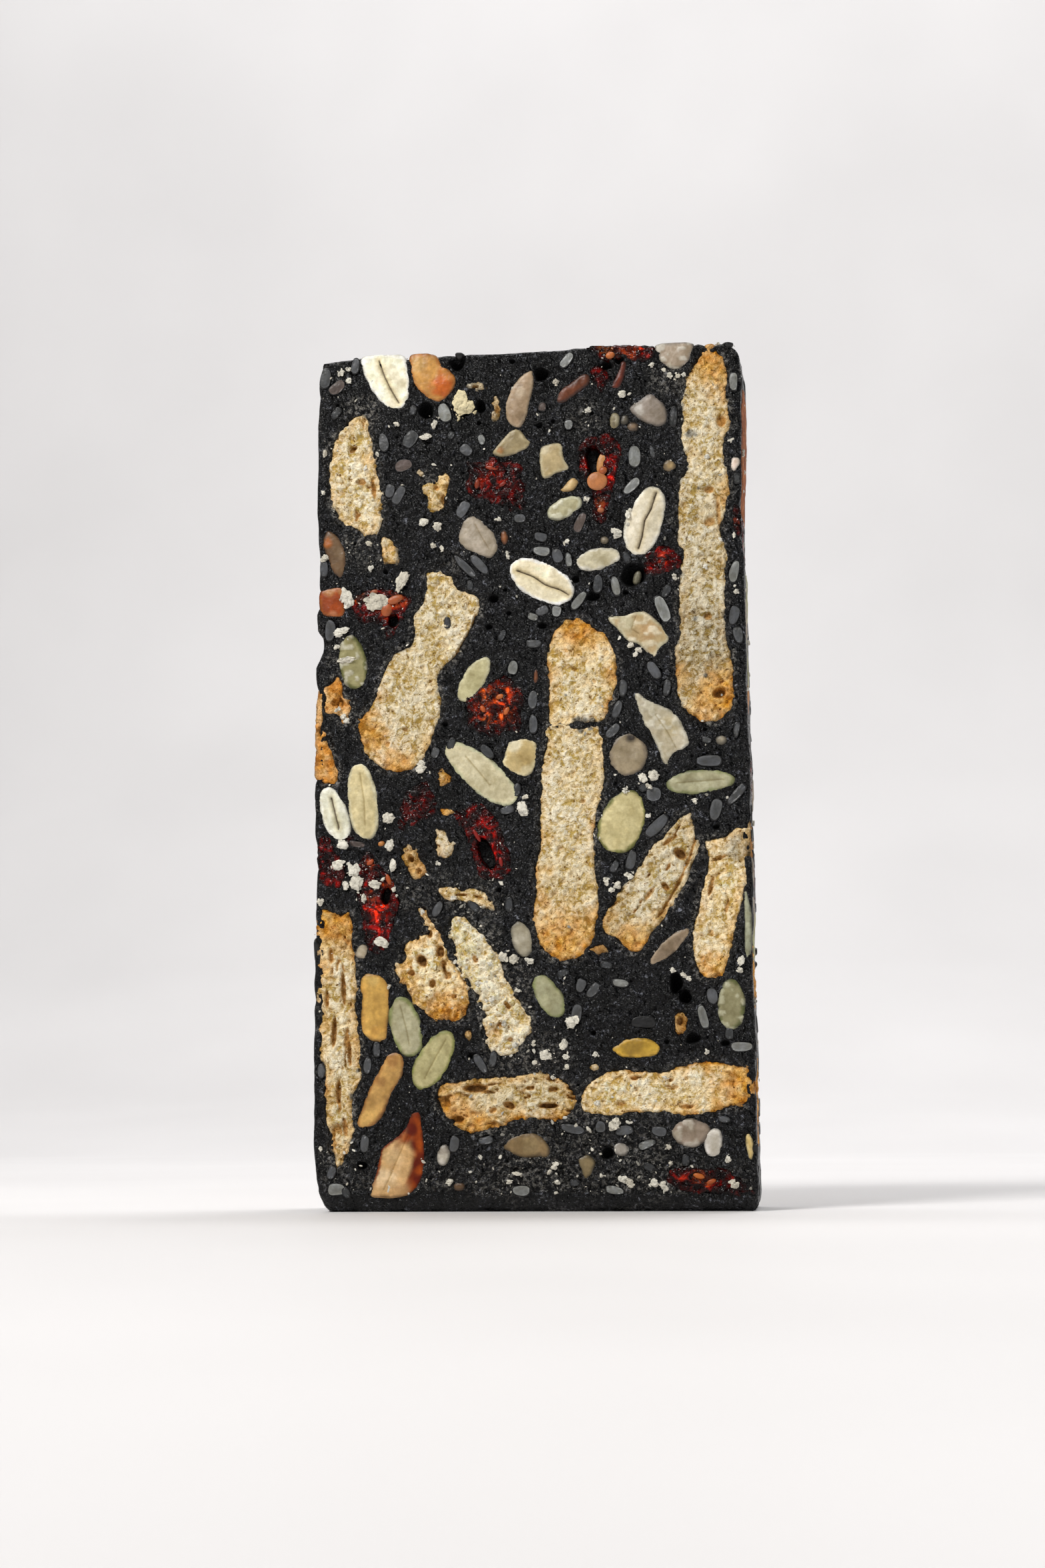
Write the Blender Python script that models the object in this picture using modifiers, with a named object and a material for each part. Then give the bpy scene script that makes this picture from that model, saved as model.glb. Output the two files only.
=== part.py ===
"""A cut slab of dark sesame nougat with biscuits, seeds, nuts and dried berries set in it.

Frame: metres, +Z up, the slab stands on its flat lower end with the origin at the middle of that end.
The cut front face looks towards -Y and the width runs along X. The tables below give sizes in millimetres as
they are seen on the front face: x and z of a piece's middle, its length and width, and the angle of its length
from +X, turning towards +Z.
"""

import math

import bmesh
import bpy
from mathutils import Matrix, Vector

MM = 0.001

# The slab
WIDTH = 66.0
HEIGHT = 130.6
FRONT = 9.2  # distance of the cut front face from the origin, towards -Y
BACK = 9.5  # distance of the back face from the origin, towards +Y
HALF_DEPTH = (FRONT + BACK) / 2
MID_DEPTH = (BACK - FRONT) / 2
PROUD = 0.3  # how far cut seeds stand out of the front face
GAP = 0.3  # gap between a piece and its pocket
CORNER_RADII = {"top_right": 3.0, "top_left": 0.9, "bottom_left": 1.8, "bottom_right": 1.4}
EDGE_BEVEL = 0.45
UNDERCUT_HIGH = 2.2  # the lower front edge leans in
UNDERCUT_DEEP = 2.0

# Biscuits run right through the slab: name, x, z, length, width at the start, width at the end, angle, bend
BISCUITS = [
    ("biscuit_right", 27.1, 100.9, 58.0, 8.6, 6.0, 89.2, 0.4),
    ("biscuit_top_left", -26.8, 111.6, 18.8, 7.4, 6.6, 91, 0.5),
    ("biscuit_left_mid", -17.0, 80.6, 31.8, 11.0, 8.6, 71, 0.9),
    ("biscuit_mid_upper", 7.9, 79.9, 15.4, 9.0, 9.6, 88, 0.0),
    ("biscuit_mid_lower", 5.5, 54.1, 34.6, 9.2, 9.4, 87, 0.3),
    ("biscuit_diagonal", 18.0, 48.0, 22.6, 7.8, 6.6, 65, 0.4),
    ("biscuit_right_low", 27.8, 45.0, 22.2, 6.2, 6.6, 82, 0.4),
    ("biscuit_left_edge", -29.0, 25.9, 38.6, 3.6, 6.4, 90, 0.2),
    ("biscuit_porous", -14.8, 35.7, 15.4, 8.2, 4.0, 104, 0.2),
    ("biscuit_pale", -6.6, 33.3, 20.0, 5.0, 4.8, 112, -0.4),
    ("biscuit_bottom_left", -4.1, 15.9, 20.8, 7.6, 6.6, 4, 0.4),
    ("biscuit_bottom_right", 19.9, 17.4, 24.6, 6.4, 7.4, 3, 0.2),
    ("biscuit_edge_crust", -30.3, 72.0, 14.6, 3.2, 2.9, 90, 0.0),
    ("biscuit_sliver", -9.8, 46.1, 9.6, 2.4, 2.0, -18, 0.0),
]

# Pieces cut by the front face: name, x, z, length, width, angle, depth, squareness, taper
PUMPKIN_SEEDS = [
    ("pumpkin_seed_01", -21.9, 128.0, 13.0, 7.0, 105, 2.4, 2.0, -0.10),
    ("pumpkin_seed_02", 17.7, 102.9, 11.0, 6.2, 71, 2.3, 2.0, 0.08),
    ("pumpkin_seed_03", -27.1, 82.5, 8.4, 4.3, 98, 2.0, 2.1, 0.00),
    ("pumpkin_seed_04", -8.8, 79.9, 7.0, 3.3, 58, 1.8, 2.1, 0.00),
    ("pumpkin_seed_05", -7.5, 65.1, 13.6, 5.2, 139, 2.2, 2.1, 0.05),
    ("pumpkin_seed_06", 1.9, 94.2, 10.5, 5.8, 151, 2.3, 2.1, 0.00),
    ("pumpkin_seed_07", 10.6, 97.3, 6.8, 3.4, 10, 1.8, 2.1, 0.05),
    ("pumpkin_seed_08", -25.5, 61.2, 11.8, 4.6, 96, 2.1, 2.1, 0.00),
    ("pumpkin_seed_09", -29.9, 59.4, 8.4, 3.8, 109, 1.9, 2.1, 0.00),
    ("pumpkin_seed_10", 14.0, 57.3, 9.5, 6.4, 69, 2.4, 2.1, 0.06),
    ("pumpkin_seed_11", 25.4, 63.0, 10.2, 3.5, 4, 1.9, 2.2, 0.00),
    ("pumpkin_seed_12", -19.1, 27.0, 8.5, 4.2, 104, 2.1, 2.1, 0.00),
    ("pumpkin_seed_13", -14.5, 22.4, 9.1, 4.4, 60, 2.1, 2.1, 0.10),
    ("pumpkin_seed_14", 2.4, 31.4, 6.8, 3.6, 120, 1.8, 2.1, 0.00),
    ("pumpkin_seed_15", 29.4, 29.9, 6.4, 3.8, 88, 1.9, 2.2, 0.00),
]

NUTS = [
    ("nut_orange_top", -14.6, 127.3, 9.4, 5.9, 118, 3.2, 2.4, -0.10),
    ("nut_left_edge", -29.6, 99.3, 7.4, 3.0, 104, 2.2, 2.1, 0.10),
    ("nut_grey_mid", -7.7, 101.3, 7.6, 4.9, 126, 3.0, 2.2, 0.00),
    ("nut_grey_top_edge", 22.3, 129.8, 5.8, 4.8, 90, 3.0, 2.2, 0.00),
    ("nut_grey_right", 18.4, 120.2, 6.2, 4.6, 145, 2.9, 2.1, 0.00),
    ("nut_square_left", -30.3, 91.9, 4.2, 4.0, 90, 2.4, 4.0, 0.00),
    ("nut_round", 14.8, 67.2, 6.4, 5.7, 90, 3.1, 2.1, -0.08),
    ("nut_grey_small", -1.4, 40.0, 4.8, 3.0, 115, 2.3, 2.1, 0.00),
    ("nut_tan_block", -23.9, 30.1, 9.8, 4.2, 92, 2.8, 3.2, -0.06),
    ("nut_brown_bar", -22.9, 18.0, 11.6, 3.8, 63, 2.4, 3.0, 0.05),
    ("nut_beige_low", -1.0, 9.6, 6.8, 3.5, -3, 2.4, 2.2, 0.05),
    ("nut_amber", 15.4, 23.7, 6.6, 2.7, -3, 2.1, 2.3, 0.00),
    ("nut_grey_low", 22.9, 11.2, 5.4, 3.9, 0, 2.6, 2.3, 0.00),
    ("sunflower_seed_top", -1.3, 122.5, 9.0, 3.4, 78, 2.0, 2.3, -0.08),
    ("nut_cream_block", -1.9, 67.6, 5.2, 4.6, 60, 2.5, 2.6, 0.00),
    ("nut_cream_wedge", 16.8, 86.0, 9.0, 4.8, 150, 2.6, 2.2, -0.15),
    ("nut_pale_wedge", 20.0, 71.5, 11.8, 5.0, 123, 2.7, 2.1, -0.15),
]

# Berries are lumpy: the last two values are the depth of the lumps and their number round the edge
BERRIES = [
    ("berry_top_mid", -4.9, 109.6, 9.4, 7.8, -18, 4.0, 0.06, 5),
    ("berry_top_edge", 14.8, 129.3, 8.4, 3.4, -4, 3.4, 0.06, 5),
    ("berry_hollow", 11.0, 110.1, 13.6, 6.4, 90, 4.2, 0.05, 4),
    ("berry_left_upper", -23.3, 90.6, 8.0, 6.6, 10, 4.0, 0.08, 3),
    ("berry_crumbly", -4.8, 74.7, 8.6, 8.2, 20, 4.0, 0.04, 6),
    ("berry_small_right", 20.4, 96.6, 4.4, 4.0, 20, 2.8, 0.07, 4),
    ("berry_small_left", -17.2, 60.6, 5.6, 5.4, 80, 3.0, 0.08, 5),
    ("berry_split", -7.2, 54.4, 11.6, 7.2, -63, 4.3, 0.04, 4),
    ("berry_edge_left", -30.0, 51.6, 7.0, 3.4, 92, 3.0, 0.06, 4),
    ("berry_long_left", -23.2, 45.6, 15.2, 5.2, 94, 4.0, 0.05, 5),
    ("berry_bottom_right", 25.9, 4.8, 11.6, 3.4, -6, 3.2, 0.05, 6),
]

# One almond, cut lengthwise, its point up and to the right
ALMOND = ("almond", -20.2, 8.6, 12.6, 6.8, 63, 4.2, 2.2, -0.22)

COLOURS = {
    "nougat": (0.020, 0.020, 0.023, 0.55),
    "biscuit": (0.78, 0.60, 0.36, 0.85),
    "pumpkin_seed": (0.66, 0.65, 0.42, 0.50),
    "sunflower_seed": (0.55, 0.47, 0.36, 0.40),
    "nut_grey": (0.36, 0.30, 0.24, 0.45),
    "nut_pale": (0.50, 0.46, 0.32, 0.45),
    "nut_orange": (0.66, 0.33, 0.10, 0.45),
    "nut_square": (0.48, 0.18, 0.05, 0.50),
    "nut_tan": (0.68, 0.42, 0.16, 0.45),
    "nut_brown": (0.55, 0.26, 0.07, 0.45),
    "nut_amber": (0.52, 0.31, 0.07, 0.45),
    "nut": (0.58, 0.46, 0.30, 0.45),
    "berry": (0.16, 0.006, 0.005, 0.22),
    "almond": (0.72, 0.50, 0.30, 0.50),
}

CIRCLE_STEPS = 12  # corners round a seed, nut or berry


def colour_of(name):
    """The colour and roughness of the longest kind that the name starts with."""
    kinds = [kind for kind in COLOURS if name.startswith(kind)]
    return COLOURS[max(kinds, key=len)]


def principled(name):
    red, green, blue, roughness = colour_of(name)
    material = bpy.data.materials.new(name)
    material.use_nodes = True
    shader = material.node_tree.nodes["Principled BSDF"]
    shader.inputs["Base Color"].default_value = (red, green, blue, 1.0)
    shader.inputs["Roughness"].default_value = roughness
    shader.inputs["Metallic"].default_value = 0.0
    material.diffuse_color = (red, green, blue, 1.0)
    return material


def new_collection(name):
    collection = bpy.data.collections.new(name)
    bpy.context.scene.collection.children.link(collection)
    return collection


def place(x, z, angle, y=0.0):
    """The matrix of a piece at x, z on the front view whose length is turned by angle from +X towards +Z."""
    return Matrix.Translation(Vector((x, y, z)) * MM) @ Matrix.Rotation(-math.radians(angle), 4, "Y")


def bar_outline(length, start, end, bend, grow=0.0):
    """A bar with round ends, its width going from start to end and its middle raised by bend."""
    half = length / 2 + grow
    points = []
    arc, side = 5, 3

    def across(x):
        share = (x + half) / (2 * half)
        return (start + (end - start) * share) / 2 + grow

    for sign, radius in ((1, end / 2 + grow), (-1, start / 2 + grow)):
        for step in range(arc + 1):
            turn = math.radians(-90 + 180 * step / arc)
            points.append((sign * (half - radius + radius * math.cos(turn)), sign * radius * math.sin(turn)))
        left, right = sign * (half - (end if sign > 0 else start) / 2), -sign * (half - (start if sign > 0 else end) / 2)
        for step in range(1, side + 1):
            x = left + (right - left) * step / (side + 1)
            points.append((x, sign * across(x)))
    return [(x, y + bend * (1 - (x / half) ** 2) - bend / 2) for x, y in points]


def slab_outline():
    """The front view of the slab: a rectangle with its four corners rounded by their own radii."""
    half = WIDTH / 2
    corners = [
        ("bottom_right", half, 0.0, -90, -1, 1),
        ("top_right", half, HEIGHT, 0, -1, -1),
        ("top_left", -half, HEIGHT, 90, 1, -1),
        ("bottom_left", -half, 0.0, 180, 1, 1),
    ]
    points = []
    for name, x, z, first, inward_x, inward_z in corners:
        radius = CORNER_RADII[name]
        for step in range(5):
            turn = math.radians(first + 90 * step / 4)
            points.append(
                (x + inward_x * radius + radius * math.cos(turn), z + inward_z * radius + radius * math.sin(turn))
            )
    return points


def prism(name, outline, half_depth):
    """A flat outline, given in the front view, extruded by half_depth to the front and to the back."""
    curve = bpy.data.curves.new(name, "CURVE")
    curve.dimensions = "2D"
    curve.fill_mode = "BOTH"
    curve.extrude = half_depth * MM
    spline = curve.splines.new("POLY")
    spline.points.add(len(outline) - 1)
    for point, (x, z) in zip(spline.points, outline):
        point.co = (x * MM, z * MM, 0.0, 1.0)
    spline.use_cyclic_u = True
    drawn = bpy.data.objects.new(name + "_outline", curve)
    bpy.context.scene.collection.objects.link(drawn)
    bpy.context.view_layer.update()
    graph = bpy.context.evaluated_depsgraph_get()
    mesh = bpy.data.meshes.new_from_object(drawn.evaluated_get(graph))
    bpy.data.objects.remove(drawn)
    shape = bmesh.new()
    shape.from_mesh(mesh)
    bmesh.ops.remove_doubles(shape, verts=shape.verts, dist=1e-6)
    bmesh.ops.transform(shape, matrix=Matrix.Rotation(math.radians(90), 4, "X"), verts=shape.verts)
    bmesh.ops.recalc_face_normals(shape, faces=shape.faces)
    shape.to_mesh(mesh)
    shape.free()
    mesh.name = name
    return mesh


def squared(value, squareness):
    return math.copysign(abs(value) ** (2.0 / squareness), value)


def drop(length, width, depth, squareness=2.0, taper=0.0, lumps=0.0, lobes=0, phase=0.0, grow=0.0):
    """A rounded body with its length on X, its depth on Y and its width on Z, full size at y = 0."""
    shape = bmesh.new()
    bmesh.ops.create_uvsphere(shape, u_segments=CIRCLE_STEPS, v_segments=6, radius=1.0)
    bmesh.ops.transform(shape, matrix=Matrix.Rotation(math.radians(90), 4, "X"), verts=shape.verts)
    for vert in shape.verts:
        x, y, z = vert.co
        around = math.hypot(x, z)
        if around > 1e-6:
            turn = math.atan2(z, x)
            ripple = 1 + lumps * math.sin(lobes * turn + phase)
            across_x = around * squared(math.cos(turn), squareness) * ripple
            across_z = around * squared(math.sin(turn), squareness) * ripple
        else:
            across_x = across_z = 0.0
        vert.co = Vector(
            (
                across_x * (length / 2 + grow),
                y * (depth + grow),
                across_z * (width / 2 * (1 + taper * across_x) + grow),
            )
        ) * MM
    bmesh.ops.recalc_face_normals(shape, faces=shape.faces)
    return shape


def trim(shape, point, normal):
    """Cuts away what lies on the normal's side of a plane and closes the cut with one flat face."""
    cut = bmesh.ops.bisect_plane(
        shape,
        geom=shape.verts[:] + shape.edges[:] + shape.faces[:],
        dist=1e-7,
        plane_co=point,
        plane_no=normal,
        clear_outer=True,
    )
    rim = [item for item in cut["geom_cut"] if isinstance(item, bmesh.types.BMEdge)]
    bmesh.ops.contextual_create(shape, geom=rim)
    bmesh.ops.recalc_face_normals(shape, faces=shape.faces)


def add(name, mesh, matrix, collection, parent):
    mesh.materials.clear()
    mesh.materials.append(principled(name))
    piece = bpy.data.objects.new(name, mesh)
    collection.objects.link(piece)
    piece.parent = parent
    piece.matrix_world = matrix
    return piece


def cut_piece(name, shape, matrix, collection, parent):
    """A piece that the front face, and for some the top of the slab, cuts off flat."""
    trim(shape, Vector((0, 0, 0)), Vector((0, -1, 0)))
    top = Vector((0, 0, HEIGHT * MM))
    highest = max((matrix @ vert.co).z for vert in shape.verts)
    if highest > top.z:
        inverse = matrix.inverted()
        trim(shape, inverse @ top, inverse.to_3x3() @ Vector((0, 0, 1)))
    mesh = bpy.data.meshes.new(name)
    shape.to_mesh(mesh)
    shape.free()
    return add(name, mesh, matrix, collection, parent)


def main():
    for item in list(bpy.data.objects):
        bpy.data.objects.remove(item)
    parts = new_collection("granola_bar")
    cutters = new_collection("granola_bar_cutters")
    cutters.hide_render = True
    parent = bpy.data.objects.new("granola_bar", None)
    parts.objects.link(parent)
    pockets = bmesh.new()

    def pocket(shape_mesh, matrix):
        at_place = shape_mesh.copy()
        at_place.transform(matrix)
        pockets.from_mesh(at_place)
        bpy.data.meshes.remove(at_place)

    # The biscuits, each a prism from the front face to the back face
    for name, x, z, length, start, end, angle, bend in BISCUITS:
        matrix = place(x, z, angle, MID_DEPTH)
        mesh = prism(name, bar_outline(length, start, end, bend), HALF_DEPTH)
        add(name, mesh, matrix, parts, parent)
        hole = prism(name + "_pocket", bar_outline(length, start, end, bend, GAP), HALF_DEPTH + 2)
        pocket(hole, matrix)

    # The seeds, nuts, almond and berries, each a rounded body cut off flat a little in front of the face
    rounded = [(row[0], row[1:6], dict(depth=row[6], squareness=row[7], taper=row[8])) for row in PUMPKIN_SEEDS + NUTS + [ALMOND]]
    for order, row in enumerate(BERRIES):
        rounded.append((row[0], row[1:6], dict(depth=row[6], lumps=row[7], lobes=row[8], phase=1.3 * order)))
    for name, (x, z, length, width, angle), form in rounded:
        matrix = place(x, z, angle, -FRONT - PROUD)
        cut_piece(name, drop(length, width, **form), matrix, parts, parent)
        form["depth"] += PROUD
        grown = drop(length, width, grow=GAP, **form)
        hole = bpy.data.meshes.new(name + "_pocket")
        grown.to_mesh(hole)
        grown.free()
        pocket(hole, matrix)

    pocket_mesh = bpy.data.meshes.new("pockets")
    pockets.to_mesh(pocket_mesh)
    pockets.free()
    pocket_cutter = bpy.data.objects.new("pockets", pocket_mesh)

    # The undercut along the lower front edge
    wedge_mesh = prism(
        "undercut",
        [(-WIDTH / 2 - 5, -6.0), (WIDTH / 2 + 5, -6.0), (WIDTH / 2 + 5, 0.0), (-WIDTH / 2 - 5, 0.0)],
        6.0,
    )
    lean = math.atan2(UNDERCUT_DEEP, UNDERCUT_HIGH)
    wedge_mesh.transform(
        Matrix.Translation(Vector((0, -FRONT, UNDERCUT_HIGH)) * MM)
        @ Matrix.Rotation(-(math.pi / 2 - lean), 4, "X")
    )
    undercut = bpy.data.objects.new("undercut", wedge_mesh)
    for cutter in (pocket_cutter, undercut):
        cutters.objects.link(cutter)
        cutter.hide_render = True
        cutter.display_type = "WIRE"

    nougat = add("nougat", prism("nougat", slab_outline(), HALF_DEPTH), place(0, 0, 0, MID_DEPTH), parts, parent)
    edges = nougat.modifiers.new("edges", "BEVEL")
    edges.width = EDGE_BEVEL * MM
    edges.segments = 1
    edges.limit_method = "ANGLE"
    edges.angle_limit = math.radians(60)
    for name, cutter, self_crossing in (("undercut", undercut, False), ("pockets", pocket_cutter, True)):
        cut = nougat.modifiers.new(name, "BOOLEAN")
        cut.operation = "DIFFERENCE"
        cut.solver = "EXACT"
        cut.use_self = self_crossing
        cut.object = cutter
    bpy.context.view_layer.update()


main()
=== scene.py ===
"""A cut bar of dark sesame nougat with biscuits, pumpkin seeds, nuts, dried red berries and an almond in it.

Lengths are in millimetres up to the point where a mesh is made. A face of the bar has its own u, v along it and
w outwards, and (x, z) in the lists are places on the front face, read from the middle of the lower end.
"""

import itertools
import math

import bmesh
import bpy
import numpy as np
from mathutils import Matrix, Vector
from mathutils.geometry import delaunay_2d_cdt


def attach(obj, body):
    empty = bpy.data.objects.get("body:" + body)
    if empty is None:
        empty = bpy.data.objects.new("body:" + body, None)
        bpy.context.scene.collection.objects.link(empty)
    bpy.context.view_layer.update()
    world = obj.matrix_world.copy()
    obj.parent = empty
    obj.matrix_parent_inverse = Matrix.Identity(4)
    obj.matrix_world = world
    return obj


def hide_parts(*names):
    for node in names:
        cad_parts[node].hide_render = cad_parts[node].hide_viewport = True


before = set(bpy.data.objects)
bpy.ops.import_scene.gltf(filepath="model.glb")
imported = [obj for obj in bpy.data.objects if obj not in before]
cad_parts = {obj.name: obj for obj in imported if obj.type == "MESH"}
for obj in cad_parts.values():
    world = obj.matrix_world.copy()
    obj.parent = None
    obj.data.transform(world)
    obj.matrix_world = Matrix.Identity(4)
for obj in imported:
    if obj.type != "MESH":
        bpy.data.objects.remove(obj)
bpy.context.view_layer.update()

SHIFT = 0.5  # the lists are read 0.5 mm to the left of the model's own x
HALF_X, HALF_Y, TOP_Z = 33.0, 9.5, 130.6
FRONT, BACK = 8.85, 9.0  # the nougat's cut faces stand this far from the middle plane


# ---------------------------------------------------------------- numbers and noise


def srgb(r, g, b):
    c = np.array([r, g, b], float) / 255.0
    return np.where(c <= 0.04045, c / 12.92, ((c + 0.055) / 1.055) ** 2.4)


def smooth(a, b, x):
    t = np.clip((x - a) / (b - a), 0, 1)
    return t * t * (3 - 2 * t)


def mix(a, b, t):
    t = np.asarray(t)[..., None]
    return a * (1 - t) + b * t


def hashed(i, seed):
    h = (i[:, 0] * 73856093) ^ (i[:, 1] * 19349663) ^ (i[:, 2] * 83492791) ^ (seed * 2654435 + 977)
    h = h & 0xFFFFFFFF
    h = ((h ^ (h >> 16)) * 0x45D9F3B) & 0xFFFFFFFF
    h = ((h ^ (h >> 16)) * 0x45D9F3B) & 0xFFFFFFFF
    return (h ^ (h >> 16)) / 4294967296.0


def noise(p, size, seed=0):
    """Smooth noise from -1 to 1 with lumps of that size."""
    q = p / size
    i = np.floor(q).astype(np.int64)
    f = q - i
    f = f * f * (3 - 2 * f)
    total = 0.0
    for d in itertools.product((0, 1), repeat=3):
        w = 1.0
        for k in range(3):
            w = w * (f[:, k] if d[k] else 1 - f[:, k])
        total = total + w * hashed(i + np.array(d), seed)
    return total * 2 - 1


def fbm(p, size, octaves, seed=0, gain=0.5):
    total, a = 0.0, 1.0
    for k in range(octaves):
        total = total + a * noise(p, size / 2**k, seed + 31 * k)
        a *= gain
    return total


def cells(p, size, seed=0):
    """Distance to the nearest and the second nearest cell point, in cell sizes, and a number of the nearest cell."""
    q = p / size
    i = np.floor(q).astype(np.int64)
    first = np.full(len(p), 9.0)
    second = np.full(len(p), 9.0)
    label = np.zeros(len(p))
    for d in itertools.product((-1, 0, 1), repeat=3):
        c = i + np.array(d)
        r = [hashed(c, seed + k) for k in (1, 2, 3)]
        dist = np.sqrt(sum((q[:, k] - c[:, k] - 0.1 - 0.8 * r[k]) ** 2 for k in range(3)))
        near = dist < first
        second = np.where(near, first, np.minimum(second, dist))
        label = np.where(near, r[0] * 7.3 % 1, label)
        first = np.where(near, dist, first)
    return first, second, label


# ---------------------------------------------------------------- outlines


def outline_of(points, step, rough=0.0, seed=0, read=True):
    """A closed smooth line through the points, turning left, with a point every step and a rough edge."""
    p = np.array(points, float)
    if read:
        p = p + [SHIFT, 0]
    area = np.sum(p[:, 0] * np.roll(p[:, 1], -1) - np.roll(p[:, 0], -1) * p[:, 1])
    if area < 0:
        p = p[::-1]
    nxt, prv = np.roll(p, -1, 0), np.roll(p, 1, 0)
    ln = np.linalg.norm(nxt - p, axis=1)
    lp = np.roll(ln, 1)
    tangent = (nxt - prv) / (ln + lp)[:, None]
    fine = []
    for t in np.linspace(0, 1, 12, endpoint=False):
        h00, h10 = 2 * t**3 - 3 * t**2 + 1, t**3 - 2 * t**2 + t
        h01, h11 = -2 * t**3 + 3 * t**2, t**3 - t**2
        fine.append(
            h00 * p
            + h10 * tangent * ln[:, None]
            + h01 * nxt
            + h11 * np.roll(tangent, -1, 0) * ln[:, None]
        )
    fine = np.stack(fine, 1).reshape(-1, 2)
    along = np.concatenate([[0], np.cumsum(np.linalg.norm(np.roll(fine, -1, 0) - fine, axis=1))])
    closed = np.vstack([fine, fine[:1]])
    n = max(12, int(round(along[-1] / step)))
    s = np.linspace(0, along[-1], n, endpoint=False)
    out = np.stack([np.interp(s, along, closed[:, k]) for k in (0, 1)], 1)
    if rough:
        q = np.column_stack([out, np.full(n, 0.37)])
        amount = rough * (fbm(q, 1.5, 2, seed + 5) * 0.7 + noise(q, 0.45, seed + 9) * 0.5)
        out = out + outward(out) * amount[:, None]
    return out


def outward(loop):
    d = np.roll(loop, -1, 0) - np.roll(loop, 1, 0)
    n = np.stack([d[:, 1], -d[:, 0]], 1)
    return n / np.maximum(np.linalg.norm(n, axis=1), 1e-9)[:, None]


def inside_by(p, loop):
    """How far each point is inside the closed line, and below 0 outside it."""
    a, b = loop, np.roll(loop, -1, 0)
    best = np.full(len(p), 1e9)
    inside = np.zeros(len(p), bool)
    for (ax, ay), (bx, by) in zip(a, b):
        dx, dy = bx - ax, by - ay
        px, py = p[:, 0] - ax, p[:, 1] - ay
        t = np.clip((px * dx + py * dy) / (dx * dx + dy * dy + 1e-12), 0, 1)
        best = np.minimum(best, (px - t * dx) ** 2 + (py - t * dy) ** 2)
        if ay != by:
            inside ^= ((ay > p[:, 1]) != (by > p[:, 1])) & (px < (p[:, 1] - ay) / (by - ay) * dx)
    return np.where(inside, 1, -1) * np.sqrt(best)


def near_box(p, loop, margin):
    lo, hi = loop.min(0) - margin, loop.max(0) + margin
    return np.nonzero(((p > lo) & (p < hi)).all(1))[0]


def oval(x, z, length, width, angle, step=0.3, rough=0.0, seed=0, square=2.0, taper=0.0):
    """A closed oval line, its length along angle in degrees from the u axis."""
    n = 40
    t = np.linspace(0, 2 * np.pi, n, endpoint=False)
    c, s = np.cos(t), np.sin(t)
    a = np.sign(c) * np.abs(c) ** (2 / square) * length / 2
    b = np.sign(s) * np.abs(s) ** (2 / square) * width / 2 * (1 - taper * a / (length / 2))
    ca, sa = math.cos(math.radians(angle)), math.sin(math.radians(angle))
    p = np.stack([x + a * ca - b * sa, z + a * sa + b * ca], 1)
    return outline_of(p, step, rough, seed, read=False)


def segment_distance(p, line):
    best = np.full(len(p), 1e9)
    for a, b in zip(line[:-1], line[1:]):
        a, b = np.array(a, float), np.array(b, float)
        t = np.clip(((p - a) @ (b - a)) / max((b - a) @ (b - a), 1e-9), 0, 1)
        best = np.minimum(best, np.linalg.norm(p - a - t[:, None] * (b - a), axis=1))
    return best


# ---------------------------------------------------------------- triangles


def hex_points(lo, hi, h, seed, jitter=0.2):
    rows = int((hi[1] - lo[1]) / (h * 0.866)) + 2
    cols = int((hi[0] - lo[0]) / h) + 2
    j, i = np.mgrid[0:rows, 0:cols]
    x = lo[0] + (i + 0.5 * (j % 2)) * h
    z = lo[1] + j * h * 0.866
    r = np.random.RandomState(seed)
    p = np.stack([x.ravel(), z.ravel()], 1) + r.uniform(-jitter, jitter, (rows * cols, 2)) * h
    return p, i.ravel(), j.ravel()


def triangulate(loop, extra):
    """The loop's points, then the extra ones, joined by triangles that fill the loop."""
    points = np.vstack([loop, extra]) if len(extra) else loop
    n = len(loop)
    verts, _, tris, orig, _, _ = delaunay_2d_cdt(
        [Vector((float(x), float(y))) for x, y in points], [], [list(range(n))], 1, 1e-7
    )
    order = np.array([o[0] if o else -1 for o in orig])
    if (order < 0).any():
        raise RuntimeError("an outline crosses itself")
    tris = order[np.array(tris, int)]
    a, b, c = points[tris[:, 0]], points[tris[:, 1]], points[tris[:, 2]]
    area = (b[:, 0] - a[:, 0]) * (c[:, 1] - a[:, 1]) - (c[:, 0] - a[:, 0]) * (b[:, 1] - a[:, 1])
    tris[area < 0] = tris[area < 0][:, ::-1]
    return points, tris


def untangled(loop):
    """The same line with as many points, smoothed wherever it crosses itself."""
    loop = loop.copy()
    for _ in range(30):
        verts, _, _, orig, _, _ = delaunay_2d_cdt(
            [Vector((float(x), float(y))) for x, y in loop], [], [list(range(len(loop)))], 1, 1e-7
        )
        crossings = np.array([v[:] for v, o in zip(verts, orig) if not o]).reshape(-1, 2)
        merged = np.array([v[:] for v, o in zip(verts, orig) if len(o) > 1]).reshape(-1, 2)
        bad = np.vstack([crossings, merged])
        if not len(bad):
            break
        near = np.min(np.linalg.norm(loop[:, None] - bad[None], axis=2), axis=1) < 1.6
        for _ in range(3):
            middle = (np.roll(loop, 1, 0) + np.roll(loop, -1, 0)) / 2
            loop[near] = (loop[near] + middle[near]) / 2
    return loop


def fill(loop, h, seed, extra=None, edge=0.6):
    p, _, _ = hex_points(loop.min(0), loop.max(0), h, seed)
    p = p[inside_by(p, loop) > edge * h]
    if extra is not None and len(extra):
        extra = extra[inside_by(extra, loop) > 0.3 * h]
        if len(extra) and len(p):
            far = np.min(
                np.linalg.norm(p[:, None, :] - extra[None, :, :], axis=2), axis=1
            )
            p = np.vstack([p[far > 0.5 * h], extra])
        elif len(extra):
            p = extra
    return triangulate(loop, p)


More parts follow.
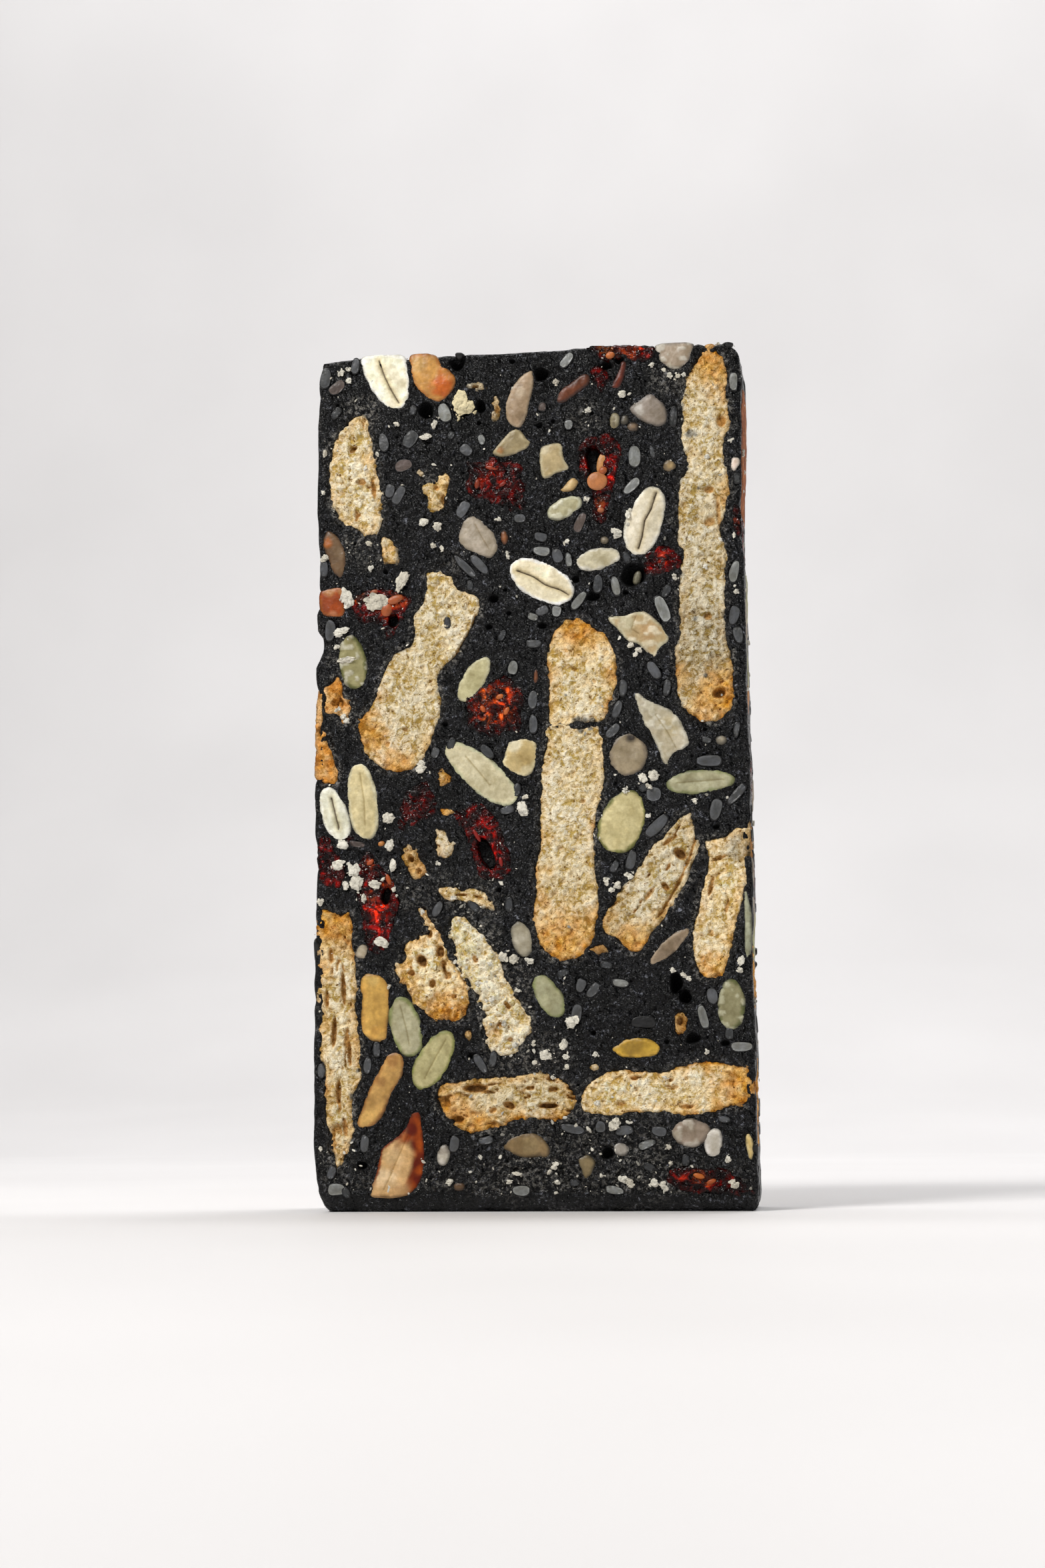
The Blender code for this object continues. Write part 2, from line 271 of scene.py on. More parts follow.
def bridge(a, b):
    """Triangles between two rings of as many points, the first one further out along w."""
    a2, b2 = np.roll(a, -1), np.roll(b, -1)
    return np.vstack([np.stack([a, b, a2], 1), np.stack([a2, b, b2], 1)])


def body(loop, h, height, rows, seed=0, extra=None, back=None):
    """A closed body: a cut face inside loop with height(p, inside) as its w, side walls through rows, each of
    (w, scale about the middle), and a plain or a second cut face at the far end.
    Gives the points (u, v, w), the triangles, how far inside each is, and the number of face points."""
    n = len(loop)
    p, tris = fill(loop, h, seed, extra)
    depth_in = np.concatenate([np.zeros(n), inside_by(p[n:], loop)])
    w = height(p, depth_in)
    points = [np.column_stack([p, w])]
    faces = [tris]
    insides = [depth_in]
    count = len(p)
    ring = np.arange(n)
    middle = loop.mean(0)
    for row_w, scale in rows:
        q = middle + (loop - middle) * scale
        points.append(np.column_stack([q, np.full(n, row_w)]))
        insides.append(np.full(n, -1.0))
        new = count + np.arange(n)
        faces.append(bridge(ring, new))
        ring, count = new, count + n
    if back is None:
        last = points[-1][:, :2]
        _, tris = triangulate(last, np.zeros((0, 2)))
        faces.append(ring[tris][:, ::-1])
        on_back = 0
    else:
        back_h, back_height = back
        last = points[-1][:, :2]
        p, tris = fill(last, back_h, seed + 50)
        depth_in = inside_by(p[n:], last)
        points[-1][:, 2] = back_height(last, np.zeros(n))
        points.append(np.column_stack([p[n:], back_height(p[n:], depth_in)]))
        insides[-1] = np.full(n, 0.0)
        insides.append(depth_in)
        index = np.concatenate([ring, count + np.arange(len(p) - n)])
        faces.append(index[tris][:, ::-1])
        on_back = len(p)
    return np.vstack(points), np.vstack(faces), np.concatenate(insides), on_back


# ---------------------------------------------------------------- the bar's own shape

LEFT_EDGE = [
    (0, -32.2), (2.5, -32.4), (5, -33.0), (10, -33.4), (15, -33.4), (20, -33.3), (25, -33.4), (30, -33.45),
    (35, -33.4), (40, -33.4), (45, -33.2), (50, -33.1), (55, -33.2), (60, -33.4), (65, -33.4), (70, -33.4),
    (75, -33.3), (82, -33.2), (83.2, -32.6), (84, -32.2), (86.6, -32.25), (87.4, -33.0), (90, -33.2),
    (95, -32.8), (100, -32.8), (110, -33.1), (120, -33.0), (125, -32.8), (130, -32.4), (131, -32.3),
]
RIGHT_EDGE = [
    (0, 32.3), (5, 32.4), (10, 32.45), (20, 32.45), (30, 32.3), (35, 32.2), (40, 32.0), (45, 32.4),
    (50, 32.45), (57, 32.3), (60, 32.2), (66, 32.3), (70, 32.2), (75, 32.0), (80, 32.0), (90, 32.0),
    (95, 32.0), (100, 31.7), (105, 31.8), (110, 32.0), (120, 32.2), (125, 32.3), (128, 32.1), (131, 31.4),
]
TOP_EDGE = [
    (-33, 129.7), (-28, 130.0), (-20, 130.1), (-10, 130.1), (0, 130.1), (5, 130.2), (7, 130.5), (9, 130.55),
    (11, 130.4), (20, 130.2), (28, 130.3), (33, 130.0),
]


def profile(table, at, shift=(0.0, 0.0)):
    t = np.array(table)
    return np.interp(at, t[:, 0] + shift[0], t[:, 1] + shift[1])


def left_at(z, y=0.0):
    p = np.column_stack([np.broadcast_to(y, np.shape(z)).ravel(), np.ravel(z), np.full(np.size(z), 3.3)])
    return np.maximum(profile(LEFT_EDGE, z, (0, SHIFT)) + 0.22 * fbm(p, 7.0, 2, 71).reshape(np.shape(z)), -32.85)


def right_at(z, y=0.0):
    p = np.column_stack([np.broadcast_to(y, np.shape(z)).ravel(), np.ravel(z), np.full(np.size(z), 9.3)])
    return np.minimum(profile(RIGHT_EDGE, z, (0, SHIFT)) + 0.22 * fbm(p, 7.0, 2, 81).reshape(np.shape(z)), 32.85)


def top_at(x, y=0.0):
    p = np.column_stack([np.broadcast_to(y, np.shape(x)).ravel(), np.ravel(x), np.full(np.size(x), 5.3)])
    return np.minimum(profile(TOP_EDGE, x, (SHIFT, 0)) + 0.18 * fbm(p, 6.0, 2, 91).reshape(np.shape(x)), 130.5)


def front_wave(x, z):
    p = np.column_stack([np.ravel(x), np.ravel(z), np.full(np.size(x), 1.7)])
    return (0.10 * fbm(p, 9.0, 2, 11)).reshape(np.shape(x))


def back_wave(x, z):
    p = np.column_stack([np.ravel(x), np.ravel(z), np.full(np.size(x), 7.7)])
    return (0.12 * fbm(p, 9.0, 2, 13)).reshape(np.shape(x))


def to_world(face, u, v, w):
    """(u, v, w) of a face as x, y, z in millimetres, w being the height over the nougat there."""
    if face == "front":
        return np.stack([u, -(FRONT + front_wave(u, v) + w), v], 1)
    if face == "back":
        return np.stack([-u, BACK + back_wave(-u, v) + w, v], 1)
    if face == "right":
        return np.stack([right_at(v, u) + w, u, v], 1)
    if face == "left":
        return np.stack([left_at(v, -u) - w, -u, v], 1)
    if face == "top":
        return np.stack([u, v, top_at(u, v) + w], 1)
    return np.stack([u, -v, 0.02 - w], 1)


# ---------------------------------------------------------------- meshes into Blender


def make_object(name, points, faces, material, tint=None, values=None, replaces=(), flat=False):
    points = np.array(points, float)
    points[:, 0] = np.clip(points[:, 0], -HALF_X + 0.02, HALF_X - 0.02)
    points[:, 1] = np.clip(points[:, 1], -HALF_Y + 0.02, HALF_Y - 0.02)
    points[:, 2] = np.clip(points[:, 2], 0.0, TOP_Z - 0.02)
    faces = np.array(faces, np.int32)
    mesh = bpy.data.meshes.new(name)
    mesh.vertices.add(len(points))
    mesh.vertices.foreach_set("co", (points * 0.001).astype(np.float32).ravel())
    mesh.loops.add(faces.size)
    mesh.loops.foreach_set("vertex_index", faces.ravel())
    mesh.polygons.add(len(faces))
    mesh.polygons.foreach_set("loop_start", np.arange(0, faces.size, 3, dtype=np.int32))
    mesh.polygons.foreach_set("use_smooth", np.full(len(faces), not flat))
    mesh.update(calc_edges=True)
    if tint is not None:
        layer = mesh.attributes.new("tint", "FLOAT_COLOR", "POINT")
        rgba = np.ones((len(points), 4), np.float32)
        rgba[:, :3] = np.clip(tint, 0, 1)
        layer.data.foreach_set("color", rgba.ravel())
    for key, array in (values or {}).items():
        layer = mesh.attributes.new(key, "FLOAT", "POINT")
        layer.data.foreach_set("value", np.asarray(array, np.float32))
    mesh.materials.append(material)
    obj = bpy.data.objects.new(name, mesh)
    bpy.context.scene.collection.objects.link(obj)
    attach(obj, "root")
    for node in replaces:
        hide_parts(node)
    return obj


class Joined:
    """Many small closed bodies that become one piece."""

    def __init__(self):
        self.points, self.faces, self.tints, self.count = [], [], [], 0

    def add(self, points, faces, tint):
        self.points.append(points)
        self.faces.append(np.asarray(faces) + self.count)
        tint = np.asarray(tint, float)
        self.tints.append(np.broadcast_to(tint, (len(points), 3)) if tint.ndim == 1 else tint)
        self.count += len(points)

    def make(self, name, material, slot, flat=False):
        if self.count:
            return make_object(
                name, np.vstack(self.points), np.vstack(self.faces), material,
                tint=np.vstack(self.tints), flat=flat,
            )


def icosphere(level):
    bm = bmesh.new()
    bmesh.ops.create_icosphere(bm, subdivisions=level, radius=1.0)
    v = np.array([p.co[:] for p in bm.verts])
    f = np.array([[p.index for p in face.verts] for face in bm.faces])
    bm.free()
    return v, f


BALLS = {k: icosphere(k) for k in (1, 2, 3)}


# ---------------------------------------------------------------- materials


class Nodes:
    def __init__(self, name):
        self.material = bpy.data.materials.new(name)
        self.material.use_nodes = True
        self.tree = self.material.node_tree
        self.tree.nodes.clear()
        self.out = self.tree.nodes.new("ShaderNodeOutputMaterial")
        self.shader = self.tree.nodes.new("ShaderNodeBsdfPrincipled")
        self.link(self.shader.outputs[0], self.out.inputs[0])
        self.place = self.tree.nodes.new("ShaderNodeTexCoord").outputs["Object"]

    def link(self, a, b):
        self.tree.links.new(a, b)

    def attribute(self, name, output="Color"):
        node = self.tree.nodes.new("ShaderNodeAttribute")
        node.attribute_type = "GEOMETRY"
        node.attribute_name = name
        return node.outputs[output]

    def noise(self, size, detail=2.0, rough=0.5, distortion=0.0):
        """Noise whose lumps are about that many millimetres wide."""
        node = self.tree.nodes.new("ShaderNodeTexNoise")
        node.inputs["Scale"].default_value = 1000.0 / size * 0.5
        node.inputs["Detail"].default_value = detail
        node.inputs["Roughness"].default_value = rough
        node.inputs["Distortion"].default_value = distortion
        self.link(self.place, node.inputs["Vector"])
        return node.outputs[0]

    def warped(self, size, millimetres):
        """The place, shifted about by noise, for shapes that shouldn't look regular."""
        node = self.tree.nodes.new("ShaderNodeTexNoise")
        node.inputs["Scale"].default_value = 1000.0 / size * 0.5
        node.inputs["Detail"].default_value = 2.0
        self.link(self.place, node.inputs["Vector"])
        centred = self.tree.nodes.new("ShaderNodeVectorMath")
        centred.operation = "SUBTRACT"
        centred.inputs[1].default_value = (0.5, 0.5, 0.5)
        self.link(node.outputs[1], centred.inputs[0])
        scaled = self.tree.nodes.new("ShaderNodeVectorMath")
        scaled.operation = "SCALE"
        scaled.inputs["Scale"].default_value = millimetres * 0.001
        self.link(centred.outputs[0], scaled.inputs[0])
        total = self.tree.nodes.new("ShaderNodeVectorMath")
        total.operation = "ADD"
        self.link(self.place, total.inputs[0])
        self.link(scaled.outputs[0], total.inputs[1])
        return total.outputs[0]

    def voronoi(self, size, outputs=("Distance",), place=None, feature="F1"):
        node = self.tree.nodes.new("ShaderNodeTexVoronoi")
        node.feature = feature
        node.inputs["Scale"].default_value = 1000.0 / size
        self.link(place or self.place, node.inputs["Vector"])
        found = [node.outputs[name] for name in outputs]
        return found[0] if len(found) == 1 else found

    def ramp(self, fac, stops):
        node = self.tree.nodes.new("ShaderNodeValToRGB")
        elements = node.color_ramp.elements
        while len(elements) < len(stops):
            elements.new(0.5)
        for e, (at, colour) in zip(elements, stops):
            e.position = at
            c = [colour] * 3 if np.isscalar(colour) else list(colour)
            e.color = (*c, 1.0)
        self.link(fac, node.inputs[0])
        return node.outputs[0]

    def math(self, op, a, b=None, clamp=False):
        node = self.tree.nodes.new("ShaderNodeMath")
        node.operation = op
        node.use_clamp = clamp
        for k, value in enumerate((a, b)):
            if value is None:
                continue
            if isinstance(value, (int, float)):
                node.inputs[k].default_value = value
            else:
                self.link(value, node.inputs[k])
        return node.outputs[0]

    def mix(self, fac, a, b, blend="MIX"):
        node = self.tree.nodes.new("ShaderNodeMix")
        node.data_type = "RGBA"
        node.blend_type = blend
        for socket, value in ((node.inputs[0], fac), (node.inputs[6], a), (node.inputs[7], b)):
            if isinstance(value, (int, float)):
                socket.default_value = value
            elif isinstance(value, (tuple, list, np.ndarray)):
                socket.default_value = (*[float(v) for v in value], 1.0)
            else:
                self.link(value, socket)
        return node.outputs[2]

    def bump(self, height, strength, millimetres, normal=None):
        node = self.tree.nodes.new("ShaderNodeBump")
        node.inputs["Strength"].default_value = strength
        node.inputs["Distance"].default_value = millimetres * 0.001
        self.link(height, node.inputs["Height"])
        if normal is not None:
            self.link(normal, node.inputs["Normal"])
        return node.outputs[0]

    def set(self, **values):
        for key, value in values.items():
            socket = self.shader.inputs[key.replace("_", " ")]
            if isinstance(value, (int, float)):
                socket.default_value = value
            elif isinstance(value, (tuple, list, np.ndarray)):
                value = [float(v) for v in value]
                socket.default_value = value if len(value) == len(socket.default_value) else (*value, 1.0)
            else:
                self.link(value, socket)


def nougat_material():
    n = Nodes("nougat_paste")
    fine = n.noise(0.30, 2.0, 0.7, 0.6)
    grain = n.ramp(fine, [(0.36, srgb(2, 2, 3)), (0.53, srgb(8, 8, 10)), (0.62, srgb(27, 28, 32)), (0.70, srgb(92, 94, 101))])
    cloud = n.ramp(n.noise(1.5, 3.0, 0.7), [(0.36, 0.10), (0.50, 0.48), (0.64, 2.0)])
    colour = n.mix(1.0, grain, cloud, "MULTIPLY")
    # pale grey flecks: partly grain, partly painted glints that stand in for sparkle on the grain
    fleck_and_painted_glint = n.math("MULTIPLY", n.ramp(n.noise(0.42, 2.0, 0.8, 1.2), [(0.63, 0.0), (0.70, 1.0)]), n.ramp(n.noise(3.0, 1.0, 0.6), [(0.48, 0.0), (0.62, 0.42)]))
    colour = n.mix(fleck_and_painted_glint, colour, srgb(108, 110, 116))
    # low: painted shade, near black down in the holes and pits and in the dips round and under the pieces; it also
    # raises the roughness
    low = n.attribute("low", "Fac")
    colour = n.mix(low, colour, srgb(3, 3, 4))
    dust = n.math("MULTIPLY", n.attribute("dust", "Fac"), n.ramp(n.noise(0.30, 2.0, 0.8), [(0.50, 0.0), (0.62, 1.0)]))
    colour = n.mix(dust, colour, srgb(140, 136, 128))
    n.set(Base_Color=colour, Roughness=n.math("ADD", 0.32, n.math("MULTIPLY", low, 0.5)), Specular_IOR_Level=0.27)
    lumps = n.bump(n.noise(1.0, 2.0, 0.6), 1.0, 1.9)
    first = n.bump(n.noise(0.36, 2.0, 0.7), 1.0, 0.75, lumps)
    n.set(Normal=n.bump(n.noise(0.15, 0.0, 0.7), 1.0, 0.16, first))
    return n.material


def biscuit_material():
    n = Nodes("biscuit_crumb")
    tint = n.attribute("tint")
    place = n.warped(0.5, 0.9)
    far, cell = n.voronoi(0.62, ("Distance", "Color"), place)
    open_crumb = n.noise(0.46, 3.0, 0.75, 0.5)
    wide = n.noise(2.2, 1.0, 0.6)
    q = n.math("ADD", n.math("MULTIPLY", cell, 0.30), n.math("MULTIPLY", n.math("SUBTRACT", 1.0, far), 0.22))
    q = n.math("ADD", q, n.math("MULTIPLY", n.math("SUBTRACT", open_crumb, 0.36), 2.3))
    q = n.math("ADD", q, n.math("MULTIPLY", n.math("SUBTRACT", wide, 0.5), 0.8))
    # light follows the crumb height q that also drives the bump: painted light and shade, whiter granule tops and
    # darker ochre gaps
    light = n.ramp(q, [(0.26, 0.0), (0.52, 0.56), (0.80, 1.0)])
    lower = n.mix(1.0, tint, (0.64, 0.50, 0.19), "MULTIPLY")
    parts = n.tree.nodes.new("ShaderNodeSeparateColor")
    n.link(tint, parts.inputs[0])
    blue = n.math("DIVIDE", parts.outputs[2], n.math("ADD", parts.outputs[0], 0.01))
    white = n.ramp(blue, [(0.32, 0.0), (0.60, 0.62)])
    upper = n.mix(white, n.mix(1.0, tint, (1.34, 1.29, 1.22), "MULTIPLY"), srgb(246, 240, 220))
    colour = n.mix(light, lower, upper)
    # pits darkened to deep brown: painted shade in the pits that the bump sinks
    pits_painted_shade = n.ramp(n.noise(0.34, 2.0, 0.75), [(0.62, 0.0), (0.70, 1.0)])
    colour = n.mix(pits_painted_shade, colour, n.mix(1.0, colour, (0.42, 0.28, 0.13), "MULTIPLY"))
    n.set(Base_Color=colour, Roughness=0.75, Specular_IOR_Level=0.22)
    first = n.bump(q, 1.0, 0.34)
    second = n.bump(n.math("SUBTRACT", 1.0, pits_painted_shade), 0.7, 0.18, first)
    n.set(Normal=n.bump(n.noise(0.14, 0.0, 0.7), 0.8, 0.06, second))
    return n.material


def seed_material(name, rough, shine, light=0.0, bump=0.4):
    n = Nodes(name)
    tint = n.attribute("tint")
    cloud = n.ramp(n.noise(1.6, 2.0, 0.6, 0.4), [(0.34, (0.83, 0.81, 0.74)), (0.62, (1.06, 1.06, 1.06))])
    colour = n.mix(1.0, tint, cloud, "MULTIPLY")
    fine = n.ramp(n.noise(0.42, 2.0, 0.75), [(0.36, (0.86, 0.84, 0.78)), (0.50, (0.98, 0.98, 0.97)), (0.66, (1.12, 1.12, 1.12))])
    colour = n.mix(1.0, colour, fine, "MULTIPLY")
    n.set(Base_Color=colour, Roughness=rough, Specular_IOR_Level=shine)
    if light:
        n.set(Subsurface_Weight=light, Subsurface_Radius=(1.0, 0.7, 0.4), Subsurface_Scale=0.0008)
    first = n.bump(n.noise(0.9, 2.0, 0.7), min(2 * bump, 1.0), 0.16)
    n.set(Normal=n.bump(n.noise(0.22, 1.0, 0.7), bump, 0.06, first))
    return n.material


def berry_material():
    n = Nodes("dried_berry")
    tint = n.attribute("tint")
    cloud = n.ramp(n.noise(0.75, 2.0, 0.7, 0.8), [(0.42, (0.06, 0.03, 0.03)), (0.53, (0.42, 0.30, 0.28)), (0.66, (1.8, 1.5, 1.1))])
    colour = n.mix(1.0, tint, cloud, "MULTIPLY")
    n.set(Base_Color=colour, Roughness=0.13, Specular_IOR_Level=0.22)
    first = n.bump(n.noise(0.50, 2.0, 0.7, 0.8), 1.0, 0.60)
    n.set(Normal=n.bump(n.noise(0.16, 0.0, 0.6), 0.7, 0.06, first))
    return n.material


def crumb_material():
    n = Nodes("loose_crumb")
    tint = n.attribute("tint")
    speck = n.ramp(n.noise(0.34, 2.0, 0.75), [(0.34, 0.66), (0.48, 0.98), (0.60, 1.1)])
    n.set(Base_Color=n.mix(1.0, tint, speck, "MULTIPLY"), Roughness=0.6, Specular_IOR_Level=0.4)
    n.set(Normal=n.bump(n.noise(0.34, 2.0, 0.75), 1.0, 0.16))
    return n.material


NOUGAT = nougat_material()
BISCUIT = biscuit_material()
PUMPKIN = seed_material("pumpkin_kernel", 0.5, 0.4)
NUT = seed_material("nut_kernel", 0.45, 0.45, 0.0, 0.5)
SESAME = seed_material("sesame_cut", 0.42, 0.5, 0.0, 0.5)
ALMOND = seed_material("almond_kernel", 0.55, 0.2, 0.0, 0.5)
BERRY = berry_material()
CRUMB = crumb_material()


# ---------------------------------------------------------------- biscuits

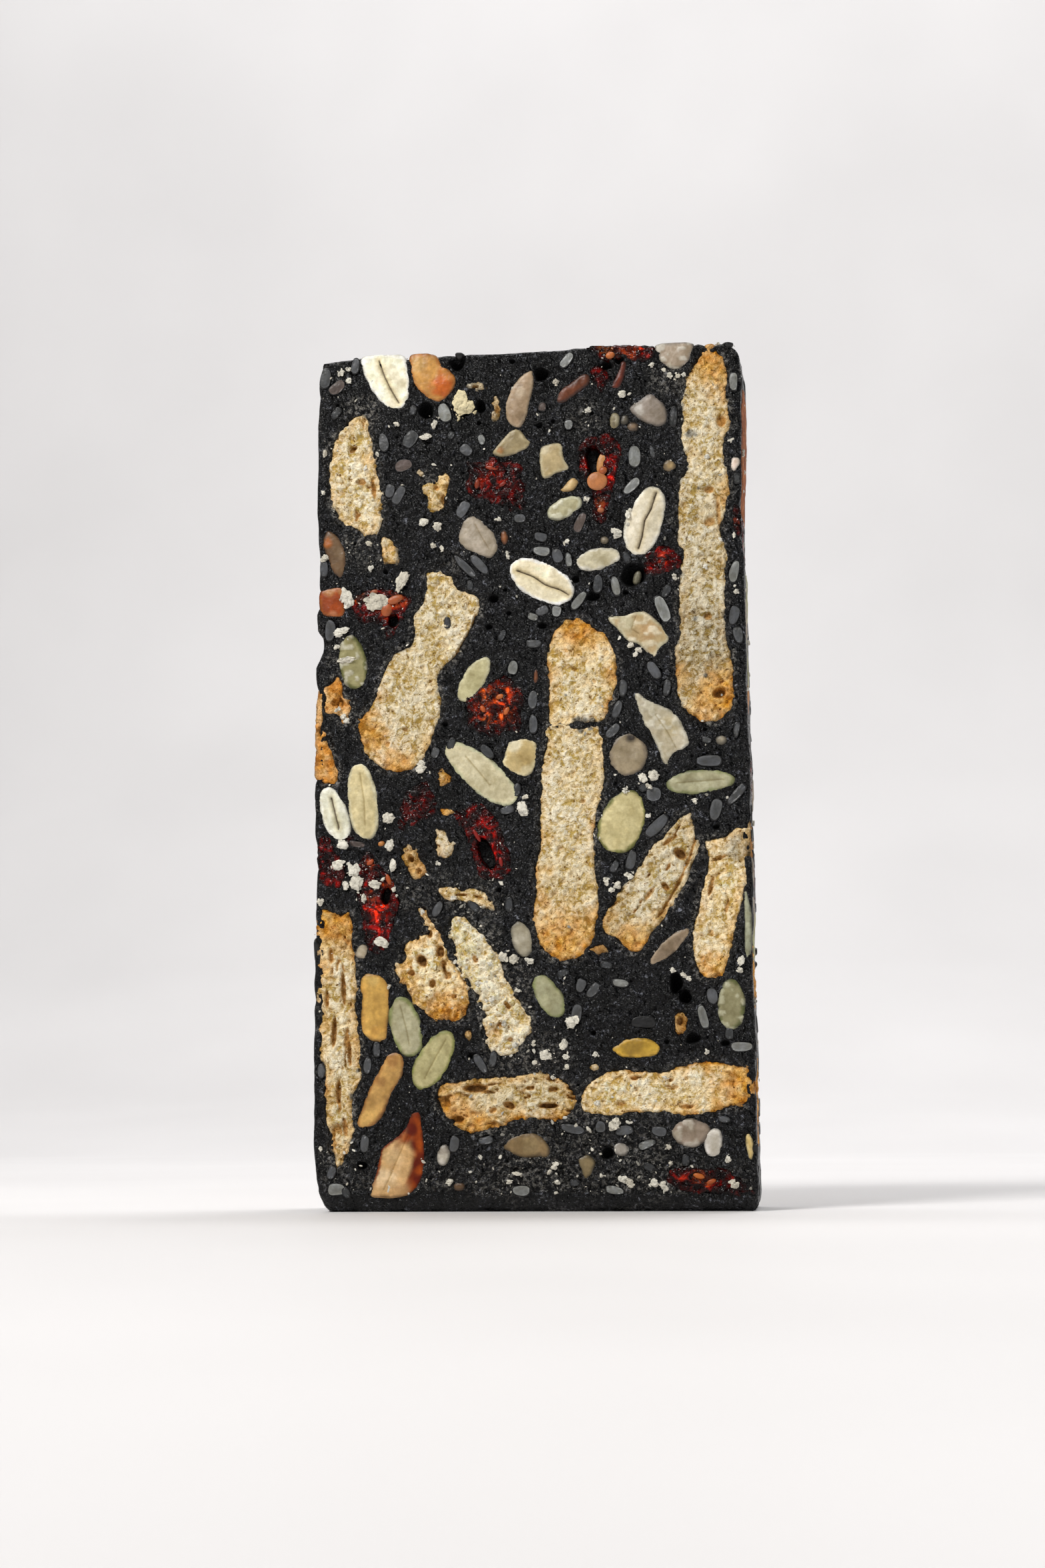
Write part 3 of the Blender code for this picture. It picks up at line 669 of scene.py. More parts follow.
# outline; gold: (x, z, reach, strength); holes: (x, z, width, height, depth, tilt); stains: (x, z, reach)
BISCUITS = {
    "biscuit_right": dict(
        porous=0.2, way=90, warm=0.12, shade=0.9, darker=[(25.5, 84, 8, 0.62), (25.5, 100, 9, 0.86)], line=[(26.8, 130), (25.5, 128), (24, 126), (23.2, 123.5), (22.8, 121), (22.7, 117.5), (22.7, 115.5), (23, 113.5), (23.6, 111), (22.5, 109.5), (22.1, 107), (22, 103), (21.9, 99.5), (22.8, 97.5), (22.3, 95.5), (21.9, 92.5), (21.8, 90), (21.9, 87.5), (22, 85.5), (21.2, 83), (21.1, 80), (21.5, 76.5), (22.3, 74.5), (23.5, 73), (25.3, 72), (27.5, 71.7), (29.2, 72.7), (30.3, 74.5), (30.5, 77.5), (30.4, 81), (29.7, 84), (29.3, 88), (29.4, 91), (29.5, 95), (29.8, 98), (29, 100.5), (29.5, 103), (29.7, 105), (30.5, 107), (30.2, 109.5), (29.6, 112), (29.8, 115), (30.7, 117.5), (30.3, 120), (30.2, 122.5), (30.5, 125.5), (29.8, 127.8), (28.8, 129), (28, 130.2)],
        gold=[(28.6, 128, 4.5, 0.75), (30.2, 124, 3.2, 0.5), (29.5, 75.5, 4.2, 1.0), (25, 72.4, 2.6, 0.7), (21.9, 79, 2.2, 0.45), (30.2, 118, 2.2, 0.4), (30.2, 107, 2.2, 0.45)],
        holes=[(28, 76.3, 2.2, 1.7, 0.9, 20), (29, 118, 1.6, 1.9, 0.6, 0), (27, 107.5, 1.8, 1.3, 0.45, 0), (27, 102.5, 2.0, 1.6, 0.4, 30), (26.5, 88, 1.4, 1.2, 0.4, 0), (28.4, 103.5, 0.8, 6.0, 0.35, 4)],
        stains=[(26, 79, 0.35), (24.7, 87.7, 0.45), (24.2, 116.3, 0.7), (25.0, 116.0, 0.4), (25.4, 107.8, 0.25)],
    ),
    "biscuit_top_left": dict(
        shade=1.05, smear=0.95, porous=0.35, way=95, line=[(-27.8, 121.2), (-25.3, 121.1), (-24.5, 118), (-23.8, 113.5), (-22.9, 109), (-22.8, 105), (-23.5, 102.5), (-25.8, 101.8), (-27.3, 103), (-29.5, 104), (-30.8, 106.5), (-31.6, 110), (-31.5, 114), (-31.0, 117.2), (-29.2, 119.4)],
        gold=[(-24.4, 114, 1.8, 0.35), (-31, 108, 1.6, 0.3)],
        holes=[(-24.4, 109.5, 0.8, 3.6, 0.7, 8), (-27.6, 115.8, 1.6, 1.0, 0.6, 40), (-26.2, 110.6, 1.5, 1.2, 0.5, 0)],
        pale=0.45, rough=0.28,
    ),
    "biscuit_left_mid": dict(
        porous=0.2, way=65, warm=0.1, shade=0.95, line=[(-16.3, 96.5), (-13.5, 96), (-12.2, 95.3), (-11.3, 93.5), (-9.2, 93), (-7.7, 92), (-7.6, 90.8), (-8.3, 88.5), (-9.5, 86), (-10.8, 84), (-11.5, 82.5), (-13.5, 81), (-14.2, 79), (-13.7, 76.5), (-13.8, 74), (-14.8, 71.5), (-15.5, 69.5), (-16.6, 67.2), (-18, 66), (-20, 65.2), (-22, 65.4), (-24, 66.5), (-25.5, 68), (-26.5, 70), (-27.1, 72), (-26.5, 74), (-25.3, 75.5), (-24.5, 77.3), (-23.5, 79.5), (-22.5, 82), (-21, 84), (-19.3, 85), (-18.5, 86), (-18.3, 88), (-18.5, 89.5), (-17.3, 91.2), (-16.5, 93.5), (-16.5, 95)],
        gold=[(-26, 71.5, 3.6, 0.85), (-21.5, 66, 3.6, 0.75), (-24.4, 77.5, 1.8, 0.35), (-15.4, 70, 1.6, 0.4)],
        holes=[(-22.2, 69.8, 1.0, 1.0, 0.4, 0), (-19.5, 72.0, 1.1, 0.8, 0.35, 0)],
        cracks=[[(-8.6, 89.2), (-9.4, 87), (-10.8, 84.8), (-12, 82.8), (-13.4, 81.2)]],
        pale=0.35,
    ),
    "biscuit_mid_upper": dict(
        joined=[(3.4, 72.0, 2.3)], smear=1.0, porous=0.25, way=80, warm=0.3, shade=1.05, line=[(7, 88.7), (9.2, 87.4), (11.1, 85.9), (12.4, 83.7), (13.0, 81.4), (13.1, 79.3), (12.5, 76.8), (11.6, 74.8), (11.0, 72.4), (9, 72.05), (6, 72.1), (2.4, 72.1), (2.1, 74), (2, 77), (2.2, 80), (1.8, 82.5), (2.3, 85.0), (3.6, 87.2), (5.3, 88.4)],
        gold=[(7, 87.8, 4.6, 0.85), (2.2, 80, 1.7, 0.5), (12.8, 79.5, 2.0, 0.6), (2.4, 75, 1.4, 0.4), (11.6, 74.5, 1.5, 0.5)],
        holes=[(6.3, 80.5, 0.9, 0.7, 0.35, 0), (9.3, 78.6, 0.8, 0.9, 0.35, 0), (5.0, 83.5, 0.7, 0.7, 0.3, 0)],
        stains=[(6.6, 72.7, 0.8), (7.8, 72.8, 0.7), (9.0, 72.6, 0.7), (5.0, 76.6, 0.25), (10.2, 76.0, 0.25)],
        rim=0.55,
    ),
    "biscuit_mid_lower": dict(
        joined=[(3.4, 72.0, 2.3)], smear=1.0, porous=0.22, way=90, warm=0.2, line=[(2.3, 71.95), (1.6, 69.5), (1, 66), (0.8, 62), (0.7, 59), (0.6, 55), (0, 51), (-0.3, 47.5), (-0.3, 44), (-0.2, 41), (0.5, 39), (2, 37.3), (4, 36.5), (6, 36.6), (7.8, 37.8), (9, 40), (9.6, 43), (9.8, 46), (9.5, 50), (9.3, 54), (9.6, 58), (10.4, 61), (11, 64), (10.8, 67), (10.5, 70), (9.8, 71.7), (6.2, 71.85)],
        gold=[(3.6, 37.5, 6.0, 1.0), (0.4, 45, 2.2, 0.5), (9.2, 42, 2.4, 0.6), (0.8, 55, 1.5, 0.35), (0.6, 50, 1.6, 0.4), (9.5, 57, 1.3, 0.3)],
        holes=[(3.9, 53.5, 0.9, 0.7, 0.3, 0), (7.4, 60.5, 0.9, 0.8, 0.35, 0)],
        stains=[(7.2, 71.2, 0.6), (8.6, 71.4, 0.5)],
        rim=0.4,
    ),
    "biscuit_diagonal": dict(
        smear=0.9, porous=0.4, way=52, warm=0.15, shade=0.84, line=[(23.5, 58.8), (22, 58.3), (20.8, 57.2), (19.3, 55.5), (17.5, 53.8), (16, 51.5), (14.8, 50), (13.3, 48), (11.8, 46), (10.3, 43.8), (9.8, 42), (10.3, 40.4), (12, 39.8), (12.8, 38.6), (14, 37.7), (15.8, 37.6), (16.8, 38.8), (17.8, 40.5), (19.2, 42), (20.3, 43.8), (21.2, 45.5), (22.8, 47.5), (23.7, 49.5), (24.5, 51.5), (25, 53.5), (24.5, 55), (24.2, 57)],
        gold=[(14.6, 38.2, 3.4, 0.8), (19.5, 43, 1.8, 0.4), (10.6, 42.5, 1.8, 0.4)],
        holes=[(21.8, 52.3, 1.5, 2.3, 0.9, 50), (19.5, 47.5, 1.0, 1.6, 0.7, 40), (20.0, 54.2, 2.0, 0.8, 0.5, 40), (17.2, 46.5, 0.8, 3.0, 0.4, -38)],
        cracks=[[(24.1, 54.5), (23.2, 51.8), (21.8, 48.6), (20.1, 45.6), (18.4, 43.0)]],
    ),
    "biscuit_right_low": dict(
        smear=0.85, porous=0.3, way=75, warm=0.35, shade=1.18, darker=[(31, 53, 3.0, 0.45)], line=[(25, 54.3), (27, 54.8), (29, 55.6), (31, 56.5), (32.2, 57.1), (32.2, 54), (32.1, 50), (31.5, 47), (31, 44), (30.3, 42), (29.7, 39.5), (29, 36.5), (28.2, 34.3), (27, 33.4), (25, 33.7), (23.8, 35), (23.2, 37), (23.1, 40), (23.7, 43), (24.5, 46), (25.2, 49), (25.7, 51.5)],
        gold=[(26.5, 34.5, 3.2, 0.75), (29.4, 39, 1.6, 0.5)],
        holes=[(26.3, 47.5, 0.7, 3.4, 0.6, -14), (27.6, 51.6, 2.6, 0.7, 0.45, 20), (28.6, 44.5, 0.7, 2.6, 0.5, -12), (26.2, 40.5, 0.9, 1.2, 0.4, 0)],
    ),
    "biscuit_left_edge": dict(
        smear=0.85, porous=0.34, way=90, warm=0.4, shade=1.0, line=[(-32.8, 44), (-31.5, 45.3), (-29.5, 44.5), (-27.8, 44.8), (-27.3, 43.5), (-27.2, 40), (-26.8, 37), (-26.5, 34), (-26.8, 31), (-26.4, 28), (-26, 25), (-26, 22), (-25.6, 20), (-26.3, 18.5), (-27, 17), (-27.3, 14.5), (-27, 12), (-27.5, 9.5), (-28.5, 7.5), (-30, 6.3), (-30.6, 8.5), (-31, 11), (-31.8, 13.5), (-32, 17), (-32, 21), (-32.6, 24), (-32.9, 27), (-33, 32), (-33, 38)],
        gold=[(-30.4, 43.5, 4.2, 0.95), (-32.6, 36, 1.8, 0.6), (-31.8, 18, 1.6, 0.6), (-32.6, 28, 1.6, 0.5), (-27.4, 38.6, 1.5, 0.5)],
        holes=[(-28.9, 33, 0.8, 5.5, 0.75, 3), (-30.3, 26.5, 0.8, 5.0, 0.75, -3), (-28.0, 23.5, 0.7, 4.5, 0.7, 4), (-29.6, 17.5, 0.8, 4.0, 0.75, 0), (-28.6, 12.5, 0.8, 3.0, 0.6, 6), (-30.8, 38, 0.8, 2.6, 0.6, 0), (-31.4, 31.5, 0.6, 3.0, 0.5, 0), (-29.6, 41.0, 1.0, 0.9, 0.4, 0)],
        stains=[(-27.3, 17, 0.8), (-26.6, 20.8, 0.4)],
        rim=0.5,
    ),
    "biscuit_porous": dict(
        smear=0.85, porous=0.7, way=110, warm=0.5, shade=1.2, line=[(-17.8, 45), (-16.5, 45.5), (-15.8, 44), (-14.5, 42), (-13.5, 39.5), (-12, 37), (-10.5, 35), (-9.7, 32.5), (-9.6, 30), (-10.5, 28.2), (-12.5, 27.8), (-15, 28), (-17, 29), (-18.7, 31), (-20, 33), (-21.2, 35.3), (-21.2, 36.5), (-19.8, 37.5), (-20, 39.5), (-17.8, 40.5), (-16.3, 41.5), (-17, 43)],
        gold=[(-12.5, 28.6, 3.4, 0.9), (-19.6, 33, 2.2, 0.6), (-10.6, 33.6, 1.4, 0.5), (-17.2, 44, 1.4, 0.5), (-16.4, 29.6, 1.6, 0.6)],
        holes=[(-17, 37, 1.5, 2.2, 1.0, 30), (-14.2, 38.3, 1.3, 1.9, 0.9, 0), (-18.6, 35.2, 1.3, 1.0, 0.7, 0), (-15.4, 33.6, 1.1, 1.4, 0.7, 0), (-13.0, 34.8, 1.0, 1.2, 0.6, 20), (-15.8, 41, 0.9, 1.3, 0.7, 0), (-12.2, 31.6, 1.0, 0.9, 0.5, 0)],
        rough=0.3,
    ),
    "biscuit_pale": dict(
        smear=0.6, porous=0.3, way=120, warm=0.0, shade=1.14, line=[(-12.9, 43.4), (-10.8, 43.8), (-8.6, 42.2), (-6.9, 40.0), (-5.2, 37.8), (-4.3, 35.4), (-3.4, 32.8), (-2.0, 30.5), (-0.6, 28.5), (-0.4, 26.5), (-1.4, 24.9), (-3.3, 22.7), (-5.8, 22.8), (-7.4, 25.3), (-8.3, 27.5), (-8.2, 29.5), (-9.2, 31.5), (-10.5, 33.7), (-11.8, 36.2), (-12.6, 39), (-13.1, 41.5)],
        gold=[(-6.8, 26.2, 1.4, 0.35)],
        holes=[(-5.2, 27.4, 1.2, 0.9, 0.6, 0), (-9.0, 37.2, 0.9, 1.4, 0.5, 20), (-4.2, 30.2, 0.8, 1.6, 0.5, 30), (-3.8, 25.2, 0.9, 0.8, 0.5, 0)],
        pale=0.85, rough=0.38,
    ),
    "biscuit_bottom_left": dict(
        smear=0.9, porous=0.62, way=5, warm=0.4, shade=0.92, line=[(-15, 18), (-13.8, 19), (-11.5, 19.4), (-8.5, 19.9), (-5, 20), (-2, 20.2), (-0.5, 20.7), (1.5, 20.3), (4, 19.5), (5.5, 18.3), (6.3, 16.8), (6, 15), (4.5, 13.3), (2.5, 13), (-0.5, 13.3), (-3, 13), (-5, 12.1), (-7.5, 11.6), (-9.5, 11.2), (-11.5, 11.8), (-13, 13), (-14.3, 14.5), (-15.2, 16)],
        gold=[(-13, 13.6, 3.8, 0.95), (-8, 11.9, 2.6, 0.85), (-3, 13.2, 2.0, 0.6), (-13.6, 18.6, 2.0, 0.55), (2.8, 13.4, 1.8, 0.6), (5.6, 17.6, 1.5, 0.4)],
        holes=[(-9, 18, 4.0, 1.3, 0.95, 0), (-4, 15.5, 2.0, 1.2, 0.8, -20), (1.8, 15.4, 3.2, 0.9, 1.0, 0), (2.5, 17.8, 1.6, 0.9, 0.7, 0), (-11.7, 13.5, 2.2, 1.2, 0.8, 0), (-6.4, 14.8, 1.3, 0.9, 0.5, 30), (-0.9, 18.0, 1.4, 0.8, 0.6, 0)],
        rim=0.6,
    ),
    "biscuit_bottom_right": dict(
        shade=1.18, smear=0.9, porous=0.4, way=5, warm=0.3, line=[(6.6, 17), (7.6, 18.8), (9.5, 20), (12, 20.9), (15, 20.7), (18, 20.5), (20.5, 21.2), (23.4, 21.8), (26.4, 22), (29.2, 21.4), (31.2, 20.8), (32, 19.5), (32.1, 17), (31.7, 15.6), (30.2, 15.1), (28.3, 14.6), (25.4, 13.9), (22.9, 13.6), (19.5, 13.9), (16, 14.2), (13, 13.8), (10.5, 13.6), (8.1, 13.8), (6.4, 14.6)],
        gold=[(31, 18, 4.6, 1.0), (22, 21.7, 1.6, 0.7), (26, 21.9, 2.0, 0.75), (15, 20.8, 1.3, 0.45), (22, 13.8, 1.6, 0.6), (14, 14.0, 1.3, 0.5), (27, 14.8, 1.8, 0.65)],
        holes=[(12.6, 15.6, 1.6, 0.8, 0.4, 0), (20.5, 18.0, 1.3, 0.8, 0.35, 0)],
        rim=0.5,
    ),
    "biscuit_edge_crust": dict(
        porous=0.8, way=90, line=[(-32.8, 78.5), (-31, 79.8), (-29.8, 81), (-28.8, 79.5), (-28.6, 77.2), (-27.6, 77), (-27.8, 74.5), (-28, 73.2), (-29.5, 72.6), (-30, 74), (-31.5, 74.2), (-31.5, 72), (-31, 70), (-30.2, 67.7), (-29.5, 66), (-29.6, 64.5), (-30.2, 63.6), (-32, 63.8), (-33.3, 65), (-33.4, 69), (-33.3, 73), (-33.2, 76)],
        gold=[(-31, 68, 7.5, 0.85), (-30.5, 79, 5.0, 0.85)],
        holes=[(-30.2, 76.4, 1.6, 1.2, 0.6, 20), (-32.0, 77.2, 0.7, 1.6, 0.5, 0)],
        crusty=1.0,
    ),
    "biscuit_sliver": dict(
        porous=0.6, way=0, line=[(-15, 47.5), (-13.5, 48.3), (-10.5, 48), (-7.8, 47.5), (-6.5, 46), (-5.3, 44.2), (-6, 43.8), (-8.5, 44.8), (-11.5, 45.5), (-13.5, 45.7)],
        gold=[(-14, 46.4, 1.5, 0.3)],
        holes=[(-11, 46.8, 2.2, 0.5, 0.5, 0), (-8.4, 46.4, 1.8, 0.5, 0.5, -20)],
        rough=0.22,
    ),
}

CREAM, WHITE = srgb(234, 218, 176), srgb(250, 242, 216)
TAN, GOLD, BROWN = srgb(192, 158, 98), srgb(212, 144, 34), srgb(150, 92, 24)
STAIN = srgb(40, 37, 33)


def crumb_relief(p3, seed, rough=0.2):
    """Height in millimetres of open crumb, and how deep in a gap between granules each point is."""
    a, _, label = cells(p3, 0.95, seed)
    b, _, _ = cells(p3, 0.52, seed + 7)
    big = 1 - np.clip(a / 0.62, 0, 1) ** 2
    small = 1 - np.clip(b / 0.62, 0, 1) ** 2
    gap = noise(p3, 1.15, seed + 11) * 0.6 + noise(p3, 0.55, seed + 13) * 0.5
    pit = smooth(0.30, 0.62, gap)
    h = rough * (big * (0.15 + 1.0 * label) + 0.25 * small) - rough * 0.42
    h = h + rough * 1.1 * fbm(p3 + 3.3, 1.0, 3, seed + 5, 0.7) + 0.10 * fbm(p3, 3.4, 2, seed + 3) - 0.26 * pit
    return h, np.clip(pit + 0.55 * (1 - big) * (1 - 0.5 * small), 0, 1)


def oval_depth(p, x, z, width, height, depth, tilt):
    c, s = math.cos(math.radians(tilt)), math.sin(math.radians(tilt))
    dx, dz = p[:, 0] - x - SHIFT, p[:, 1] - z
    a, b = (dx * c + dz * s) / (width / 2), (-dx * s + dz * c) / (height / 2)
    return smooth(1.15, 0.6, np.sqrt(a * a + b * b)) * depth


def biscuit_look(p, depth_in, spec, seed, side):
    """Height and colour of a biscuit's cut face at p (x, z)."""
    p3 = np.column_stack([p[:, 0], p[:, 1], np.full(len(p), 3.1 if side == "front" else 13.7)])
    for x, z, reach in spec.get("joined", []):
        depth_in = depth_in + 1.3 * smooth(reach * 1.2, reach * 0.6, np.hypot(p[:, 0] - x - SHIFT, p[:, 1] - z))
    h, gap = crumb_relief(p3, seed, spec.get("rough", 0.2))
    hollow = np.zeros(len(p))
    if side == "front":
        for item in spec.get("holes", []):
            hollow = np.maximum(hollow, oval_depth(p, *item))
        for line in spec.get("cracks", []):
            d = segment_distance(p, np.array(line) + [SHIFT, 0])
            hollow = np.maximum(hollow, 0.5 * smooth(0.34, 0.05, d + 0.12 * noise(p3, 0.7, seed + 2)))
    else:
        hollow = 0.7 * smooth(0.42, 0.62, noise(p3, 2.6, seed + 60))
    porous = spec.get("porous", 0.2)
    grain_way = math.radians(spec.get("way", 90.0))
    c, s = math.cos(grain_way), math.sin(grain_way)
    along = np.column_stack([(p[:, 0] * c + p[:, 1] * s) * 0.42, -p[:, 0] * s + p[:, 1] * c, np.full(len(p), seed * 0.37)])
    bent = along + np.stack([noise(along, 0.8, seed + 53), noise(along, 0.8, seed + 54), 0 * h], 1) * 0.35
    pore = smooth(0.62 - 0.30 * porous, 1.0 - 0.22 * porous, noise(bent, 1.0, seed + 51) + 0.45 * noise(bent, 0.42, seed + 52))
    pore = pore * smooth(0.1, 0.5, depth_in) * (porous > 0.3)
    hollow = np.maximum(hollow, pore * (0.35 + 0.6 * porous))
    h = h - hollow
    h = h - 0.34 * (1 - smooth(0.0, 0.8, depth_in + 0.2 * noise(p3, 0.8, seed + 19))) + 0.02
    toast = np.zeros(len(p))
    for x, z, reach, strength in spec.get("gold", []):
        d = np.hypot(p[:, 0] - x - SHIFT, p[:, 1] - z)
        toast = np.maximum(toast, min(strength * 1.1, 1.0) * smooth(reach * 1.75, reach * 0.3, d + 0.6 * noise(p3, 1.6, seed + 21)))
    near_rim = 1 - smooth(0.15, 1.1, depth_in + 0.25 * noise(p3, 1.2, seed + 23))
    toast = np.clip(toast + spec.get("rim", 0.22) * near_rim, 0, 1)
    warm_edge = (1 - smooth(0.5, 2.4, depth_in + 0.7 * noise(p3, 2.6, seed + 25))) * spec.get("warm", 0.3)
    toast = np.clip(np.maximum(toast, warm_edge), 0, 1)
    pale = spec.get("pale", 0.0)
    # colour follows the relief: higher crumb whiter, gaps and holes tan, gaps on golden parts browner; this is painted
    # highlight and shade over the crumb's own cream and gold
    base = mix(CREAM, WHITE, np.clip(0.15 + 0.45 * noise(p3, 2.8, seed + 31) + 2.0 * h + pale * 0.6, 0, 1))
    base = mix(base, TAN, np.clip(gap * (0.46 - 0.25 * pale) + 0.6 * np.clip(hollow, 0, 1), 0, 1))
    golden = mix(GOLD, srgb(228, 176, 74), np.clip(0.45 + 0.7 * noise(p3, 1.1, seed + 33) + 1.2 * h, 0, 1))
    golden = mix(golden, BROWN, np.clip(0.55 * gap + 0.5 * near_rim * (toast > 0.5) - 0.05, 0, 1))
    if spec.get("crusty"):
        golden = mix(golden, srgb(222, 150, 70), 0.5 + 0 * h)
    shade = spec.get("shade", 1.0) * (1 + 0.10 * noise(p3, 6.0, seed + 27))
    for x, z, reach, factor in spec.get("darker", []):
        d = np.hypot(p[:, 0] - x - SHIFT, p[:, 1] - z)
        shade = shade * (1 + (factor - 1) * smooth(reach * 1.3, reach * 0.4, d))
    base = base * shade[:, None]
    colour = mix(base, golden, np.clip(toast * (0.85 + 0.3 * noise(p3, 0.8, seed + 35)), 0, 1))
    # holes, pores and cracks darkened to tan and then deep brown: painted shade in the hollows
    colour = mix(colour, srgb(176, 122, 44), smooth(0.12, 0.5, hollow) * 0.7)
    colour = mix(colour, srgb(74, 46, 18), smooth(0.5, 1.0, hollow) * 0.8)
    wide_smear = np.clip(0.5 + 0.9 * noise(p3, 3.5, seed + 41), 0, 1)
    reach = 0.30 + 0.55 * wide_smear * (1 - 0.7 * toast)
    ragged = depth_in + 0.34 * noise(p3, 0.75, seed + 37) + 0.2 * noise(p3, 0.35, seed + 38)
    smear = (1 - smooth(0.0, reach, ragged)) * (0.84 + 0.14 * wide_smear) * (1 - 0.45 * smooth(0.5, 0.9, toast)) * spec.get("smear", 1.0)
    for x, z, reach in spec.get("stains", []):
        d = np.hypot(p[:, 0] - x - SHIFT, p[:, 1] - z) + 0.3 * reach * noise(p3, 0.5, seed + 39)
        smear = np.maximum(smear, smooth(reach * 1.2, reach * 0.5, d) * 0.95)
    colour = mix(colour, STAIN, np.clip(smear, 0, 1))
    return h, colour


INLAYS = []  # outlines on the front face, for the nougat to dip under
BACK_INLAYS = []
DEEP_LOOPS = []
FINE = 0.2


def make_biscuit(name, spec, seed):
    loop = outline_of(spec["line"], FINE, spec.get("rough", 0.2) * 1.05, seed)
    loop[:, 0] = np.clip(loop[:, 0], -32.95, 32.95)
    at_edge = name in ("biscuit_left_edge", "biscuit_edge_crust", "biscuit_right_low")
    levels = [-0.7, -2.0, -4.0, -7.0, -10.0, -13.0, -16.0, -17.2] if at_edge else [-0.9, -9.0, -17.0]
    rows = [(w, 1.0) for w in levels] + [(-FRONT - BACK, 1.0)]
    span = FRONT + BACK

    def front_height(p, d):
        return biscuit_look(p, d, spec, seed, "front")[0]

    def back_height(p, d):
        return -span - biscuit_look(p, d, spec, seed, "back")[0]

    points, faces, inside, on_back = body(loop, FINE, front_height, rows, seed, back=(FINE * 1.6, back_height))
    n_front = len(points) - on_back - len(loop) * (len(rows) - 1)
    colour = np.zeros((len(points), 3))
    p = points[:, :2]
    _, colour[:] = biscuit_look(p, np.full(len(p), 0.05), spec, seed, "front")
    f = np.arange(n_front)
    colour[f] = biscuit_look(p[f], np.maximum(inside[f], 0), spec, seed, "front")[1]
    b = np.arange(len(points) - on_back, len(points))
    colour[b] = biscuit_look(p[b], np.maximum(inside[b], 0), spec, seed, "back")[1]
    wall = np.arange(n_front, len(points) - on_back)
    p3 = np.column_stack([p[wall], points[wall, 2]])
    crust = mix(GOLD, BROWN, np.clip(0.4 + 0.6 * noise(p3, 2.2, seed + 70), 0, 1))
    colour[wall] = mix(colour[wall], crust, 0.7 + 0 * p3[:, 0])
    world = np.empty_like(points)
    world[:, 0], world[:, 2] = points[:, 0], points[:, 1]
    top = -(FRONT + front_wave(p[:, 0], p[:, 1]))
    bottom = BACK + back_wave(p[:, 0], p[:, 1])
    share = np.clip(-points[:, 2] / span, 0, 1)
    world[:, 1] = top * (1 - share) + bottom * share
    face_part = np.arange(len(points))
    extra = np.zeros(len(points))
    extra[f] = points[f, 2]
    extra[b] = points[b, 2] + span
    world[f, 1] = top[f] - extra[f]
    world[b, 1] = bottom[b] - extra[b]
    if at_edge:
        side = world[wall]
        out = np.sign(side[:, :1]) * np.array([[1.0, 0, 0]])
        world[wall] += out * (0.12 * fbm(side, 1.6, 2, seed + 80))[:, None]
    make_object(name + "_look", world, faces, BISCUIT, tint=colour, replaces=[name])
    INLAYS.append(loop)
    BACK_INLAYS.append(loop)


for k, (name, spec) in enumerate(BISCUITS.items()):
    make_biscuit(name, spec, 100 + 17 * k)


# ---------------------------------------------------------------- kernels: pumpkin seeds, nuts, almond

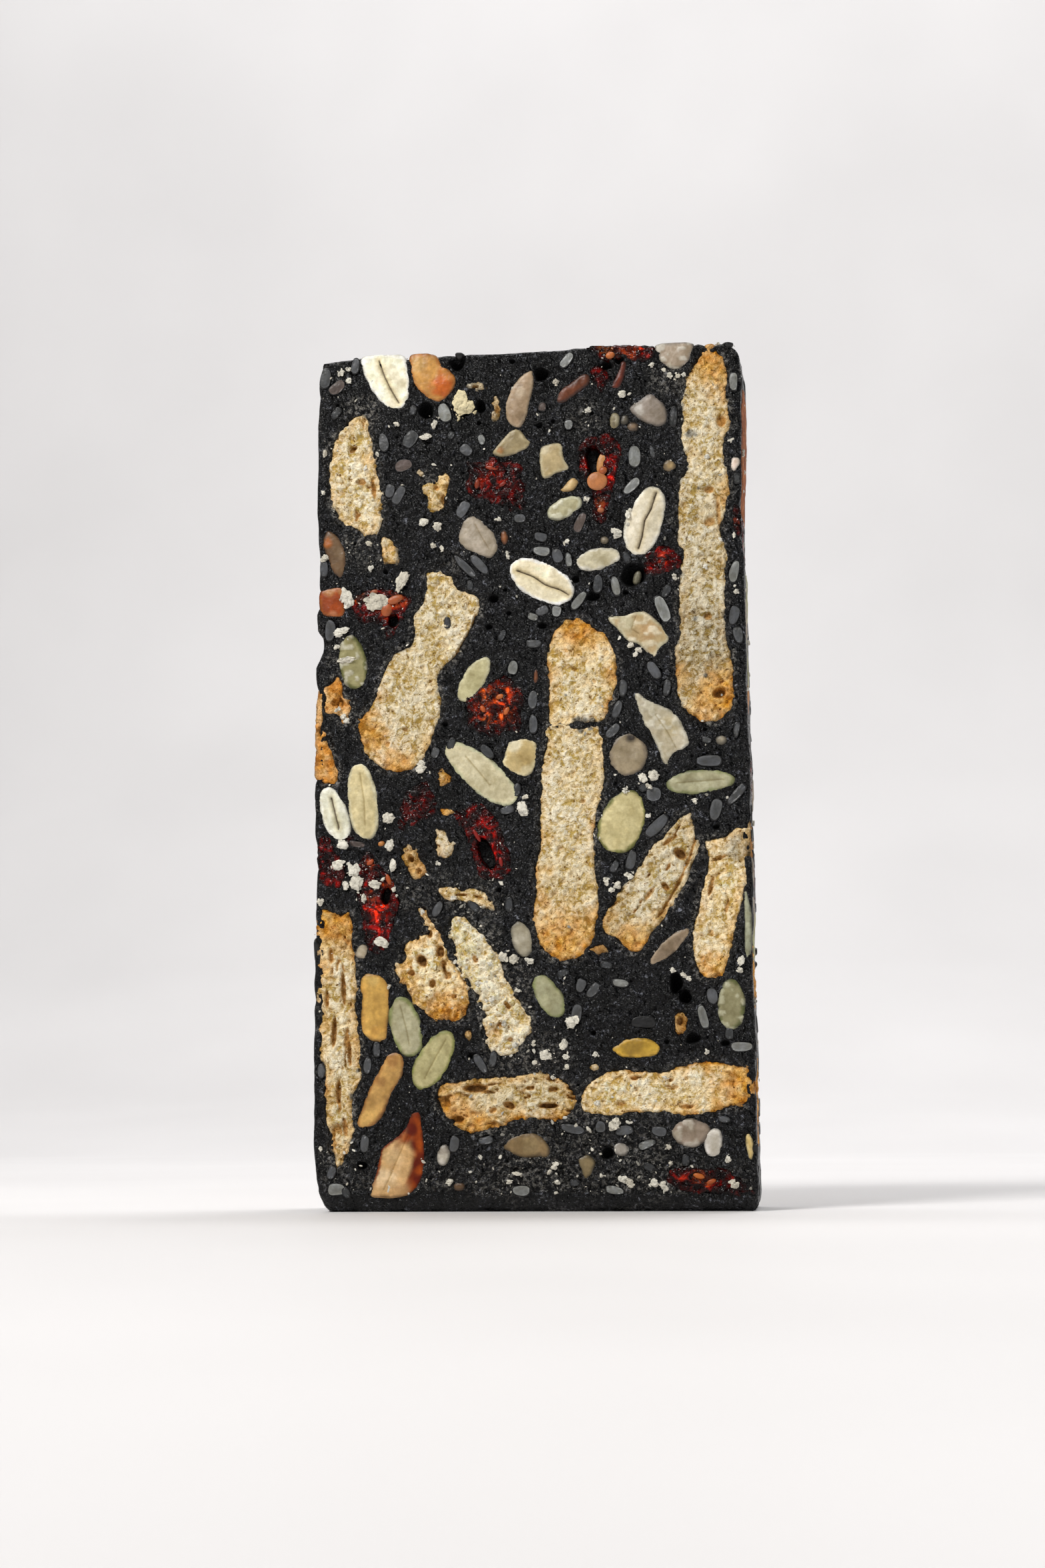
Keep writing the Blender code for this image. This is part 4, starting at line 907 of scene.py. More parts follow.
# middle, (length, width), angle, face colour, rim colour, cracks
PUMPKINS = {
    "pumpkin_seed_01": dict(line=[(-26.2, 130.3), (-25.2, 126), (-24, 124), (-22.5, 122.3), (-20.8, 121.7), (-19.3, 122.5), (-18.6, 125), (-18.9, 128), (-19.8, 130.4)], face=srgb(250, 243, 218), rim=srgb(250, 250, 248), cracks=[[(-23.5, 129.6), (-22.6, 127), (-21.6, 124.9), (-20.4, 122.8)]], deep=True),
    "pumpkin_seed_02": dict(line=[(19.9, 107.5), (20.4, 105.5), (19.9, 102), (18.8, 99.5), (17.2, 97.8), (15.6, 97.7), (14.4, 98.8), (13.9, 100.5), (14.2, 103), (15.3, 105.5), (16.5, 107.3), (18.3, 108.2)], face=srgb(221, 212, 190), rim=srgb(231, 227, 214), cracks=[[(19.0, 107.2), (18.2, 104.8), (17.2, 103.0), (16.8, 100.6), (16.2, 98.7)]]),
    "pumpkin_seed_03": dict(at=(-27.6, 82.5), size=(8.6, 4.4), angle=98, face=srgb(146, 140, 98), rim=srgb(84, 88, 34), chips=srgb(199, 195, 176)),
    "pumpkin_seed_04": dict(at=(-8.9, 79.4), size=(7.8, 3.6), angle=58, face=srgb(191, 184, 142), rim=srgb(208, 203, 167)),
    "pumpkin_seed_05": dict(at=(-8.0, 65.0), size=(13.8, 5.3), angle=139, face=srgb(204, 195, 163), rim=srgb(194, 195, 161), cracks=[[(-10.2, 67.6), (-8.2, 65.2), (-6.6, 63.2)]], fine_crack=True),
    "pumpkin_seed_06": dict(at=(1.4, 94.2), size=(10.8, 5.9), angle=151, face=srgb(241, 231, 203), rim=srgb(250, 250, 250), cracks=[[(-2.2, 95.9), (0.2, 94.9), (2.0, 93.6), (4.4, 92.7), (5.6, 91.9)]]),
    "pumpkin_seed_07": dict(at=(10.1, 97.3), size=(6.9, 3.5), angle=10, face=srgb(194, 186, 159), rim=srgb(216, 212, 200)),
    "pumpkin_seed_08": dict(at=(-26.0, 61.2), size=(12.0, 4.8), angle=97, face=srgb(208, 194, 150), rim=srgb(214, 208, 179), cracks=[[(-26.4, 65.5), (-25.8, 61.5), (-25.6, 57.5)]], fine_crack=True),
    "pumpkin_seed_09": dict(at=(-30.3, 59.3), size=(8.8, 4.1), angle=109, face=srgb(226, 225, 206), rim=srgb(250, 249, 238), cracks=[[(-30.8, 61.8), (-30.2, 59.3), (-29.6, 57.0)]]),
    "pumpkin_seed_10": dict(at=(13.3, 57.3), size=(9.8, 6.8), angle=68, face=srgb(198, 186, 138), rim=srgb(100, 104, 34), taper=0.1),
    "pumpkin_seed_11": dict(at=(25.0, 63.0), size=(10.4, 3.7), angle=4, face=srgb(173, 170, 140), rim=srgb(126, 132, 84), cracks=[[(21.5, 62.9), (25, 63.1), (28.4, 63.3)]], fine_crack=True),
    "pumpkin_seed_12": dict(at=(-19.5, 27.3), size=(9.2, 4.8), angle=104, face=srgb(176, 171, 140), rim=srgb(126, 134, 78), cracks=[[(-20.2, 30.2), (-19.4, 27.2), (-18.9, 24.6)]], fine_crack=True),
    "pumpkin_seed_13": dict(at=(-15.2, 22.3), size=(9.8, 4.9), angle=59, face=srgb(180, 172, 126), rim=srgb(128, 132, 66), cracks=[[(-13.4, 25.3), (-15.0, 22.6), (-16.6, 19.6)]], fine_crack=True),
    "pumpkin_seed_14": dict(at=(2.0, 31.5), size=(7.2, 3.9), angle=120, face=srgb(158, 156, 124), rim=srgb(132, 138, 88)),
    "pumpkin_seed_15": dict(at=(29.0, 30.0), size=(7.4, 4.1), angle=88, face=srgb(139, 134, 100), rim=srgb(88, 94, 46), chips=srgb(190, 188, 160)),
}

# outline, face colour, second colour with where it is, rim colour
NUTS = {
    "nut_orange_top": dict(line=[(-18.6, 130.4), (-18.6, 127.5), (-18, 125.5), (-16.5, 123.8), (-14.5, 122.7), (-13, 123.3), (-12, 124.6), (-11.5, 126), (-12, 127.2), (-13.5, 128.5), (-14.8, 130.2)], face=srgb(190, 139, 70), rim=srgb(175, 112, 49), spots=[(-13.2, 125.3, 2.6, srgb(189, 90, 17), 0.95), (-17.6, 129, 2.0, srgb(202, 162, 100), 0.8), (-12.6, 127.0, 1.2, srgb(201, 138, 61), 0.6)], deep=True, ridges=0.5),
    "nut_left_edge": dict(line=[(-31.6, 103), (-30.2, 102.5), (-28.7, 100), (-28.7, 97), (-29.5, 95.6), (-30.8, 96.8), (-31.4, 98.5), (-32.2, 101)], face=srgb(107, 83, 58), rim=srgb(96, 69, 44), spots=[(-31.6, 101.2, 1.0, srgb(172, 96, 28), 0.95), (-29.4, 99.6, 1.2, srgb(128, 106, 79), 0.6)], deep=True),
    "nut_grey_mid": dict(line=[(-10.2, 104.2), (-8.8, 104.7), (-7.2, 103.5), (-5.5, 101.5), (-5.1, 99.3), (-6.3, 98), (-8.3, 98.5), (-10.5, 99.7), (-11.4, 100.8), (-10.9, 102.8)], face=srgb(162, 151, 135), rim=srgb(142, 131, 116), cracks=[[(-8.6, 103.2), (-7.6, 101.2), (-6.4, 99.2)]], fine_crack=True),
    "nut_grey_top_edge": dict(line=[(19.3, 130.3), (19.8, 128), (20.8, 126.9), (22.2, 126.3), (23.8, 126.9), (24.8, 128.5), (24.9, 130.3)], face=srgb(164, 148, 130), rim=srgb(138, 128, 117), chips=srgb(200, 194, 182), deep=True),
    "nut_grey_right": dict(line=[(15.1, 120.5), (16.5, 121.8), (18.2, 122.8), (19.5, 122), (20.7, 120.3), (20.7, 118.3), (19.5, 117.5), (17.5, 118.2), (15.8, 119.4)], face=srgb(142, 131, 121), rim=srgb(117, 108, 101), spots=[(16.4, 120.2, 1.2, srgb(189, 184, 176), 0.75)]),
    "nut_square_left": dict(line=[(-32.6, 93.6), (-31, 94.2), (-29, 94), (-28.7, 91), (-29.2, 89.6), (-32.2, 90), (-32.7, 91)], face=srgb(146, 60, 4), rim=srgb(160, 84, 20), spots=[(-31, 93.9, 1.3, srgb(186, 134, 80), 0.9), (-29.2, 93.7, 0.9, srgb(186, 134, 80), 0.8), (-30.6, 90.0, 0.8, srgb(175, 120, 85), 0.7)], deep=True),
    "nut_round": dict(line=[(11.3, 67.5), (12, 69.3), (13.6, 70.5), (15.3, 70.4), (16.8, 69), (17.2, 67.2), (16.5, 65.3), (15, 64.2), (13.5, 64), (12, 65.2)], face=srgb(145, 131, 106), rim=srgb(123, 110, 93), spots=[(14.8, 70.0, 1.0, srgb(36, 27, 22), 0.95), (15.3, 67.5, 1.0, srgb(167, 155, 133), 0.5)]),
    "nut_grey_small": dict(line=[(-3.7, 41.5), (-2.5, 42.7), (-1, 42), (-0.3, 40), (-0.5, 38), (-1.5, 37.2), (-3, 38.5)], face=srgb(161, 154, 136), rim=srgb(140, 134, 118)),
    "nut_tan_block": dict(line=[(-26.2, 34.5), (-25, 35.2), (-23, 34.8), (-22, 33), (-21.9, 30), (-22.2, 27), (-22.3, 25.3), (-24.3, 25.1), (-25.9, 26.3), (-26.2, 28.5), (-26.1, 31)], face=srgb(207, 163, 81), rim=srgb(193, 144, 67), spots=[(-24.4, 34.4, 1.2, srgb(224, 192, 117), 0.6), (-24, 26.4, 1.0, srgb(197, 142, 63), 0.5)]),
    "nut_brown_bar": dict(line=[(-22.3, 23.2), (-20.5, 23.5), (-19.7, 22.3), (-20, 20), (-21, 18), (-22, 16), (-23, 14), (-24, 12.8), (-26, 12.2), (-26.9, 13), (-26.2, 15), (-25.2, 17.5), (-24.3, 19.5), (-23.3, 21.5)], face=srgb(189, 147, 82), rim=srgb(153, 102, 46), spots=[(-25, 14, 1.8, srgb(218, 174, 97), 0.6), (-21.2, 22.2, 1.2, srgb(153, 100, 46), 0.6), (-23, 19, 0.9, srgb(128, 77, 31), 0.5)], ridges=0.5),
    "nut_beige_low": dict(line=[(-4.9, 9.5), (-3.5, 11), (-1.5, 11.5), (0.5, 11), (1.8, 9.5), (1.8, 8), (0, 7.9), (-2, 7.8), (-3.8, 8.5)], face=srgb(135, 111, 73), rim=srgb(113, 93, 63), spots=[(-0.8, 9.4, 1.6, srgb(153, 133, 94), 0.6)]),
    "nut_amber": dict(line=[(11.2, 23.5), (12.5, 24.6), (14.5, 25.3), (16.8, 25), (18.3, 24), (18.1, 22.9), (16, 22.2), (13.5, 22.3), (12, 22.8)], face=srgb(191, 153, 52), rim=srgb(213, 170, 61), spots=[(14.4, 23.6, 1.6, srgb(139, 108, 37), 0.5)]),
    "nut_grey_low": dict(line=[(19.8, 12), (21, 13.2), (23, 13.4), (25, 12.8), (25.6, 11.5), (24.6, 10), (23, 9.2), (21, 9.7), (20, 10.8)], face=srgb(146, 130, 114), rim=srgb(123, 109, 96), chips=srgb(188, 179, 167), ridges=0.4),
    "sunflower_seed_top": dict(line=[(0.3, 127), (0.4, 124.5), (-0.3, 121.5), (-1, 119), (-2.2, 118.2), (-3.5, 119), (-4, 121), (-3.5, 123.5), (-2.3, 125.5), (-0.8, 126.8)], face=srgb(159, 136, 110), rim=srgb(175, 154, 128), spots=[(-1.6, 123.6, 1.0, srgb(196, 179, 157), 0.7), (-1.0, 119.6, 1.0, srgb(142, 122, 101), 0.5)], dome=0.30),
    "nut_cream_block": dict(line=[(-4.4, 67.5), (-3.8, 69.5), (-2.5, 70.2), (0, 70), (0.6, 68.5), (0.3, 66), (-0.8, 64.4), (-2.5, 64.6), (-4, 65.5), (-4.8, 66.3)], face=srgb(191, 169, 118), rim=srgb(216, 203, 163), spots=[(-3, 69.4, 1.3, srgb(228, 220, 192), 0.7), (-1, 65.2, 1.0, srgb(226, 216, 185), 0.6), (-1.2, 67.4, 1.4, srgb(182, 156, 101), 0.6)]),
    "nut_cream_wedge": dict(line=[(11.5, 88.2), (14.5, 88.7), (16.5, 89.1), (18, 88.3), (19.8, 86.5), (20.7, 84.5), (19.5, 83.5), (18.4, 82), (17.3, 82.7), (16, 84), (14.5, 84.5), (13, 86.3)], face=srgb(184, 160, 118), rim=srgb(204, 197, 167), spots=[(17.8, 86.0, 1.8, srgb(184, 148, 102), 0.7), (14.2, 87.2, 1.6, srgb(210, 204, 175), 0.8), (19.4, 84.6, 1.0, srgb(203, 182, 142), 0.5)], cracks=[[(15.6, 88.2), (15.0, 86.4), (16.2, 85.6)]], fine_crack=True, chips=srgb(226, 214, 186)),
    "nut_pale_wedge": dict(line=[(15.3, 77), (17, 75.8), (19.5, 74.5), (21.5, 73.3), (22.8, 71), (23.5, 68.8), (21.5, 67.5), (20.5, 66.5), (20, 65.3), (19.3, 66.5), (18.6, 68.5), (17.5, 70.5), (16.3, 72.8), (15.6, 75)], face=srgb(185, 175, 151), rim=srgb(199, 194, 176), spots=[(20.6, 71.4, 1.8, srgb(194, 179, 141), 0.7), (17, 74.6, 1.2, srgb(165, 158, 145), 0.5)], cracks=[[(21.4, 68.2), (20.2, 70.6), (18.4, 73.2)]], fine_crack=True, chips=srgb(214, 208, 190)),
}

ALMONDS = {
    "almond": dict(line=[(-17.3, 14.5), (-17, 12), (-16.6, 9), (-16.7, 6), (-17.5, 4), (-19, 2.6), (-21, 2.2), (-23, 2.2), (-24.6, 2.5), (-24.5, 4), (-23.8, 6.3), (-23.5, 8), (-23, 9.5), (-21.5, 10.8), (-19.8, 12), (-18.8, 13.8), (-18, 14.8)], face=srgb(212, 172, 120), rim=srgb(104, 30, 6), skin=True, cracks=[[(-19.2, 11.0), (-20.6, 8.0), (-21.8, 5.2), (-22.8, 3.2)]], fine_crack=True, spots=[(-22.4, 4.6, 2.4, srgb(232, 204, 164), 0.95), (-21.4, 8.0, 1.7, srgb(224, 192, 146), 0.75)]),
}


def kernel_look(p, depth_in, spec, seed):
    p3 = np.column_stack([p, np.full(len(p), 2.3)])
    reach = max(depth_in.max(), 0.5)
    t = np.clip(depth_in / reach, 0, 1)
    h = spec.get("dome", 0.16) * (1 - (1 - t) ** 2) + 0.07 * fbm(p3, 2.4, 2, seed + 1) + 0.035 * noise(p3, 0.6, seed + 2)
    h = h - 0.16 * (1 - smooth(0, 0.28, depth_in)) + 0.02
    if spec.get("ridges"):
        h = h + 0.10 * spec["ridges"] * noise(p3 * [1, 0.35, 1], 0.6, seed + 4)
    colour = mix(spec["face"], spec["face"] * [1.16, 1.16, 1.18], np.clip(0.5 + 0.8 * noise(p3, 2.0, seed + 5), 0, 1))
    colour = mix(colour, spec["face"] * [0.80, 0.77, 0.70], np.clip(0.9 * noise(p3, 1.3, seed + 6), 0, 1))
    for x, z, r, c, strength in spec.get("spots", []):
        d = np.hypot(p[:, 0] - x - SHIFT, p[:, 1] - z) + 0.35 * r * noise(p3, 0.9, seed + 7)
        colour = mix(colour, c, strength * smooth(r * 1.15, r * 0.45, d))
    rim = smooth(0.66, 0.24, depth_in + 0.30 * noise(p3, 1.0, seed + 8) + 0.10 * noise(p3, 0.4, seed + 18))
    colour = mix(colour, spec["rim"], rim * 0.9)
    if spec.get("skin"):
        wide = smooth(2.2, 1.3, depth_in + 0.6 * noise(p3, 1.4, seed + 9)) * smooth(-21.3, -18.9, p[:, 0] - 0.18 * (p[:, 1] - 8))
        thin = smooth(0.55, 0.3, depth_in + 0.15 * noise(p3, 0.7, seed + 10)) * smooth(3.2, 6.0, p[:, 1])
        skin = np.clip(np.maximum(wide, thin), 0, 1) ** 0.6
        colour = mix(colour, mix(srgb(96, 22, 2), srgb(170, 76, 16), np.clip(noise(p3, 1.2, seed + 11) + 0.1, 0, 1)), skin)
        open_end = smooth(5.4, 3.0, p[:, 1]) * smooth(-17.6, -19.4, p[:, 0])
        colour = mix(colour, spec["face"] * 1.08, open_end * 0.8)
    chips = spec.get("chips")
    flake = smooth(0.36, 0.6, noise(p3, 0.8, seed + 12) + 0.35 * (1 - t))
    if chips is not None:
        colour = mix(colour, chips, flake * 0.85)
        h = h + 0.10 * flake
    else:
        colour = mix(colour, colour * 1.22, flake * 0.6)
        h = h + 0.03 * flake
    h = h + 0.05 * smooth(0.1, 0.5, noise(p3, 1.9, seed + 13))
    for line in spec.get("cracks", []):
        d = segment_distance(p, np.array(line) + [SHIFT, 0]) + 0.05 * noise(p3, 0.5, seed + 14)
        # cracks darkened, and the face beside a wide crack too: painted shade in and beside the crack
        if spec.get("fine_crack"):
            cut = smooth(0.22, 0.03, d)
            h = h - 0.14 * cut
            colour = mix(colour, colour * [0.62, 0.56, 0.42], cut * 0.85)
        else:
            cut = smooth(0.26, 0.03, d)
            h = h - 0.55 * cut
            colour = mix(colour, srgb(74, 52, 22), cut)
            colour = mix(colour, colour * [0.86, 0.80, 0.66], smooth(0.9, 0.25, d) * (1 - cut) * 0.8)
    # painted shade along the rim, where the face rounds down into the nougat
    edge = smooth(0.30, 0.02, depth_in + 0.14 * noise(p3, 0.6, seed + 15) + 0.10 * noise(p3, 0.3, seed + 16))
    colour = mix(colour, colour * 0.30 + srgb(30, 28, 26) * 0.5, edge * 0.85)
    return h, colour


def crack_points(spec):
    found = []
    for line in spec.get("cracks", []):
        pts = np.array(line, float) + [SHIFT, 0]
        for a, b in zip(pts[:-1], pts[1:]):
            n = max(2, int(np.linalg.norm(b - a) / 0.18))
            t = np.linspace(0, 1, n, endpoint=False)[:, None]
            mid = a * (1 - t) + b * t
            side = np.array([-(b - a)[1], (b - a)[0]]) / np.linalg.norm(b - a)
            found += [mid, mid + side * 0.2, mid - side * 0.2]
    return np.vstack(found) if found else None


def kernel_rows(deep, size=5.0):
    if deep:
        return [(-0.3, 1.0), (-1.0, 1.0), (-2.0, 1.0), (-3.2, 0.97), (-4.4, 0.88), (-5.2, 0.70), (-5.6, 0.42)]
    low = -0.42 * size
    return [(-0.25, 1.02), (0.3 * low, 1.0), (0.7 * low, 0.82), (0.95 * low, 0.5)]


def kernel_line(spec, step, seed):
    rough = spec.get("edge", 0.07)
    if "line" in spec:
        return outline_of(spec["line"], step, rough, seed)
    (x, z), (length, width) = spec["at"], spec["size"]
    return oval(x + SHIFT, z, length, width, spec["angle"], step, rough, seed, 2.15, spec.get("taper", 0.06))


def paint_rows(points, inside, look, n_face):
    """Colours of the whole body: the face by look, the walls as the face's edge, a tenth darker as painted shade."""
    colour = np.zeros((len(points), 3))
    face = np.arange(n_face)
    colour[face] = look(points[face, :2], np.maximum(inside[face], 0))[1]
    wall = np.arange(n_face, len(points))
    if len(wall):
        colour[wall] = look(points[wall, :2], np.full(len(wall), 0.5))[1] * 0.9
    return colour


def face_points(points, inside):
    """The first points of a body, which are those of its cut face."""
    wall = np.nonzero(inside < -0.5)[0]
    return int(wall[0]) if len(wall) else len(points)


def make_kernel(name, spec, material, seed, step=0.24, h=0.28):
    loop = kernel_line(spec, step, seed)
    loop[:, 0] = np.clip(loop[:, 0], -32.9, 32.9)
    size = min(np.ptp(loop[:, 0]), np.ptp(loop[:, 1]))

    def look(p, d):
        return kernel_look(p, d, spec, seed)

    points, faces, inside, _ = body(loop, h, lambda p, d: look(p, d)[0], kernel_rows(spec.get("deep"), size), seed, extra=crack_points(spec))
    colour = paint_rows(points, inside, look, face_points(points, inside))
    world = to_world("front", points[:, 0], points[:, 1], points[:, 2])
    make_object(name + "_look", world, faces, material, tint=colour, replaces=[name])
    INLAYS.append(loop)
    if spec.get("deep"):
        DEEP_LOOPS.append(loop)


for k, (name, spec) in enumerate(PUMPKINS.items()):
    make_kernel(name, spec, PUMPKIN, 500 + 13 * k)
for k, (name, spec) in enumerate(NUTS.items()):
    make_kernel(name, spec, NUT, 800 + 13 * k)
for k, (name, spec) in enumerate(ALMONDS.items()):
    make_kernel(name, spec, ALMOND, 1200 + 13 * k)


# ---------------------------------------------------------------- dried berries

DARK_RED, RED, BRIGHT, ORANGE = srgb(48, 4, 3), srgb(122, 8, 6), srgb(206, 30, 10), srgb(214, 90, 30)

# outline; bright: (x, z, reach, colour, strength); holes: (x, z, width, height, depth, tilt); lump: how rough
BERRIES = {
    "berry_top_mid": dict(line=[(-10, 113.3), (-8, 113.0), (-6, 113.8), (-4.4, 113.0), (-3, 113.3), (-1.2, 112), (-1.4, 110.4), (-0.8, 109), (-1.2, 107.6), (-0.9, 106.2), (-3, 105.2), (-4.4, 105.9), (-6, 106), (-7.2, 106.9), (-8.5, 107), (-9.4, 108.5), (-10.2, 109.6), (-9.6, 111.2)], bright=[(-6.0, 111.6, 1.5, srgb(150, 40, 10), 0.7), (-8.0, 110.0, 1.1, srgb(150, 40, 10), 0.7), (-4.6, 109.6, 1.4, srgb(150, 34, 14), 0.6), (-6.0, 109.6, 2.8, srgb(120, 12, 6), 0.4)], lump=1.3, rough=0.5),
    "berry_top_edge": dict(line=[(8.6, 130.2), (10, 130.5), (12, 130.5), (14, 130.4), (16, 130.5), (19.0, 130.2), (19, 128.8), (17.5, 127.9), (15.6, 128.0), (13.8, 128.8), (12.2, 128.1), (10.8, 128.6)], bright=[(15.4, 129.4, 1.8, srgb(196, 80, 26), 0.8), (11.6, 130.0, 1.0, srgb(214, 130, 50), 0.8), (17.8, 129.4, 1.2, BRIGHT, 0.6)], lump=1.2, deep=True, rough=0.3),
    "berry_hollow": dict(line=[(7.2, 113), (7.3, 115), (8.5, 116.4), (10, 116.5), (11.5, 117), (13, 116.2), (14, 114.5), (13.6, 112), (13.2, 110), (12.4, 107.5), (12, 105), (11.5, 103.3), (10.3, 102.8), (9.4, 104), (9.3, 107), (8.7, 109), (7.6, 110.5)], bright=[(12.4, 112.0, 1.4, srgb(214, 26, 12), 0.95), (11.9, 109.6, 1.1, srgb(196, 26, 14), 0.8), (8.4, 112.0, 0.9, BRIGHT, 0.6), (10.6, 105.0, 1.3, srgb(150, 30, 14), 0.6), (10.4, 106.2, 0.8, srgb(200, 120, 70), 0.5)], holes=[(9.6, 112.6, 2.3, 4.6, 2.6, 8), (10.6, 110.6, 1.6, 2.0, 1.6, 0)], lump=0.9, rough=0.25),
    "berry_left_upper": dict(line=[(-26.5, 93), (-24.5, 94.2), (-22.3, 93.8), (-20, 93), (-18.5, 92.5), (-19, 90.5), (-20, 88.5), (-21.2, 86.7), (-22.3, 85.5), (-23, 87.5), (-24.5, 88), (-26.5, 88.8), (-27.8, 90.5), (-27.5, 92.2)], bright=[(-22.6, 90.6, 1.6, srgb(190, 84, 36), 0.75), (-20.6, 91.8, 1.2, srgb(196, 96, 44), 0.75), (-26.4, 92.4, 0.9, srgb(196, 120, 50), 0.7), (-22.0, 92.9, 1.0, srgb(184, 70, 30), 0.6), (-20.3, 87.4, 0.8, BRIGHT, 0.4)], holes=[(-21.3, 88.8, 1.6, 2.0, 1.8, 0)], vivid=1.6, lump=1.1, rough=0.28),
    "berry_crumbly": dict(line=[(-10, 76.3), (-8, 78), (-5.5, 79.5), (-4, 79.8), (-2.5, 78.5), (-1.3, 76.8), (-1, 75.5), (-1.5, 73.5), (-2, 71.5), (-4.5, 71), (-6, 70.2), (-7.5, 71), (-9.7, 71.5), (-10, 74)], bright=[(-5.6, 75.2, 3.6, srgb(214, 66, 18), 0.95), (-6.8, 76.4, 1.6, srgb(226, 118, 44), 0.7), (-4.2, 73.8, 1.4, srgb(208, 110, 50), 0.7), (-7.0, 73.2, 1.0, srgb(190, 120, 60), 0.5), (-4.6, 77.2, 1.0, srgb(220, 96, 30), 0.6)], lump=1.5, crumbly=1.0, rough=0.35),
    "berry_small_right": dict(line=[(17.3, 98), (18.5, 98.6), (20.5, 99), (22, 98.3), (22.6, 97), (22, 95.5), (20.5, 95), (19, 94.1), (17.5, 94.8), (17.2, 96.3)], bright=[(19.8, 97.0, 1.2, srgb(150, 46, 20), 0.75), (18.0, 96.0, 0.8, srgb(170, 24, 16), 0.5)], vivid=1.6, lump=1.2, rough=0.35),
    "berry_small_left": dict(line=[(-19.8, 62.5), (-18, 63.5), (-16, 64), (-15.2, 62.5), (-14.5, 61), (-15, 59), (-16.5, 57.8), (-18.5, 57.3), (-20, 58.3), (-20.3, 60.5)], bright=[(-17.2, 59.4, 0.9, RED, 0.6), (-16.4, 61.8, 0.8, RED, 0.5)], holes=[(-17.6, 61.4, 1.6, 1.2, 0.6, 30)], vivid=1.6, lump=1.2, rough=0.3),
    "berry_split": dict(line=[(-12.3, 58.5), (-10.8, 60), (-8.5, 60.7), (-6.5, 59.5), (-5, 57), (-4.3, 54.5), (-3.4, 52.5), (-3.5, 50), (-5, 49), (-7, 48.7), (-8.5, 49.8), (-9.3, 52), (-10, 54.5), (-10.8, 56.5)], bright=[(-5.9, 53.4, 1.0, srgb(178, 22, 14), 0.8), (-6.6, 56.0, 1.0, srgb(140, 20, 12), 0.6), (-6.0, 50.0, 1.2, srgb(120, 14, 10), 0.5), (-9.4, 57.6, 1.2, srgb(86, 10, 8), 0.5)], holes=[(-7.2, 52.9, 2.0, 5.2, 2.6, 24)], vivid=1.6, lump=1.0, rough=0.25),
    "berry_edge_left": dict(line=[(-32.7, 56), (-31, 55.5), (-30, 53.5), (-28.8, 52), (-28.6, 50), (-29.5, 48), (-31.5, 48.2), (-32.7, 50), (-32.9, 53)], bright=[(-31.6, 49.6, 1.2, srgb(170, 30, 18), 0.7), (-31.8, 54.0, 0.9, RED, 0.6)], vivid=1.6, lump=1.2, deep=True, rough=0.25),
    "berry_long_left": dict(line=[(-26.5, 52.8), (-25, 53.5), (-23.7, 52.3), (-22.3, 50.5), (-21, 48), (-20.3, 45.5), (-21, 43.5), (-21.5, 41), (-22.5, 38.5), (-24, 37.5), (-25.5, 39.5), (-26.3, 42), (-26.3, 44.5), (-26.8, 47), (-27, 50)], bright=[(-23.6, 44.4, 1.9, srgb(224, 52, 20), 0.95), (-23.2, 41.2, 1.2, srgb(150, 26, 12), 0.6), (-22.0, 48.6, 1.0, srgb(204, 92, 34), 0.7), (-24.9, 51.6, 0.9, srgb(176, 80, 32), 0.6), (-24.6, 46.6, 0.9, srgb(226, 110, 46), 0.6)], holes=[(-22.4, 46.8, 1.3, 2.9, 1.9, -10)], vivid=1.6, lump=1.2, rough=0.28),
    "berry_bottom_right": dict(line=[(19, 4.8), (20, 6), (22, 6.6), (25, 6.3), (27.5, 6.3), (29.5, 5), (31.2, 3.7), (31.8, 2.6), (29, 2.2), (26, 2.5), (23, 2.5), (20.8, 3), (19.5, 3.8)], bright=[(23.6, 5.0, 1.0, srgb(196, 100, 34), 0.75), (25.2, 4.4, 0.8, srgb(206, 120, 50), 0.6), (21.4, 4.8, 0.8, srgb(150, 40, 18), 0.6), (28.4, 4.6, 1.0, srgb(120, 20, 10), 0.5)], vivid=1.6, lump=1.3, rough=0.3),
}

# pips in the berries: x, z, length, width, angle, colour
PIPS = [
    (10.1, 109.3, 3.1, 2.9, 0, srgb(222, 156, 104)), (10.8, 112.2, 3.6, 1.5, 78, srgb(226, 176, 118)),
    (11.0, 110.9, 1.4, 1.2, 40, srgb(206, 120, 70)), (10.6, 104.8, 1.1, 0.9, 0, srgb(190, 120, 84)),
    (-22.3, 90.4, 2.1, 1.7, 70, srgb(196, 110, 60)), (-21.0, 92.0, 2.6, 1.3, 20, srgb(190, 108, 62)),
    (-24.2, 93.3, 1.4, 0.7, 10, srgb(170, 96, 52)), (12.3, 128.9, 1.5, 1.1, 15, srgb(222, 136, 74)),
    (-6.0, 112.0, 2.0, 0.7, -10, srgb(170, 66, 24)), (-8.3, 109.6, 1.6, 0.8, 80, srgb(150, 60, 26)),
    (-4.4, 109.4, 1.3, 0.6, 30, srgb(150, 44, 20)), (23.8, 5.1, 1.7, 0.8, -15, srgb(208, 120, 44)),
    (25.6, 4.3, 1.5, 0.7, 20, srgb(200, 104, 40)), (-22.0, 49.2, 1.8, 0.7, 110, srgb(204, 104, 44)),
    (-24.8, 51.9, 1.3, 0.8, 40, srgb(190, 90, 40)), (-5.0, 76.6, 1.3, 0.8, 20, srgb(224, 130, 60)),
    (-7.6, 74.8, 1.2, 0.8, 120, srgb(214, 108, 46)), (-4.0, 74.4, 1.4, 0.8, 60, srgb(216, 122, 60)),
    (-8.6, 55.6, 2.2, 0.6, 120, srgb(150, 26, 14)), (-5.0, 51.6, 1.6, 0.6, 100, srgb(160, 30, 16)),
]


